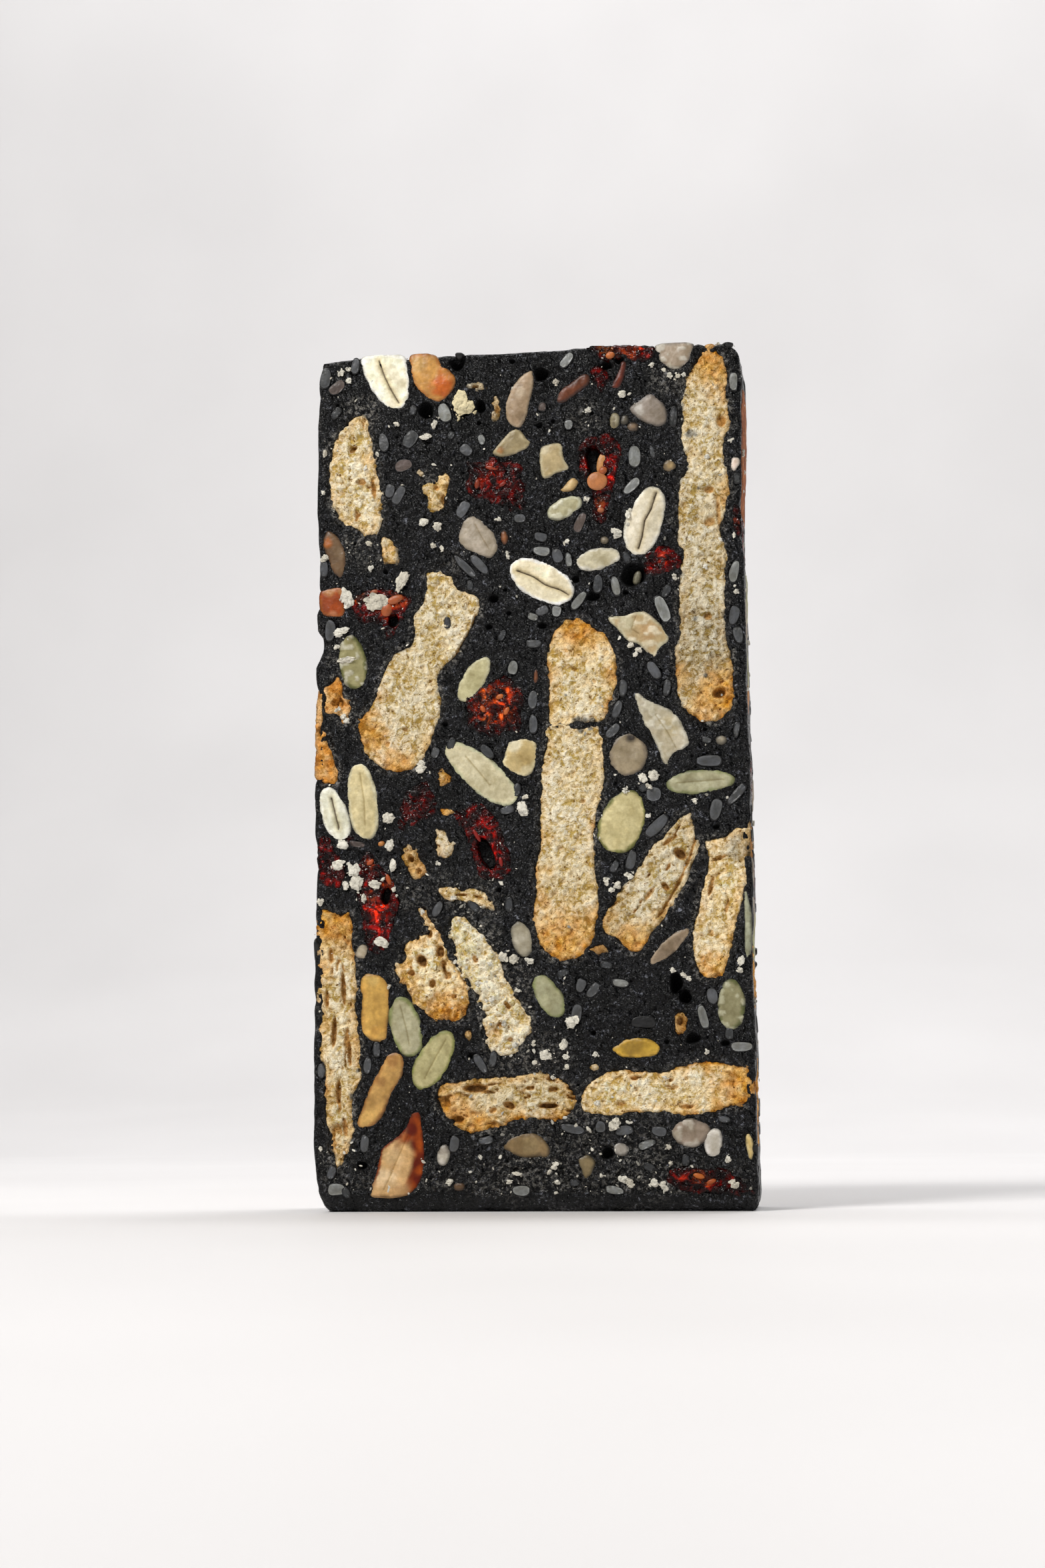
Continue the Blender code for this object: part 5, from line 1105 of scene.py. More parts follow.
def berry_look(p, depth_in, spec, seed):
    p3 = np.column_stack([p, np.full(len(p), 4.4)])
    bent = p3 + np.stack([noise(p3, 1.8, seed + 1), noise(p3, 1.8, seed + 2), 0 * p[:, 0]], 1) * 0.6
    a = 1 - np.abs(noise(bent, 1.7, seed + 3))
    b = 1 - np.abs(noise(bent, 0.85, seed + 4))
    lump = spec.get("lump", 1.0)
    h = lump * (0.24 * (a**2 - 0.45) + 0.15 * (b**2 - 0.45) + 0.05 * noise(p3, 0.4, seed + 5))
    if spec.get("crumbly"):
        c, _, label = cells(p3, 0.8, seed + 6)
        h = h + 0.22 * (1 - np.clip(c / 0.6, 0, 1) ** 2) * label - 0.05
    hollow = np.zeros(len(p))
    for item in spec.get("holes", []):
        hollow = np.maximum(hollow, oval_depth(p, *item))
    h = h - hollow - 0.22 * (1 - smooth(0, 0.45, depth_in)) + 0.06
    # red on the ridges, darker in the creases of the same relief: partly the fruit's own tone, partly painted shade
    colour = mix(DARK_RED, RED, np.clip(0.15 + 1.1 * (a**2 * b**2 - 0.35) + 0.5 * noise(p3, 2.2, seed + 7), 0, 1))
    for x, z, r, c, strength in spec.get("bright", []):
        d = np.hypot(p[:, 0] - x - SHIFT, p[:, 1] - z) + 0.45 * r * noise(p3, 0.8, seed + 8)
        colour = mix(colour, c * 1.15, strength * smooth(r * 1.2, r * 0.4, d) * np.clip(0.65 + 0.75 * noise(p3, 0.55, seed + 9), 0, 1))
    colour = colour * [spec.get("vivid", 1.0), spec.get("vivid", 1.0) ** 0.5, spec.get("vivid", 1.0) ** 0.5]
    if spec.get("crumbly"):
        colour = mix(colour, DARK_RED, smooth(0.55, 0.75, noise(p3, 0.75, seed + 10) * 0.5 + 0.5) * 0.7)
    # holes darkened near black and the rim darkened where it sinks into the nougat: painted shade
    colour = mix(colour, srgb(8, 3, 3), smooth(0.5, 1.4, hollow))
    colour = mix(colour, srgb(22, 12, 12), (1 - smooth(0.05, 0.5, depth_in + 0.2 * noise(p3, 0.8, seed + 11))) * 0.75)
    return h, colour


def make_berry(name, spec, seed):
    loop = outline_of(spec["line"], 0.22, spec.get("rough", 0.2), seed)
    loop[:, 0] = np.clip(loop[:, 0], -32.95, 32.95)

    def look(p, d):
        return berry_look(p, d, spec, seed)

    deepest = max([0.0] + [item[4] for item in spec.get("holes", [])])
    rows = kernel_rows(True) if spec.get("deep") else [(-0.5, 1.0), (-1.6 - deepest * 0.5, 0.98), (-2.4 - deepest, 0.8)]
    points, faces, inside, _ = body(loop, 0.22, lambda p, d: look(p, d)[0], rows, seed)
    colour = paint_rows(points, inside, look, face_points(points, inside))
    world = to_world("front", points[:, 0], points[:, 1], points[:, 2])
    make_object(name + "_look", world, faces, BERRY, tint=colour, replaces=[name])
    INLAYS.append(loop)
    if spec.get("deep"):
        DEEP_LOOPS.append(loop)


for k, (name, spec) in enumerate(BERRIES.items()):
    make_berry(name, spec, 1500 + 19 * k)


# ---------------------------------------------------------------- smaller pieces on the front face

BISCUIT_BITS = [
    dict(line=[(-16.8, 110), (-14.9, 110.5), (-13.5, 112.3), (-12.4, 111), (-12.6, 108), (-13.5, 105.7), (-15.8, 105.3), (-16.2, 107.5), (-16.9, 108.5)], gold=[(-13.0, 110, 1.6, 0.35)], holes=[(-13.6, 107.4, 0.8, 1.8, 0.6, 0), (-14.6, 109.2, 1.0, 0.9, 0.5, 0)], rough=0.28),
    dict(line=[(-23.8, 102), (-21.8, 102), (-20.4, 100), (-20.3, 98), (-21.5, 97.5), (-23.2, 98), (-23.3, 100)], gold=[(-21.4, 99, 2.2, 0.4)], rough=0.28),
    dict(line=[(-14.5, 63.4), (-13.4, 63.0), (-12.3, 63.8), (-12.1, 65.0), (-13.2, 65.7), (-14.4, 65.2)], gold=[(-13.3, 64.3, 2.5, 0.75)], rough=0.3),
    dict(line=[(-14.4, 58.8), (-13.4, 58.3), (-11.8, 58.8), (-11.7, 59.8), (-13, 60.1), (-14.3, 59.8)], gold=[(-13, 59.2, 2.5, 0.9)], rough=0.25),
    dict(line=[(-15, 57), (-13.5, 57.3), (-12.8, 56), (-11.8, 54), (-12, 52.5), (-13.5, 52), (-15, 53)], pale=0.4, gold=[(-13.8, 53, 1.2, 0.3)], dim=0.84, rough=0.3),
    dict(line=[(-20.3, 54), (-19, 54.7), (-17.5, 53.5), (-16.3, 51.5), (-16.3, 49.5), (-17.3, 48.7), (-18.8, 49.5), (-20, 51.5)], gold=[(-18.2, 51.5, 3.0, 0.6)], holes=[(-18.6, 52.3, 1.0, 1.1, 0.8, 0), (-17.4, 50.4, 0.9, 1.0, 0.7, 0)], rough=0.34, dim=0.86),
    dict(line=[(7.6, 38.6), (9.2, 39.3), (10.9, 38.9), (10.9, 37.8), (9.2, 37.5), (7.8, 37.8)], gold=[(9.2, 38.4, 2.0, 0.6)], rough=0.3, dim=0.6),
    dict(line=[(-11, 26), (-10.4, 27.2), (-9.5, 26.8), (-9.4, 25), (-10.2, 24.7)], gold=[(-10.2, 26, 1.6, 0.6)], rough=0.26, dim=0.7),
    dict(line=[(20, 27), (20.8, 29.2), (22.2, 29.3), (22.7, 27.4), (22.2, 25.4), (20.8, 25.3)], gold=[(21.3, 27.3, 3, 0.75)], holes=[(21.5, 27.6, 1.0, 1.5, 0.8, 0)], rough=0.34, dim=0.8),
    dict(line=[(7.2, 21), (8.2, 21.8), (9.4, 21.5), (9.4, 20.5), (8.0, 20.3)], pale=0.3, rough=0.22, dim=0.7),
    dict(line=[(-17.8, 112.2), (-17.2, 112.6), (-16.3, 112.0), (-16.2, 110.9), (-17.2, 110.7), (-17.9, 111.3)], pale=0.2, rough=0.26, dim=0.62),
    dict(line=[(-6.2, 123.4), (-5.2, 124.0), (-4.5, 122.6), (-4.3, 120.4), (-5.0, 119.2), (-6.0, 119.6), (-6.2, 121.4)], gold=[(-5.3, 121.5, 2, 0.3)], holes=[(-5.2, 121.2, 0.7, 1.4, 0.5, 0)], rough=0.32, dim=0.62),
    dict(line=[(-10, 125.2), (-8.4, 125.9), (-7.0, 125.4), (-7.0, 124.5), (-8.6, 124.4), (-9.9, 124.6)], pale=0.2, holes=[(-8.6, 125.0, 1.2, 0.5, 0.5, 0)], rough=0.3, dim=0.5),
]

NUT_BITS = [
    dict(at=(5.1, 105.4), size=(5.7, 3.1), angle=25, face=srgb(176, 170, 136), rim=srgb(204, 204, 178), chips=srgb(214, 212, 190)),
    dict(line=[(4.0, 122.0), (4.3, 123.6), (6.2, 124.9), (8.2, 126.2), (9.1, 125.8), (9.0, 124.6), (7.4, 123.4), (5.2, 121.9)], face=srgb(97, 50, 26), rim=srgb(73, 36, 18), ridges=0.8),
    dict(line=[(-5.9, 114.3), (-4.6, 116.2), (-3.2, 117.8), (-2, 118), (-0.9, 116.8), (0, 115.8), (-1, 114.6), (-4, 113.7)], face=srgb(143, 128, 94), rim=srgb(171, 157, 123), spots=[(-4.8, 114.6, 0.8, srgb(172, 111, 49), 0.6)]),
    dict(line=[(1.7, 115), (4.6, 115.5), (5, 113.5), (5.8, 111.4), (4.3, 110.9), (2, 110.1), (1.4, 111.5), (1.3, 113.5)], face=srgb(180, 162, 123), rim=srgb(194, 183, 151), spots=[(2.0, 114.6, 1.0, srgb(203, 194, 167), 0.6)]),
    dict(line=[(4.3, 108.2), (6.3, 110), (7.2, 109.3), (6.5, 108.2), (5, 107.8)], face=srgb(208, 182, 132), rim=srgb(190, 156, 104)),
    dict(at=(-26, 38.5), size=(2.3, 2.0), angle=60, face=srgb(180, 168, 146), rim=srgb(150, 138, 120)),
    dict(at=(20.0, 38.6), size=(7.8, 2.3), angle=41, face=srgb(129, 111, 90), rim=srgb(164, 144, 120), ridges=0.7, spots=[(22.2, 40.4, 1.0, srgb(156, 136, 113), 0.6)]),
    dict(at=(-13.8, 8.3), size=(3.1, 1.9), angle=80, face=srgb(168, 160, 150), rim=srgb(140, 132, 124), chips=srgb(214, 208, 198)),
    dict(at=(12.5, 9), size=(2.3, 2.1), angle=0, face=srgb(160, 154, 146), rim=srgb(136, 130, 124), chips=srgb(208, 204, 196)),
    dict(line=[(24.9, 11), (26, 11.9), (27, 11.7), (27.3, 9.7), (26.8, 8), (25.5, 7.8), (24.7, 9)], face=srgb(196, 190, 181), rim=srgb(214, 209, 203), chips=srgb(236, 231, 225)),
    dict(line=[(6.1, 7.6), (7.4, 8.2), (8.6, 7.2), (8.3, 5.6), (7.2, 4.6), (6.6, 5.8)], face=srgb(122, 106, 74), rim=srgb(96, 84, 58)),
    dict(at=(21.1, 111.3), size=(2.0, 1.9), angle=0, face=srgb(160, 136, 96), rim=srgb(110, 94, 70)),
    dict(line=[(30.3, 111.0), (30.5, 112.1), (31.4, 112.3), (31.7, 111.5), (31.1, 110.3), (30.6, 110.2)], face=srgb(232, 212, 200), rim=srgb(240, 228, 220)),
    dict(line=[(12.3, 123.9), (13.1, 125.8), (14.0, 127.9), (14.8, 127.8), (14.5, 125.6), (13.6, 123.7)], face=srgb(112, 44, 20), rim=srgb(70, 24, 12), ridges=0.9),
    dict(line=[(-4.4, 102.3), (-3.8, 102.0), (-3.6, 100.8), (-4.1, 99.9), (-4.7, 100.6), (-4.8, 101.8)], face=srgb(146, 92, 52), rim=srgb(104, 62, 36)),
    dict(line=[(30.7, 11.1), (31.3, 11.2), (31.9, 9.4), (31.6, 7.4), (31.1, 7.5), (30.7, 9.2)], face=srgb(206, 176, 104), rim=srgb(226, 204, 150)),
    dict(at=(-11.5, 3.7), size=(1.8, 1.4), angle=0, face=srgb(112, 84, 56), rim=srgb(84, 62, 42)),
    dict(at=(-23.2, 54.7), size=(1.3, 1.1), angle=0, face=srgb(214, 150, 74), rim=srgb(180, 112, 50)),
    dict(at=(0.5, 79.6), size=(2.4, 0.9), angle=88, face=srgb(128, 76, 44), rim=srgb(92, 52, 32)),
    dict(at=(11.1, 100.2), size=(1.3, 1.2), angle=0, face=srgb(150, 138, 116), rim=srgb(112, 102, 86)),
    dict(at=(12.8, 118.6), size=(2.8, 1.7), angle=82, face=srgb(102, 92, 70), rim=srgb(136, 126, 96), chips=srgb(156, 148, 124)),
    dict(at=(14.4, 118.8), size=(1.7, 1.3), angle=80, face=srgb(98, 90, 76), rim=srgb(70, 66, 58)),
    dict(at=(15.6, 117.6), size=(1.7, 1.5), angle=0, face=srgb(150, 128, 106), rim=srgb(104, 88, 74)),
    dict(at=(28.2, 69.2), size=(1.8, 1.4), angle=10, face=srgb(150, 142, 124), rim=srgb(112, 106, 94)),
    dict(line=[(31.3, 47.2), (31.9, 45.0), (32.2, 41.5), (32.0, 38.0), (31.4, 36.6), (31.0, 38.5), (31.1, 42.0), (31.0, 45.0)], face=srgb(140, 142, 118), rim=srgb(168, 170, 146), ridges=0.8),
    dict(at=(15.9, 94.4), size=(2.2, 1.2), angle=75, face=srgb(98, 96, 80), rim=srgb(136, 132, 112), low=0.9),
]

BERRY_BITS = [
    dict(line=[(9.3, 127), (10.2, 127.3), (11, 127), (12, 125.5), (11.5, 123.6), (10.5, 123.2), (9.9, 124.5), (9.2, 126)], bright=[(10.2, 126.0, 0.9, RED, 0.6)], lump=1.2, rough=0.3),
    dict(line=[(30.6, 104.8), (31.4, 104.6), (31.8, 102.5), (31.6, 100.2), (30.8, 100.0), (30.3, 101.5), (30.2, 103.4)], bright=[(31.0, 102.2, 0.9, srgb(170, 70, 34), 0.7)], lump=1.0, rough=0.25),
    dict(line=[(-2.2, 107.6), (-1.6, 107.2), (-1.0, 105.9), (-1.1, 104.8), (-1.7, 105.2), (-2.2, 106.4)], lump=1.0, rough=0.15),
    dict(line=[(-20.6, 58.4), (-19.6, 58.2), (-19.0, 56.9), (-19.8, 56.3), (-20.8, 57.0)], lump=1.0, rough=0.15),
    dict(line=[(-29.4, 56.3), (-28.2, 56.6), (-27.3, 55.6), (-27.9, 54.4), (-29.2, 54.8)], lump=1.0, rough=0.2),
]

# sesame: x, z, width, height, turned clockwise; then a shade: 0 slate, 1 pale, 2 brown
SESAME_FRONT = [
    (-31.9, 127.2, 1.7, 3.4, 10, 0), (-30.1, 125.7, 1.8, 3.0, 50, 2), (-27.2, 129, 1.4, 2.7, 8, 0), (-13.3, 121, 2.0, 3.2, -18, 1), (-18.2, 121.6, 1.1, 1.7, 20, 0),
    (-22.8, 116.7, 1.6, 3.1, -8, 0), (-19.7, 112.9, 2.9, 1.9, -15, 2), (-21.8, 109, 1.5, 2.2, 15, 0), (-20.4, 108.3, 1.5, 3.3, 30, 0), (-10.5, 105.7, 1.7, 3.0, 32, 0),
    (-18.6, 117, 2.0, 3.0, 35, 3), (-7.6, 116.5, 1.2, 1.8, -15, 1), (-10, 115, 1.7, 2.1, -50, 0), (-1.8, 104, 1.9, 1.4, 0, 0), (5.6, 128.5, 1.4, 3.0, 38, 1),
    (1.8, 121.3, 1.3, 1.5, 10, 2), (21.8, 119, 1.2, 3.4, 4, 3), (5.8, 118.3, 1.4, 1.6, 0, 1), (15.8, 113, 2.0, 3.6, 0, 1), (18.5, 113.6, 0.8, 2.1, -10, 0),
    (15.3, 108.4, 1.5, 3.5, 45, 1), (7.4, 103, 1.5, 3.5, 25, 2), (1.4, 101, 2.1, 1.4, 15, 0), (31, 124, 1.4, 3.2, 0, 1), (31.2, 109, 1.1, 1.8, 0, 3),
    (-32, 97.2, 1.3, 2.8, 0, 0), (-31.1, 87.5, 1.7, 3.4, 5, 0), (-8, 97, 1.5, 4.0, -42, 0), (-10.2, 96.8, 1.3, 4.9, -44, 0), (-3, 81, 1.6, 2.3, 10, 1),
    (0.2, 84.6, 2.5, 1.3, 0, 0), (0, 76, 1.5, 3.0, 5, 0), (0, 72.3, 1.4, 3.0, 0, 0), (-14.9, 68.3, 1.3, 1.8, 20, 0), (-7, 68.3, 1.4, 2.7, -45, 3),
    (10, 93.5, 1.5, 2.9, 5, 3), (12.7, 93, 1.4, 3.3, -10, 1), (7.1, 91, 1.4, 3.6, 38, 1), (3.7, 89.4, 1.5, 1.8, 10, 1), (1.5, 89.6, 2.2, 1.4, -25, 0),
    (0.1, 88.7, 1.8, 1.2, 20, 1), (1.5, 98.8, 2.8, 1.5, 8, 1), (3.9, 98, 1.7, 2.3, -15, 0), (5.6, 97.3, 1.1, 2.4, -5, 1), (19.7, 89.3, 1.8, 4.5, -22, 1),
    (13.6, 77.4, 1.3, 2.7, 5, 0), (12.7, 74.2, 1.3, 3.0, 22, 0), (12, 71, 1.4, 2.9, 45, 0), (18.3, 80, 1.6, 3.1, -32, 0), (20.2, 77.3, 1.2, 2.7, 10, 0),
    (31, 85, 1.5, 2.7, -10, 0), (30.4, 88, 1.6, 3.1, 15, 0), (30.6, 94.7, 1.5, 3.7, 14, 1), (26.3, 66.1, 4.0, 1.7, 0, 0), (30.5, 70.7, 1.0, 2.6, 10, 0),
    (26, 69.3, 1.6, 1.0, 20, 0), (-26.8, 54.7, 2.8, 1.0, 10, 2), (-4, 59.4, 2.4, 1.3, -15, 0), (-14.6, 44.7, 1.3, 2.7, 30, 0), (18, 61.3, 2.3, 2.2, 0, 0),
    (18.4, 56.5, 1.7, 4.6, 46, 0), (27.2, 58.8, 1.8, 3.5, 15, 0), (30.3, 61, 1.3, 4.1, 42, 0), (14.5, 51.5, 1.5, 3.1, 15, 0), (-23.8, 23.9, 1.2, 2.4, 0, 0),
    (-25.2, 21.5, 1.3, 2.6, 5, 0), (-32.2, 20.8, 1.3, 2.3, 0, 0), (-8.2, 21.6, 1.3, 3.4, -32, 0), (-6.4, 22.3, 1.2, 2.6, 10, 0), (-25.6, 10, 1.4, 2.7, 5, 0),
    (-29.8, 3.3, 2.8, 1.8, 0, 1), (-12.2, 9.9, 1.5, 2.5, 10, 0), (-7.5, 10.4, 2.4, 1.2, -10, 0), (-2.3, 3.1, 2.8, 1.6, 0, 1), (8.6, 32.3, 1.4, 2.8, 40, 0),
    (12.7, 33.3, 2.7, 1.3, 8, 1), (6.8, 33, 1.5, 2.1, 20, 0), (6.2, 29, 1.6, 2.7, 10, 0), (26.2, 31.2, 1.7, 2.5, -10, 0), (24.8, 28.2, 1.4, 3.9, -15, 1),
    (30.4, 23.8, 3.5, 1.5, 0, 1), (16, 27.5, 3.6, 1.7, 0, 4), (5.4, 12, 3.8, 1.4, 12, 0), (9.5, 12.3, 1.6, 1.8, 0, 0), (13, 11.7, 2.8, 1.5, -10, 0),
    (18.1, 11.6, 2.4, 1.5, 10, 0), (16.3, 9.7, 2.9, 1.2, -20, 1), (27.6, 13.3, 2.0, 1.1, 10, 0), (11.5, 3.1, 3.0, 1.3, 10, 1), (-12.3, 117.4, 1.0, 1.4, 30, 3),
    (-30.2, 121.6, 1.2, 2.2, 40, 3), (-9.5, 93.9, 1.1, 1.6, 0, 3), (-4.6, 86.0, 1.0, 1.9, 30, 3), (14.4, 97.4, 1.2, 2.0, -20, 3), (20.3, 92.0, 1.2, 2.2, 30, 3),
    (-13.0, 88.2, 1.0, 1.8, 0, 3), (16.6, 62.4, 1.2, 1.8, 60, 3), (12.0, 50.6, 1.1, 2.0, 30, 0), (-2.6, 62.4, 1.3, 2.2, 20, 3), (-12.4, 69.6, 1.2, 2.1, 20, 3),
    (-30.6, 5.8, 1.3, 2.1, 20, 0), (-28.4, 2.9, 1.2, 1.8, -30, 3), (5.6, 4.2, 1.6, 1.1, 0, 3), (16.6, 6.4, 1.8, 1.2, 20, 3), (21.9, 7.4, 1.2, 1.8, 0, 3),
    (4.2, 34.9, 2.0, 1.1, -20, 3), (10.6, 36.0, 1.9, 1.1, 10, 3), (28.6, 25.8, 1.3, 2.0, 0, 3), (-9.2, 45.0, 1.2, 2.2, -50, 3), (-3.8, 45.2, 1.2, 2.4, 0, 3),
]

# loose crumbs: x, z, width, height, turned clockwise
CRUMBS_FRONT = [
    (-10.6, 121.8, 3.6, 3.9, 10), (-29.7, 127.8, 1.2, 1.2, 0), (-28.4, 128.4, 1.2, 1.1, 0), (-28.2, 126.7, 0.9, 0.9, 0), (-16.3, 117.4, 1.9, 1.2, 0),
    (-14.7, 119.2, 1.1, 1.8, 15), (-20.6, 119.4, 1.4, 0.8, 30), (-16.6, 103.8, 1.7, 1.5, 0), (-14.3, 103.2, 1.5, 1.7, 30), (-15.2, 100.2, 1.2, 1.2, 0),
    (-13.8, 99.6, 0.8, 1.1, 0), (-3.6, 98.3, 0.9, 1.3, 0), (-5.2, 104.0, 1.1, 1.0, 0), (14.3, 122.8, 1.7, 1.2, 0), (8.6, 120.5, 1.5, 1.0, 0),
    (4, 125.1, 1.0, 0.9, 0), (18.6, 127.2, 0.8, 0.8, 0), (21.4, 125.5, 1.3, 1.1, 0), (22.6, 125.0, 1.4, 1.2, 20), (23.5, 125.4, 0.9, 0.8, 0),
    (12.9, 101.2, 2.1, 1.3, 20), (14.8, 104, 1.0, 1.6, 0), (14.5, 102.6, 0.9, 1.1, 0), (-31.9, 98.8, 1.4, 1.3, 0), (-28.5, 92.3, 2.1, 3.0, 0),
    (-20.1, 94.6, 2.3, 4.3, 22), (-23.9, 91.8, 3.8, 2.6, 12), (-29.3, 87, 2.9, 1.7, 0), (-30, 85, 1.2, 1.2, 0), (-28.4, 83, 2.8, 1.2, 0),
    (21.5, 94.1, 1.1, 1.0, 0), (30.8, 91.6, 0.9, 0.8, 0), (30.6, 100.0, 0.7, 1.3, 0), (-16.8, 66.2, 2.3, 2.0, 0), (-22.1, 58.6, 1.9, 1.8, 0),
    (-29, 54.8, 2.6, 1.9, 0), (-21.8, 54.6, 1.4, 1.9, 0), (-21.4, 51.4, 1.3, 1.9, 0), (-1.8, 59.5, 1.9, 2.2, 0), (-1.4, 61.4, 1.1, 1.0, 0),
    (16.4, 63.6, 1.7, 1.6, 0), (17.8, 64.2, 1.7, 1.5, 20), (17.2, 62.6, 1.3, 1.1, 0), (14, 62, 1.2, 1.1, 0), (17.2, 58, 1.0, 0.9, 0),
    (24.4, 60.2, 1.5, 0.8, 0), (11.0, 48.4, 1.4, 1.2, 0), (12.4, 47.8, 1.6, 1.3, 10), (11.6, 47.0, 1.2, 1.0, 0), (14, 49.3, 1.4, 1.3, 0),
    (14.9, 83.8, 1.3, 1.1, 0), (16.2, 83.2, 1.5, 1.2, 0), (15.6, 82.4, 1.0, 0.9, 0), (-27.6, 50.6, 2.3, 2.5, 10), (-26.6, 48.6, 2.4, 2.6, 30),
    (-28.2, 48.4, 1.4, 1.6, 0), (-25.8, 46.6, 1.2, 1.4, 0), (-23.9, 48.5, 2.8, 1.7, 15), (-29.9, 51.5, 2.5, 1.6, -10), (-23.2, 39.8, 2.8, 1.6, 10),
    (-4.6, 37.4, 1.8, 1.6, 0), (-3.2, 37.0, 1.8, 1.5, 20), (-1, 36.8, 1.5, 1.3, 0), (-32.3, 46, 1.2, 1.3, 0), (30.6, 36.5, 1.4, 1.7, 0),
    (30.3, 35, 1.0, 1.0, 0), (20.5, 35, 1.0, 0.9, 0), (22, 34.4, 1.1, 1.0, 0), (22.8, 33.8, 0.9, 0.8, 0), (5.6, 27.6, 2.1, 1.9, 0),
    (1.6, 23, 2.0, 1.6, 0), (4.2, 24.3, 1.2, 1.7, 0), (4.2, 22.4, 1.4, 1.0, 0), (4.6, 21.1, 1.2, 1.0, 0), (8.8, 22.9, 0.9, 0.9, 0),
    (25.3, 23, 0.8, 0.8, 0), (11.5, 12.6, 1.8, 2.2, 0), (13.8, 12.9, 1.2, 0.8, 0), (19.4, 9.3, 1.2, 1.1, 0), (12.6, 4.6, 1.5, 1.3, 0),
    (13.8, 4.0, 1.7, 1.4, 20), (17.4, 4.2, 1.7, 1.4, 0), (18.6, 3.7, 1.5, 1.3, 0), (2.7, 6.7, 1.2, 1.1, 0), (3, 4.2, 0.9, 0.8, 0),
    (28.2, 7.6, 1.2, 1.6, 0), (28.7, 3.8, 1.6, 1.6, 0), (-4, 4.3, 1.5, 0.8, 0), (-13, 4.2, 1.3, 1.1, 0), (-3, 5.5, 1.8, 0.8, 0),
    (-29, 74.2, 1.4, 1.3, 0), (-29.8, 75.1, 1.0, 1.2, 0), (-28.4, 73.6, 0.9, 0.9, 0), (-24.7, 97.0, 0.9, 0.8, 0), (8.4, 106.6, 0.9, 0.8, 0),
    (-31.9, 115.2, 0.8, 1.4, 0), (-32.2, 109.0, 0.8, 1.2, 0), (-25.2, 100.8, 1.4, 0.8, 10), (5.4, 100.2, 0.8, 0.7, 0), (-12.2, 46.3, 1.0, 0.8, 0),
    (-6.4, 31.2, 1.2, 1.0, 0), (-8.6, 33.4, 1.0, 1.1, 0), (-4.6, 27.6, 1.1, 0.9, 0), (-3.0, 24.4, 1.0, 0.9, 0), (-7.0, 36.4, 1.3, 1.0, 0),
]

HOLES_FRONT = [
    (-11.3, 128.7, 2.2, 2.4, 1.6), (-16.2, 121.5, 2.3, 2.9, 2.2), (-7.7, 121.8, 1.6, 2.1, 2.0), (1.7, 126.5, 2.1, 2.3, 2.2), (15.4, 94.7, 3.8, 3.8, 2.4),
    (-5.9, 91.7, 1.4, 1.4, 1.4), (-6.6, 87.4, 1.0, 0.9, 1.0), (-4.1, 93, 0.7, 0.6, 0.7), (6.6, 94.3, 1.4, 1.1, 1.2), (9.3, 91.6, 2.2, 1.5, 1.3),
    (1.5, 87.3, 1.4, 1.0, 1.0), (27.2, 56.2, 1.2, 0.7, 0.8), (20.9, 33.2, 2.1, 3.2, 3.0), (22.2, 31.2, 2.0, 2.2, 2.6), (23.3, 25, 2.1, 1.6, 1.5),
    (28, 24.3, 1.3, 1.0, 1.0), (10.5, 8.4, 1.8, 2.0, 1.6), (-26, 6.8, 1.5, 1.4, 1.4), (-9.5, 22.8, 1.5, 1.0, 1.0), (11.6, 127.4, 2.0, 1.4, 1.6),
    (13.6, 128.2, 1.6, 1.2, 1.4), (1.3, 118.4, 1.0, 0.9, 0.8), (-3.6, 89.4, 0.8, 0.8, 0.8), (-13.4, 72.6, 0.9, 0.8, 0.8), (-5.3, 47.4, 0.8, 0.8, 0.7),
    (21.2, 63.6, 0.9, 0.7, 0.8), (-20.6, 46.0, 0.6, 0.7, 0.6), (8.6, 26.0, 0.9, 0.8, 0.8), (19.4, 24.6, 0.8, 0.8, 0.7), (14.2, 92.0, 0.9, 0.8, 0.8),
    (-25.2, 105.6, 0.6, 0.6, 0.5), (25.8, 70.9, 0.8, 0.6, 0.6), (9.4, 120.0, 0.7, 0.6, 0.5), (-22.5, 96.4, 0.9, 0.8, 0.7), (-30.0, 122.8, 0.5, 0.5, 0.5),
    (-8.0, 119.2, 0.8, 0.7, 0.8), (-2.8, 128.7, 0.9, 0.8, 0.8), (3.4, 119.0, 0.7, 0.7, 0.7), (19.2, 104.0, 0.6, 0.6, 0.5), (-16.6, 50.0, 0.5, 0.5, 0.5),
]

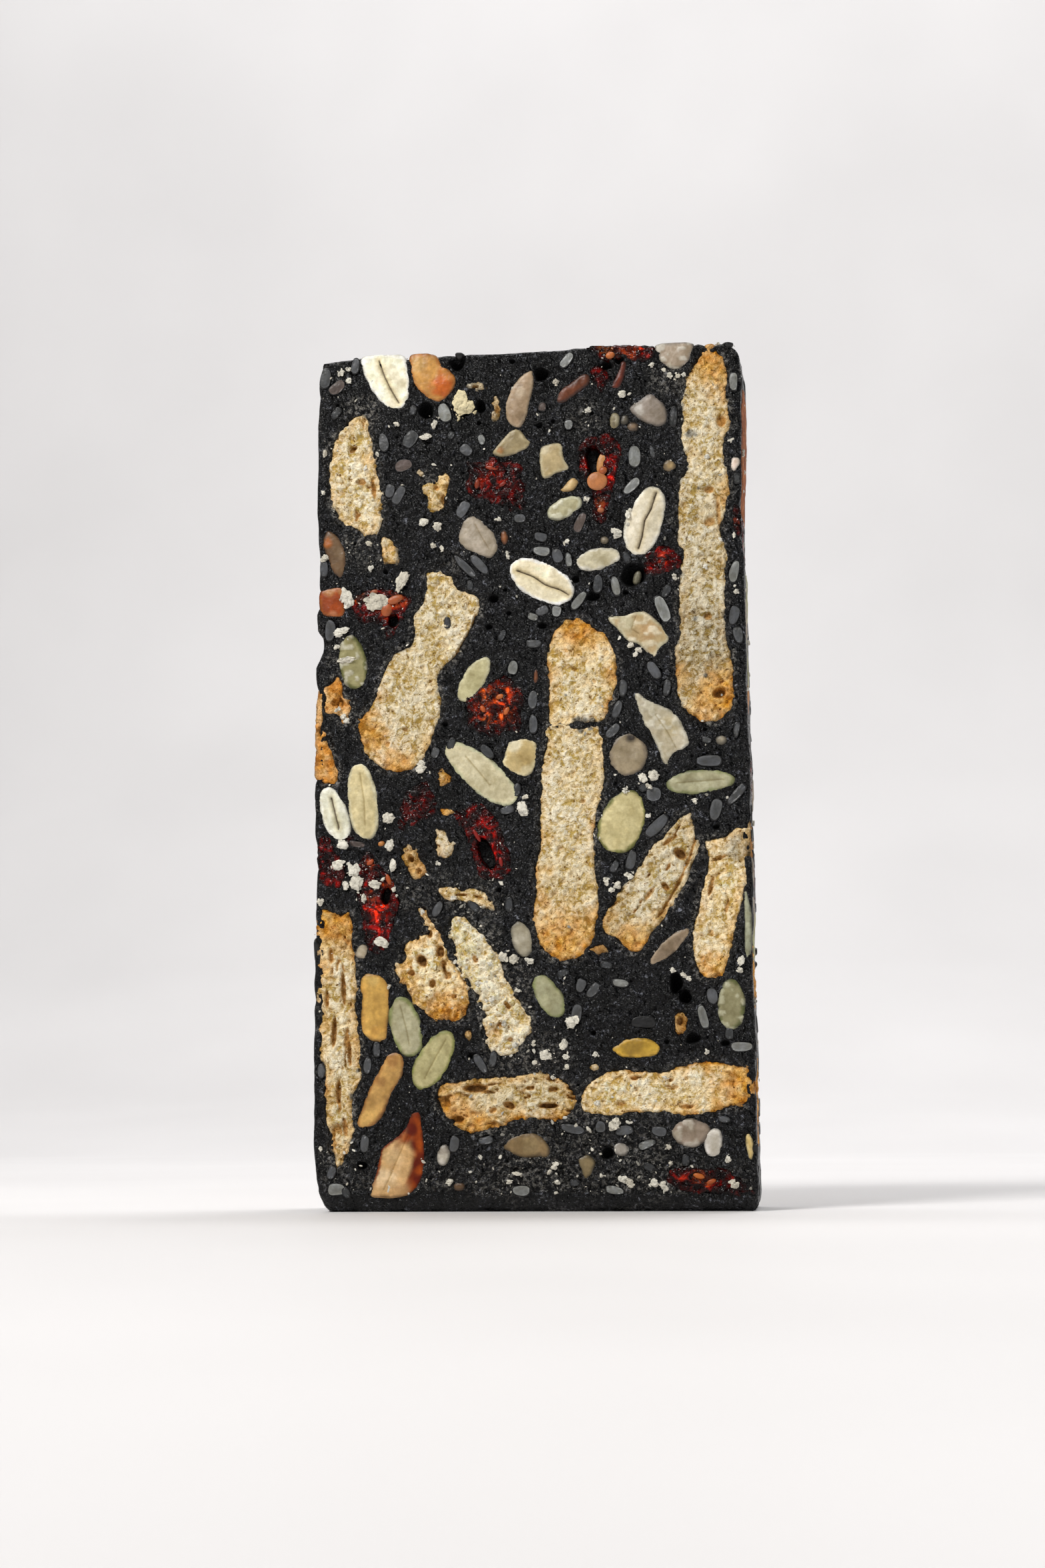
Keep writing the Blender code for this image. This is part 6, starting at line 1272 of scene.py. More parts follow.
# flour and fine crumbs smeared over the nougat: x, z, reach, strength
DUST_FRONT = [
    (-10.5, 45.0, 2.4, 0.8), (-9.0, 40.0, 3.6, 0.9), (-7.6, 34.6, 3.6, 0.9), (-5.6, 28.4, 3.4, 0.9), (-4.0, 23.6, 2.6, 0.7), (-13.0, 37.0, 1.8, 0.5),
    (-26.0, 121.6, 3.0, 0.7), (-31.6, 115.5, 2.2, 0.5), (-27.4, 100.6, 3.2, 0.6), (-25.0, 98.4, 2.2, 0.5), (-15.8, 111.4, 1.8, 0.5), (-3.0, 34.0, 4.0, 0.55),
    (-4.0, 24.0, 4.2, 0.5), (-1.0, 21.6, 3.0, 0.5), (0.0, 5.0, 9.0, 0.40), (-20.0, 3.5, 6.0, 0.25), (16.0, 5.0, 8.0, 0.40), (21.0, 125.0, 3.0, 0.5),
    (8.4, 119.4, 3.0, 0.35), (-8.0, 46.0, 4.0, 0.35), (-24.0, 49.0, 3.5, 0.30), (-29.8, 83.6, 2.6, 0.35), (-15.0, 48.6, 3.0, 0.3), (7.0, 11.4, 5.0, 0.3),
    (22.6, 92.0, 1.6, 0.3), (21.4, 103.0, 1.2, 0.3), (-30.6, 8.0, 2.4, 0.5), (-12.0, 97.6, 2.0, 0.3), (2.6, 22.8, 3.6, 0.35), (-18.0, 46.6, 2.6, 0.3),
]

bits = {"biscuit": Joined(), "nut": Joined(), "berry": Joined()}


def add_front_bit(kind, spec, seed):
    if kind == "biscuit":
        loop = outline_of(spec["line"], 0.22, spec.get("rough", 0.2), seed)
        look = lambda p, d: biscuit_look(p, d, spec, seed, "front")
    elif kind == "nut":
        loop = kernel_line(spec, 0.24, seed)
        look = lambda p, d: kernel_look(p, d, spec, seed)
    else:
        loop = outline_of(spec["line"], 0.22, spec.get("rough", 0.2), seed)
        look = lambda p, d: berry_look(p, d, spec, seed)
    loop[:, 0] = np.clip(loop[:, 0], -32.95, 32.95)
    size = min(np.ptp(loop[:, 0]), np.ptp(loop[:, 1]))
    points, faces, inside, _ = body(loop, 0.24, lambda p, d: look(p, d)[0], kernel_rows(False, max(size, 2.0)), seed, extra=crack_points(spec))
    colour = paint_rows(points, inside, look, face_points(points, inside)) * spec.get("dim", 1.0)
    w = points[:, 2] - spec.get("low", 0.0)
    bits[kind].add(to_world("front", points[:, 0], points[:, 1], w), faces, colour)
    if not spec.get("low"):
        INLAYS.append(loop)


for kind, table in (("biscuit", BISCUIT_BITS), ("nut", NUT_BITS), ("berry", BERRY_BITS)):
    for k, spec in enumerate(table):
        add_front_bit(kind, spec, 2000 + 23 * k + len(kind))


# ---------------------------------------------------------------- sesame

sesame = Joined()
SHADES = [srgb(80, 82, 86), srgb(132, 134, 133), srgb(92, 80, 76), srgb(58, 60, 63), srgb(18, 18, 20)]
COAT = srgb(14, 14, 15)
SESAME_LOOPS = {face: [] for face in ("front", "back", "left", "right", "top", "bottom")}


def add_sesame(face, u, v, width, height, turned, shade, seed, lift=0.0):
    r = np.random.RandomState(seed)
    n = 20
    t = np.linspace(0, 2 * np.pi, n, endpoint=False)
    long_first = height >= width
    a, b = max(width, height) / 2, min(width, height) / 2
    power = 2 / r.uniform(2.2, 3.0)
    c, s1 = np.cos(t), np.sin(t)
    pinch = 1 - r.uniform(0.02, 0.2) * c
    ring = np.stack([np.sign(c) * np.abs(c) ** power * a, np.sign(s1) * np.abs(s1) ** power * b * pinch], 1)
    ring[:, 1] += r.uniform(-0.10, 0.10) * b * np.cos(2 * t) * (a > 1.5 * b)
    ring = ring * (1 + r.uniform(-0.03, 0.03, (n, 1)))
    if r.rand() < 0.5:
        ring[:, 0] *= -1
        ring = ring[::-1]
    angle = math.radians((90 if long_first else 0) - turned)
    ca, sa = math.cos(angle), math.sin(angle)
    coat = min(0.13 / b, 0.24)
    levels = [(0.0, 0.0), (0.45, 0.0), (0.8, 0.0), (1 - coat, 0.0), (1 - coat * 0.7, 0.02), (1.0, -0.05), (1.02, -0.22), (0.8, -0.7), (0.3, -1.0)]
    points, faces = [], []
    tilt = r.uniform(-0.05, 0.05, 2)
    high = 0.03 + r.uniform(0, 0.10) + lift
    colour = []
    base = SHADES[shade] * (1 + r.uniform(-0.14, 0.14))
    for k, (s, w) in enumerate(levels):
        q = ring * s if s else np.zeros((1, 2))
        m = len(q)
        dome = 0.07 * (1 - s * s) if k < 5 else 0.0
        grain = r.uniform(-0.02, 0.02, m) if k < 4 else np.zeros(m)
        points.append(np.column_stack([u + q[:, 0] * ca - q[:, 1] * sa, v + q[:, 0] * sa + q[:, 1] * ca, high + w + dome + grain + q @ tilt]))
        if k <= 3:
            c = base * (1 + r.uniform(-0.16, 0.22, (m, 1))) * ((0.72, 0.80, 1.0, 1.5)[k] if seed % 3 else (1.1, 1.0, 0.9, 1.1)[k])
        else:
            c = np.tile(COAT, (m, 1))
        colour.append(c)
    index, count = [], 0
    for q in points:
        index.append(np.arange(count, count + len(q)))
        count += len(q)
    faces.append(np.stack([np.zeros(n, int), index[1], np.roll(index[1], -1)], 1))
    for k in range(1, len(levels) - 1):
        faces.append(bridge(index[k], index[k + 1]))
    last = index[-1]
    faces.append(np.stack([np.full(n - 2, last[0]), last[2:], last[1:-1]], 1))
    p = np.vstack(points)
    sesame.add(to_world(face, p[:, 0], p[:, 1], p[:, 2]), np.vstack(faces), np.vstack(colour))
    SESAME_LOOPS[face].append(np.stack([u + ring[:, 0] * ca - ring[:, 1] * sa, v + ring[:, 0] * sa + ring[:, 1] * ca], 1))


for k, (x, z, a, b, turned, shade) in enumerate(SESAME_FRONT):
    add_sesame("front", x + SHIFT, z, a, b, turned, shade, 3000 + k)


# ---------------------------------------------------------------- the faces that the front view doesn't show

FACES = {"back": (-32.0, 32.0, 1.5, 129.0), "left": (-8.2, 8.2, 3.0, 128.5), "right": (-8.2, 8.2, 3.0, 128.5), "top": (-31.5, 31.5, -8.2, 8.2), "bottom": (-31.0, 31.0, -7.0, 6.4)}
OTHER_LOOPS = {face: [] for face in FACES}
for loop in BACK_INLAYS:
    OTHER_LOOPS["back"].append(loop * [-1, 1])
PALETTES = {
    "pumpkin": [(srgb(228, 214, 174), srgb(242, 236, 212)), (srgb(190, 186, 148), srgb(176, 180, 132)), (srgb(206, 198, 158), srgb(150, 156, 88)), (srgb(178, 176, 138), srgb(200, 200, 172))],
    "nut": [(srgb(176, 160, 140), srgb(150, 138, 124)), (srgb(216, 170, 96), srgb(200, 148, 76)), (srgb(206, 178, 126), srgb(228, 210, 172)), (srgb(186, 120, 66), srgb(206, 150, 92)), (srgb(150, 134, 112), srgb(126, 112, 96))],
}


def clear_of(face, u, v, reach, loops):
    for loop in loops:
        middle = loop.mean(0)
        far = np.hypot(loop[:, 0] - middle[0], loop[:, 1] - middle[1]).max()
        if math.hypot(u - middle[0], v - middle[1]) > far + reach:
            continue
        if np.hypot(loop[:, 0] - u, loop[:, 1] - v).min() < reach:
            return False
        if inside_by(np.array([[u, v]]), loop)[0] > 0:
            return False
    return True


hidden = {"pumpkin": Joined(), "nut": Joined(), "berry": Joined(), "biscuit": Joined(), "almond": Joined()}


def add_hidden(face, kind, u, v, size, angle, seed):
    r = np.random.RandomState(seed)
    width = size * {"pumpkin": 0.44, "nut": 0.66, "berry": 0.72, "biscuit": 0.5, "almond": 0.56}[kind] * r.uniform(0.9, 1.12)
    step = 0.42
    if kind in ("pumpkin", "nut", "almond"):
        face_colour, rim = PALETTES.get(kind, [(srgb(222, 186, 134), srgb(128, 48, 16))])[r.randint(len(PALETTES.get(kind, [0])))]
        spec = dict(face=face_colour, rim=rim)
        if kind == "nut" and r.rand() < 0.5:
            spec["ridges"] = 0.5
        if kind != "nut":
            d = np.array([math.cos(math.radians(angle)), math.sin(math.radians(angle))]) * size * 0.3
            spec["cracks"] = [[(u - SHIFT - d[0], v - d[1]), (u - SHIFT + r.uniform(-0.3, 0.3), v), (u - SHIFT + d[0], v + d[1])]]
            spec["fine_crack"] = r.rand() < 0.6
        loop = oval(u, v, size, width, angle, step, 0.10 if kind != "nut" else 0.35, seed, 2.1 if kind != "nut" else 2.6, 0.08)
        look = lambda p, d: kernel_look(p, d, spec, seed)
    elif kind == "berry":
        spec = dict(lump=1.2, bright=[(u - SHIFT + r.uniform(-0.2, 0.2) * size, v, size * 0.24, BRIGHT if r.rand() < 0.5 else ORANGE, 0.7)])
        if r.rand() < 0.5:
            spec["holes"] = [(u - SHIFT, v + 0.1 * size, width * 0.3, size * 0.34, 1.4, r.uniform(-40, 40))]
        loop = oval(u, v, size, width, angle, step * 0.8, 0.6, seed, 2.4)
        look = lambda p, d: berry_look(p, d, spec, seed)
    else:
        spec = dict(gold=[(u - SHIFT, v, size, 0.9)], crusty=1.0) if face == "right" else dict(rim=0.5, gold=[(u - SHIFT, v - size * 0.3, size * 0.4, 0.6)])
        loop = oval(u, v, size, width, angle, step * 0.8, 0.4, seed, 3.2)
        look = lambda p, d: biscuit_look(p, d, spec, seed, "front")
    points, faces, inside, _ = body(loop, 0.45, lambda p, d: look(p, d)[0], kernel_rows(False, min(size, width, 4.0)), seed)
    colour = paint_rows(points, inside, look, face_points(points, inside))
    hidden[kind].add(to_world(face, points[:, 0], points[:, 1], points[:, 2]), faces, colour)
    OTHER_LOOPS[face].append(loop)


def scatter_hidden():
    r = np.random.RandomState(77)
    # one long piece of biscuit crust lies along the right side, as the front view shows at that edge
    lined = [("right", -0.6, 114.2, 20.8, 90.0, 15.2)]
    for face, u, v, size, angle, width in lined:
        spec = dict(gold=[(u - SHIFT, v, 40, 0.0)])
        loop = oval(u, v, size, width, angle, 0.36, 0.35, 4100, 3.4)

        def look(p, d):
            p3 = np.column_stack([p, np.full(len(p), 6.6)])
            h = 0.10 * fbm(p3, 3.0, 2, 4101) + 0.05 * noise(p3, 0.8, 4102) - 0.2 * (1 - smooth(0, 0.4, d)) + 0.10
            c = mix(srgb(176, 104, 56), srgb(140, 74, 36), np.clip(0.5 + 0.9 * fbm(p3, 2.6, 2, 4103), 0, 1))
            c = mix(c, srgb(206, 144, 86), smooth(0.25, 0.7, noise(p3, 1.1, 4104)) * 0.5)
            return h, mix(c, STAIN, (1 - smooth(0.05, 0.6, d)) * 0.7)

        points, faces, inside, _ = body(loop, 0.45, lambda p, d: look(p, d)[0], [(-0.4, 1.0), (-1.2, 0.97)], 4100)
        colour = paint_rows(points, inside, look, face_points(points, inside))
        hidden["biscuit"].add(to_world(face, points[:, 0], points[:, 1], points[:, 2]), faces, colour)
        OTHER_LOOPS[face].append(loop)
    wanted = {
        "back": [("pumpkin", 13, 8.0, 12.5), ("nut", 15, 4.5, 8.5), ("berry", 9, 6.0, 10.5), ("almond", 1, 13.0, 13.5)],
        "left": [("pumpkin", 3, 7.5, 11.0), ("nut", 5, 4.0, 7.0), ("berry", 3, 6.0, 9.0), ("biscuit", 3, 11.0, 17.0)],
        "right": [("pumpkin", 3, 7.5, 11.0), ("nut", 5, 4.0, 7.0), ("berry", 3, 6.0, 9.0), ("biscuit", 2, 11.0, 16.0)],
        "top": [("pumpkin", 2, 8.0, 11.0), ("nut", 3, 4.5, 7.0), ("berry", 2, 6.0, 9.0), ("biscuit", 2, 10.0, 13.0)],
        "bottom": [("pumpkin", 2, 8.0, 10.0), ("nut", 3, 4.5, 6.5), ("berry", 2, 6.0, 8.0), ("biscuit", 2, 9.0, 12.0)],
    }
    seed = 5000
    for face, kinds in wanted.items():
        u0, u1, v0, v1 = FACES[face]
        for kind, number, least, most in sorted(kinds, key=lambda k: -k[3]):
            for _ in range(number):
                for _ in range(60):
                    size = r.uniform(least, most)
                    angle = r.uniform(0, 180)
                    if face in ("left", "right"):
                        angle = 90 + r.uniform(-35, 35)
                    if face in ("top", "bottom"):
                        angle = r.uniform(-35, 35)
                    reach_u = abs(math.cos(math.radians(angle))) * size / 2 + abs(math.sin(math.radians(angle))) * size * 0.3
                    reach_v = abs(math.sin(math.radians(angle))) * size / 2 + abs(math.cos(math.radians(angle))) * size * 0.3
                    if u1 - u0 < 2 * reach_u + 0.4 or v1 - v0 < 2 * reach_v + 0.4:
                        continue
                    u, v = r.uniform(u0 + reach_u, u1 - reach_u), r.uniform(v0 + reach_v, v1 - reach_v)
                    if clear_of(face, u, v, size * 0.46, OTHER_LOOPS[face]):
                        seed += 7
                        add_hidden(face, kind, u, v, size, angle, seed)
                        break
        for _ in range({"back": 150, "left": 34, "right": 34, "top": 24, "bottom": 20}[face]):
            for _ in range(12):
                u, v = r.uniform(u0, u1), r.uniform(v0, v1)
                size = r.uniform(2.4, 3.8)
                if clear_of(face, u, v, size * 0.52, OTHER_LOOPS[face] + SESAME_LOOPS[face]):
                    seed += 7
                    shade = r.choice([0, 0, 0, 1, 3, 2], p=[0.25, 0.2, 0.15, 0.12, 0.2, 0.08])
                    add_sesame(face, u, v, size * r.uniform(0.42, 0.55), size, r.uniform(0, 180), int(shade), seed)
                    break


scatter_hidden()


# ---------------------------------------------------------------- crumbs and pips

crumbs = Joined()
pips = Joined()


def add_granule(face, u, v, w, size, tint, r, flat=0.8):
    ball, faces = BALLS[1 if size < 0.6 else 2]
    m = np.array(Matrix.Rotation(r.uniform(0, 6), 3, "Z") @ Matrix.Rotation(r.uniform(0, 6), 3, "X"))
    cut = r.normal(size=(5, 3))
    cut /= np.linalg.norm(cut, axis=1)[:, None]
    q = ball * (1 + r.uniform(-0.16, 0.16, (len(ball), 1)))
    for k in range(5):
        over = q @ cut[k] - r.uniform(0.35, 0.75)
        q = q - np.clip(over, 0, None)[:, None] * cut[k]
    q = (q * [r.uniform(0.9, 1.6), r.uniform(0.6, 1.1), r.uniform(0.6, 0.95)]) @ m.T
    q = q * [size / 2, size / 2, size / 2 * flat]
    # granules lighter on their outer side: painted light; the random factor is their own tone
    shade = np.clip(0.95 + 0.12 * q[:, 2:3] / size, 0.6, 1.1) * r.uniform(0.78, 1.05)
    crumbs.add(to_world(face, u + q[:, 0], v + q[:, 1], np.minimum(w + q[:, 2], 0.62)), faces, tint * shade)


def add_crumb(face, u, v, width, height, turned, seed, high=None, tint=None, base=0.0):
    r = np.random.RandomState(seed)
    big, small = max(width, height), min(width, height)
    tint = mix(srgb(205, 198, 180), srgb(234, 230, 216), np.array([r.rand() ** 0.7]))[0] if tint is None else tint
    if big < 0.7 and r.rand() < 0.35:
        tint = tint * r.uniform(0.3, 0.75)
    if big < 0.7:
        add_granule(face, u, v, base + 0.12 * small, big, tint, r, 0.7 if high is None else 0.9 * high / small)
        return
    t = math.radians(-turned)
    area = math.pi / 4 * width * height
    grain = 0.78 if big > 1.4 else 0.56
    number = int(np.clip(area / (grain * grain) * 2.2, 5, 90))
    phase = r.uniform(0, 6.28, 3)
    ball, faces = BALLS[3]
    blobs = 1 if big < 1.0 else 2 if big < 1.6 else 4
    for k in range(blobs):
        away = 0.0 if blobs == 1 else 0.24
        bu, bv = r.uniform(-away, away) * width, r.uniform(-away, away) * height
        share = 1.0 if blobs == 1 else r.uniform(0.55, 0.8)
        spin = np.array(Matrix.Rotation(r.uniform(0, 6), 3, "Z"))
        lump = 0.85 + 0.5 * noise(ball + seed * 1.37 + 3 * k, 0.85, 3) + 0.34 * noise(ball + seed * 0.7 + 5 * k, 0.42, 5) + 0.18 * noise(ball + seed + k, 0.22, 6)
        q = (ball * lump[:, None]) @ spin.T * [width * 0.48 * share, height * 0.48 * share, min(0.34, 0.36 * small)]
        q = q + [bu, bv, r.uniform(0, 0.08)]
        # bulging parts of a blob lighter than its hollows: painted light and shade; the random factor is its own tone
        shade = (0.92 + 0.2 * np.clip(lump - 0.6, 0, 0.8))[:, None] * r.uniform(0.88, 1.04)
        crumbs.add(
            to_world(face, u + q[:, 0] * math.cos(t) - q[:, 1] * math.sin(t), v + q[:, 0] * math.sin(t) + q[:, 1] * math.cos(t), np.minimum(q[:, 2] + base, 0.62)),
            faces, tint * shade,
        )
    for k in range(number // 4 + 1):
        a = r.uniform(0, 6.28)
        d = r.uniform(0.55, 1.1)
        reach = 1 + 0.22 * math.sin(2 * a + phase[0]) + 0.20 * math.sin(3 * a + phase[1])
        du, dv = math.cos(a) * d * reach * width / 2, math.sin(a) * d * reach * height / 2
        size = grain * (0.25 + 0.6 * r.rand() ** 2)
        add_granule(face, u + du * math.cos(t) - dv * math.sin(t), v + du * math.sin(t) + dv * math.cos(t), base * 0.5, size, tint, r, 0.7)


for k, (x, z, a, b, turned) in enumerate(CRUMBS_FRONT):
    tint = srgb(228, 214, 172) if (x, z) == (-10.6, 121.8) else None
    add_crumb("front", x + SHIFT, z, a * 0.98, b * 0.98, turned, 6000 + k, tint=tint, base=0.22 if max(a, b) > 1.5 else 0.08)


def scatter_crumbs():
    r = np.random.RandomState(91)
    count = 0
    for _ in range(5200):
        x, z = r.uniform(-32, 32), r.uniform(2.6, 130)
        weight = 0.05 + 0.30 * math.exp(-z / 7.0)
        for dx, dz, reach, strength in DUST_FRONT:
            weight += 0.8 * strength * math.exp(-((x - dx - SHIFT) ** 2 + (z - dz) ** 2) / reach**2)
        if r.rand() > weight:
            continue
        size = 0.15 + 0.46 * r.rand() ** 2.6
        if r.rand() < 0.05:
            size += 0.35
        add_crumb("front", x, z, size * r.uniform(0.8, 1.5), size, r.uniform(0, 180), 7000 + count, high=size * 0.45, base=0.02)
        count += 1
    for face, number in (("back", 260), ("left", 70), ("right", 70), ("top", 60), ("bottom", 30)):
        u0, u1, v0, v1 = FACES[face]
        for _ in range(number):
            size = 0.2 + 0.9 * r.rand() ** 3
            if r.rand() < 0.05:
                size += 0.8
            add_crumb(face, r.uniform(u0, u1), r.uniform(v0, v1), size * r.uniform(0.8, 1.4), size, r.uniform(0, 180), 9000 + count, high=min(size * 0.42, 0.4), base=0.02 if size < 1 else 0.12)
            count += 1


scatter_crumbs()

for k, (x, z, length, width, angle, tint) in enumerate(PIPS):
    ball, faces = BALLS[3 if length > 1.6 else 2]
    a = math.radians(angle)
    q = ball * [length / 2, width / 2, min(width, 1.2) * 0.30]
    u = x + SHIFT + q[:, 0] * math.cos(a) - q[:, 1] * math.sin(a)
    v = z + q[:, 0] * math.sin(a) + q[:, 1] * math.cos(a)
    base = 0.22 if k in (0, 2, 3, 7) else -0.25 if k == 1 else 0.12
    # the outer half of a pip lighter, most along its middle: painted light
    shade = 0.82 + 0.22 * (ball[:, 2:3] > 0) * (1 - 0.5 * np.abs(ball[:, 1:2]))
    pips.add(to_world("front", u, v, q[:, 2] + base), faces, tint * shade * [0.72, 0.60, 0.50])


# ---------------------------------------------------------------- the nougat

RADII = (1.8, 1.4, 3.0, 0.9)  # corners: lower left, lower right, upper right, upper left
SIDE_COUNT = (110, 214, 110, 214)
CORNER_COUNT = (5, 4, 8, 3)


def lower_at(x, y):
    p = np.column_stack([np.ravel(x), np.full(np.size(x), 3.1), np.full(np.size(x), 0.2)])
    front = 2.1 + 0.45 * fbm(p, 7.0, 2, 61)
    t = np.clip((y + FRONT) / 1.7, 0, 1)
    return front * (1 - t) ** 1.15 + 0.01


def nougat_ring(y, inset):
    """The nougat's outline as (x, z) at that depth, turning left, with which side each point is on."""
    r = RADII
    lower = float(lower_at(np.array([0.0]), y)[0])
    xl = float(left_at(np.array([lower + 4.0]), y)[0])
    xr = float(right_at(np.array([lower + 4.0]), y)[0])
    top_l = float(top_at(np.array([-31.0]), y)[0])
    top_r = float(top_at(np.array([30.0]), y)[0])
    parts, sides = [], []

    def add(x, z, side):
        parts.append(np.stack([np.broadcast_to(x, np.shape(z)) if np.shape(x) != np.shape(z) else x, z], 1))
        sides.append(np.full(len(parts[-1]), side))

    def corner(cx, cz, radius, start, count):
        t = np.radians(start + 90.0 * (np.arange(count) + 1) / (count + 1))
        add(cx + radius * np.cos(t), cz + radius * np.sin(t), -1)

    lo_r = float(lower_at(np.array([xr - r[1]]), y)[0])
    lo_l = float(lower_at(np.array([xl + r[0]]), y)[0])
    xr_low = float(right_at(np.array([lo_r + r[1]]), y)[0])
    xl_low = float(left_at(np.array([lo_l + r[0]]), y)[0])
    x = np.linspace(xl_low + r[0], xr_low - r[1], SIDE_COUNT[0])
    add(x, lower_at(x, y), 0)
    corner(xr_low - r[1], lo_r + r[1], r[1], -90, CORNER_COUNT[1])
    z = np.linspace(lo_r + r[1], top_r - r[2], SIDE_COUNT[1])
    add(right_at(z, y), z, 1)
    xr_high = float(right_at(np.array([top_r - r[2]]), y)[0])
    corner(xr_high - r[2], top_r - r[2], r[2], 0, CORNER_COUNT[2])
    x = np.linspace(xr_high - r[2], -31.6, SIDE_COUNT[2])
    z = top_at(x, y)
    z = z + (top_r - z[0]) * np.clip(1 - np.arange(len(z)) / 12.0, 0, 1)
    add(x, z, 2)
    xl_high = float(left_at(np.array([z[-1] - r[3]]), y)[0])
    t = np.radians(90 + 90.0 * (np.arange(CORNER_COUNT[3]) + 1) / (CORNER_COUNT[3] + 1))
    add(xl_high + (-31.6 - xl_high) * (1 + np.cos(t)), z[-1] - r[3] * (1 - np.sin(t)), -1)
    z = np.linspace(z[-1] - r[3], lo_l + r[0], SIDE_COUNT[3])
    add(left_at(z, y), z, 3)
    corner(xl_low + r[0], lo_l + r[0], r[0], 180, CORNER_COUNT[0])
    ring = np.vstack(parts)
    if inset:
        p = np.column_stack([ring, np.full(len(ring), 0.6)])
        ring = ring - outward(ring) * (inset * (1 + 0.5 * noise(p, 2.4, 63) + 0.3 * noise(p, 0.9, 64)))[:, None]
    return ring, np.concatenate(sides)


def dip_under(p, loops, depth, start, end):
    dip = np.zeros(len(p))
    inside = np.full(len(p), -9.0)
    for loop in loops:
        near = near_box(p, loop, 0.4)
        if len(near):
            d = inside_by(p[near], loop)
            inside[near] = np.maximum(inside[near], d)
            dip[near] = np.maximum(dip[near], depth * smooth(start, end, d))
    return dip, inside


def face_relief(p, seed):
    p3 = np.column_stack([p, np.full(len(p), 0.9)])
    return 0.08 * noise(p3, 2.4, seed) + 0.12 * noise(p3, 1.0, seed + 1) + 0.05 * noise(p3, 0.5, seed + 2)


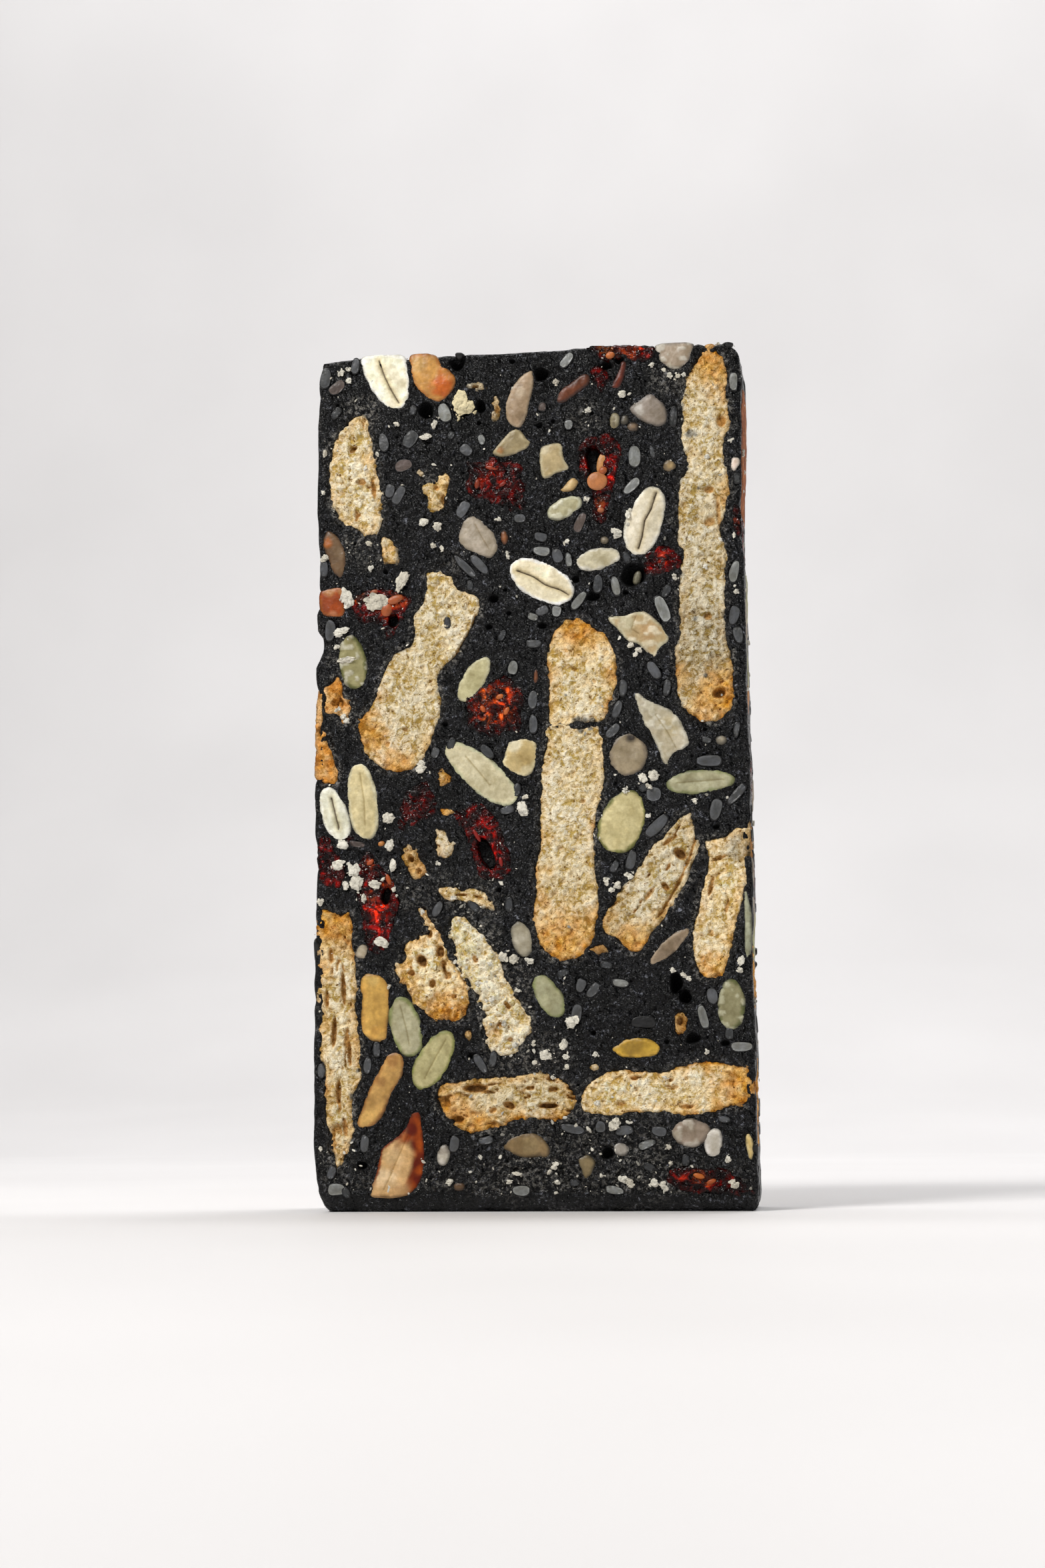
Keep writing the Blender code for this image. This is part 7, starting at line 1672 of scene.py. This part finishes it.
def front_surface(ring):
    """Points (x, z), how high they stand, and the low values (painted shade in the holes, pits and under the pieces)
    and dust values of the nougat's front face.
    """
    step = 0.34
    p, i, j = hex_points(ring.min(0), ring.max(0), step, 31, 0.24)
    keep = inside_by(p, ring[::2]) > 0.45
    p, i, j = p[keep], i[keep], j[keep]
    _, inside = dip_under(p, INLAYS, 0, 0.2, 0.9)
    thin = (inside > 1.0) & ~((i % 3 == 0) & (j % 3 == 0))
    p = p[~thin]
    r = np.random.RandomState(47)
    rings, heights, painted_shade_lows = [], [], []
    blocked = []
    for x, z, width, height, depth in HOLES_FRONT:
        n = int(max(12, math.pi * (width + height) / 2 / 0.22))
        t = np.linspace(0, 2 * np.pi, n, endpoint=False)
        wobble = 1 + 0.07 * np.sin(2 * t + r.uniform(0, 6)) + 0.05 * np.sin(3 * t + r.uniform(0, 6)) + 0.03 * np.sin(5 * t + r.uniform(0, 6))
        unit = np.stack([np.cos(t) * width / 2, np.sin(t) * height / 2], 1) * wobble[:, None]
        centre = np.array([x + SHIFT, z])
        # the last number of each ring is its low value: painted shade that deepens down into the hole
        for s, h, low in ((1.16, -0.01, 0.0), (0.99, -0.10, 0.55), (0.88, -0.45 * depth, 0.97), (0.62, -0.9 * depth, 1.0)):
            rings.append(centre + unit * s)
            heights.append(np.full(n, h))
            painted_shade_lows.append(np.full(n, low))
        rings.append(centre + unit[:: max(1, n // 5)] * 0.25)
        heights.append(np.full(len(rings[-1]), -depth))
        painted_shade_lows.append(np.full(len(rings[-1]), 1.0))
        blocked.append((centre, width / 2 * 1.32 + 0.06, height / 2 * 1.32 + 0.06))
    spots = np.column_stack([r.uniform(-32, 32.2, 900), r.uniform(3, 129.4, 900)])
    _, spot_inside = dip_under(spots, INLAYS + SESAME_LOOPS["front"], 0, 0.2, 0.9)
    spots = spots[(spot_inside < -0.3) & (inside_by(spots, ring[::2]) > 1.0)]
    taken = []
    for q in spots:
        if any(abs(q[0] - c[0]) < a + 0.3 and abs(q[1] - c[1]) < b + 0.3 for c, a, b in blocked):
            continue
        if taken and np.min(np.hypot(*(np.array(taken) - q).T)) < 0.9:
            continue
        taken.append(q)
        radius = 0.10 + 0.20 * r.rand() ** 2.2
        t = np.linspace(0, 2 * np.pi, 8, endpoint=False) + r.rand()
        unit = np.stack([np.cos(t), np.sin(t) * r.uniform(0.8, 1.25)], 1)
        # each pit gets painted shade, light at its edge and full at its bottom
        rings.append(q + unit * radius)
        heights.append(np.full(8, -0.02))
        painted_shade_lows.append(np.full(8, 0.35))
        rings.append(np.vstack([q + unit[::2] * radius * 0.55]))
        heights.append(np.full(4, -radius * 1.3))
        painted_shade_lows.append(np.full(4, 1.0))
        blocked.append((q, radius * 1.5 + 0.05, radius * 1.5 + 0.05))
    free = np.ones(len(p), bool)
    for c, a, b in blocked:
        near = np.nonzero((np.abs(p[:, 0] - c[0]) < a) & (np.abs(p[:, 1] - c[1]) < b))[0]
        free[near[((p[near, 0] - c[0]) / a) ** 2 + ((p[near, 1] - c[1]) / b) ** 2 < 1]] = False
    p = p[free]
    special = np.vstack(rings)
    special_h = np.concatenate(heights)
    special_painted_shade = np.concatenate(painted_shade_lows)
    ok = inside_by(special, ring[::2]) > 0.3
    special, special_h, special_painted_shade = special[ok], special_h[ok], special_painted_shade[ok]
    points = np.vstack([p, special])
    h = np.concatenate([np.zeros(len(p)), special_h])
    low = np.concatenate([np.zeros(len(p)), special_painted_shade])
    dip, inside = dip_under(points, INLAYS, 1.3, 0.25, 0.95)
    little, _ = dip_under(points, SESAME_LOOPS["front"], 0.22, -0.12, 0.22)
    rim = smooth(-0.5, -0.05, inside) * (inside < 0.3)
    h = h + face_relief(points, 33) * (1 - 0.6 * (low > 0)) - dip - little - 0.03 * rim
    # painted shade under the pieces, where the nougat dips
    low = np.maximum(low, smooth(0.1, 0.5, inside) * 0.8)
    dust = np.zeros(len(points))
    p3 = np.column_stack([points, np.full(len(points), 5.1)])
    for x, z, reach, strength in DUST_FRONT:
        d = np.hypot(points[:, 0] - x - SHIFT, points[:, 1] - z) / reach + 0.3 * noise(p3, 1.6, 35)
        dust = np.maximum(dust, strength * smooth(1.3, 0.3, d))
    dust = np.maximum(dust, 0.30 * smooth(9, 2, points[:, 1] + 2.0 * noise(p3, 2.5, 36)))
    _, by_biscuit = dip_under(points, BACK_INLAYS, 0, 0.2, 0.9)
    near = smooth(-0.75, -0.05, by_biscuit + 0.25 * noise(p3, 0.7, 38)) * (0.25 + 0.75 * smooth(-0.1, 0.5, noise(p3, 3.0, 39)))
    dust = np.maximum(dust, 0.7 * near)
    dust = dust * (1 - low)
    return points, h, low, dust


def compressed(points, faces, *arrays):
    used = np.unique(faces)
    index = np.full(len(points), -1)
    index[used] = np.arange(len(used))
    return [points[used], index[faces]] + [a[used] for a in arrays]


def make_nougat():
    levels = [(0.0, 0.46), (0.07, 0.20), (0.24, 0.05), (0.5, 0.0)]
    inner = np.arange(-FRONT + 1.1, BACK - 1.0, 0.66)
    rows = [(-FRONT + d, inset) for d, inset in levels] + [(y, 0.0) for y in inner] + [(BACK - d, inset) for d, inset in levels[::-1]]
    rings = [nougat_ring(y, inset) for y, inset in rows]
    side = rings[0][1]
    n = len(side)
    world, low, dust = [], [], []
    for k, ((y, inset), (ring, _)) in enumerate(zip(rows, rings)):
        depth = y + FRONT
        share = np.clip(depth / (FRONT + BACK), 0, 1)
        wave = -front_wave(ring[:, 0], ring[:, 1]) * (1 - share) ** 2 + back_wave(ring[:, 0], ring[:, 1]) * share**2
        p3 = np.column_stack([ring[:, 0], np.full(n, y), ring[:, 1]])
        out = outward(ring)
        rough = 0.13 * fbm(p3, 2.3, 2, 41) + 0.06 * noise(p3, 0.9, 43)
        rough = rough * (0.35 if inset > 0.1 else 1.0)
        dip = np.zeros(n)
        probe = ring - out * 0.40
        d_full, in_full = dip_under(probe, BACK_INLAYS, 0.75, 0.0, 0.45)
        dip = np.maximum(dip, d_full)
        if depth < 4.9:
            dip = np.maximum(dip, dip_under(probe, DEEP_LOOPS, 0.75, 0.0, 0.45)[0])
        if depth < 1.0:
            dip = np.maximum(dip, dip_under(probe, INLAYS, 0.7, 0.0, 0.45)[0])
        for number, face, u, v in ((0, "bottom", ring[:, 0], np.full(n, -y)), (1, "right", np.full(n, y), ring[:, 1]), (2, "top", ring[:, 0], np.full(n, y)), (3, "left", np.full(n, -y), ring[:, 1])):
            mine = np.nonzero(side == number)[0]
            q = np.stack([u, v], 1)[mine]
            a, inside_a = dip_under(q, OTHER_LOOPS[face], 0.9, 0.1, 0.8)
            b, _ = dip_under(q, SESAME_LOOPS[face], 0.22, -0.15, 0.25)
            dip[mine] = np.maximum(dip[mine], a + b)
            damp = smooth(0.9, 0.0, np.abs(inside_a))
            rough[mine] = rough[mine] * (1 - 0.6 * damp)
        dip = np.where(side < 0, 0.0, dip)
        dip = (np.roll(dip, 1) + 2 * dip + np.roll(dip, -1)) / 4
        moved = ring + out * (rough - dip)[:, None]
        if k in (0, len(rows) - 1):
            moved = untangled(moved)
        world.append(np.column_stack([moved[:, 0], y + wave, moved[:, 1]]))
        # painted shade in the dips round the pieces on the sides
        low.append(np.clip(dip, 0, 1) * 0.8)
        dust.append(0.22 * smooth(0.15, 0.75, noise(p3, 3.0, 45)) + 0.3 * smooth(7, 1, ring[:, 1]) * (side == 3))
    ring0 = world[0][:, [0, 2]]
    points, h, face_painted_shade, face_dust = front_surface(ring0)
    _, tris = triangulate(ring0, points)
    print("front face:", len(points), "points,", len(tris), "triangles")
    everything = [np.column_stack([points[:, 0], -(FRONT + front_wave(points[:, 0], points[:, 1]) + h), points[:, 1]])]
    painted_shade_lows, dusts = [face_painted_shade], [face_dust]
    count = len(points)
    base = count
    front_index = np.concatenate([base + np.arange(n), np.arange(len(points))])
    faces = [front_index[tris]]
    for k in range(len(rows)):
        everything.append(world[k])
        painted_shade_lows.append(low[k])
        dusts.append(dust[k])
        if k:
            faces.append(bridge(base + (k - 1) * n + np.arange(n), base + k * n + np.arange(n)))
        count += n
    last = base + (len(rows) - 1) * n + np.arange(n)
    ring1 = world[-1][:, [0, 2]]
    q, _, _ = hex_points(ring1.min(0), ring1.max(0), 0.78, 37, 0.24)
    q = q[inside_by(q, ring1) > 0.4]
    _, tris = triangulate(ring1, q)
    loops = [loop * [-1, 1] for loop in OTHER_LOOPS["back"]]
    dip, inside = dip_under(q, loops, 1.0, 0.1, 0.9)
    little, _ = dip_under(q, [loop * [-1, 1] for loop in SESAME_LOOPS["back"]], 0.25, -0.15, 0.3)
    everything.append(np.column_stack([q[:, 0], BACK + back_wave(q[:, 0], q[:, 1]) + face_relief(q, 39) - dip - little, q[:, 1]]))
    # painted shade under and round the pieces on the back face
    painted_shade_lows.append(np.clip(smooth(0.1, 0.5, inside) * 0.8, 0, 1))
    p3 = np.column_stack([q, np.full(len(q), 2.2)])
    dusts.append(0.35 * smooth(0.2, 0.8, noise(p3, 4.0, 46)))
    index = np.concatenate([last, count + np.arange(len(q))])
    faces.append(index[tris][:, ::-1])
    points, faces, painted_shade_lows, dusts = compressed(np.vstack(everything), np.vstack(faces), np.concatenate(painted_shade_lows), np.concatenate(dusts))
    # the low attribute carries the painted shade
    make_object("nougat_look", points, faces, NOUGAT, values={"low": painted_shade_lows, "dust": dusts}, replaces=["nougat"])


make_nougat()

bits["biscuit"].make("biscuit_bits", BISCUIT, "biscuit")
bits["nut"].make("nut_bits", NUT, "nut")
bits["berry"].make("berry_bits", BERRY, "berry")
hidden["pumpkin"].make("pumpkin_seeds_around", PUMPKIN, "pumpkin_seed")
hidden["nut"].make("nuts_around", NUT, "nut")
hidden["berry"].make("berries_around", BERRY, "berry")
hidden["biscuit"].make("biscuit_around", BISCUIT, "biscuit")
hidden["almond"].make("almond_around", ALMOND, "almond")
sesame.make("sesame_seeds", SESAME, "nougat")
crumbs.make("crumbs", CRUMB, "biscuit", flat=True)
pips.make("berry_pips", NUT, "berry")


# ---------------------------------------------------------------- floor, light, camera


def make_floor():
    line = [(-1.4, 0.0), (0.45, 0.0), (0.62, 0.02), (0.76, 0.08), (0.86, 0.18), (0.92, 0.32), (0.94, 0.5), (0.94, 1.6)]
    verts = [(x, y, z) for y, z in line for x in (-1.8, 1.8)]
    quads = [(2 * k, 2 * k + 1, 2 * k + 3, 2 * k + 2) for k in range(len(line) - 1)]
    mesh = bpy.data.meshes.new("floor")
    mesh.from_pydata(verts, [], quads)
    for polygon in mesh.polygons:
        polygon.use_smooth = True
    floor = bpy.data.objects.new("floor", mesh)
    n = Nodes("floor_paper")
    n.set(Base_Color=n.ramp(n.noise(60.0, 2.0), [(0.3, srgb(222, 220, 220)), (0.7, srgb(228, 226, 226))]), Roughness=0.6, Specular_IOR_Level=0.3)
    mesh.materials.append(n.material)
    bpy.context.scene.collection.objects.link(floor)


def area_light(name, place, at, size, watts, colour=(1.0, 1.0, 1.0)):
    light = bpy.data.lights.new(name, "AREA")
    light.shape = "RECTANGLE"
    light.size, light.size_y = size
    light.energy = watts
    light.color = colour
    obj = bpy.data.objects.new(name, light)
    obj.location = place
    obj.rotation_euler = (Vector(at) - Vector(place)).to_track_quat("-Z", "Y").to_euler()
    bpy.context.scene.collection.objects.link(obj)
    return obj


make_floor()
area_light("key", (-0.30, -0.44, 0.60), (0.0, 0.0, 0.065), (0.22, 0.22), 4.75, (1.0, 0.985, 0.96))
area_light("fill", (0.60, -0.55, 0.25), (0.0, 0.0, 0.065), (0.6, 0.6), 0.6, (0.97, 0.985, 1.0))
area_light("back", (0.30, 0.40, 0.60), (0.0, 0.0, 0.065), (0.4, 0.4), 1.5)
area_light("backdrop", (0.0, 0.25, 1.1), (0.0, 0.95, 0.25), (1.4, 0.3), 9.0)

world = bpy.data.worlds.new("studio")
world.use_nodes = True
background = world.node_tree.nodes["Background"]
background.inputs["Color"].default_value = (1.0, 0.99, 0.985, 1.0)
background.inputs["Strength"].default_value = 0.12
bpy.context.scene.world = world


def make_camera():
    az, pitch, roll = math.radians(6.73), math.radians(7.50), math.radians(-0.41)
    far, across, height = 0.3752, -0.0022, 0.015
    back = Vector((math.sin(az), -math.cos(az), 0.0))
    right = Vector((math.cos(az), math.sin(az), 0.0))
    place = back * far + right * across + Vector((0, 0, height))
    forward = -back * math.cos(pitch) + Vector((0, 0, math.sin(pitch)))
    up = right.cross(forward)
    r2 = right * math.cos(roll) + up * math.sin(roll)
    u2 = up * math.cos(roll) - right * math.sin(roll)
    camera = bpy.data.cameras.new("camera")
    camera.lens = 56.63
    camera.sensor_width = 36.0
    camera.sensor_fit = "VERTICAL"
    camera.sensor_height = 36.0
    camera.clip_start, camera.clip_end = 0.01, 20.0
    obj = bpy.data.objects.new("camera", camera)
    m = Matrix.Identity(4)
    for k in range(3):
        m[k][0], m[k][1], m[k][2], m[k][3] = r2[k], u2[k], -forward[k], place[k]
    obj.matrix_world = m
    bpy.context.scene.collection.objects.link(obj)
    bpy.context.scene.camera = obj


make_camera()
bpy.context.scene.view_settings.view_transform = "Standard"
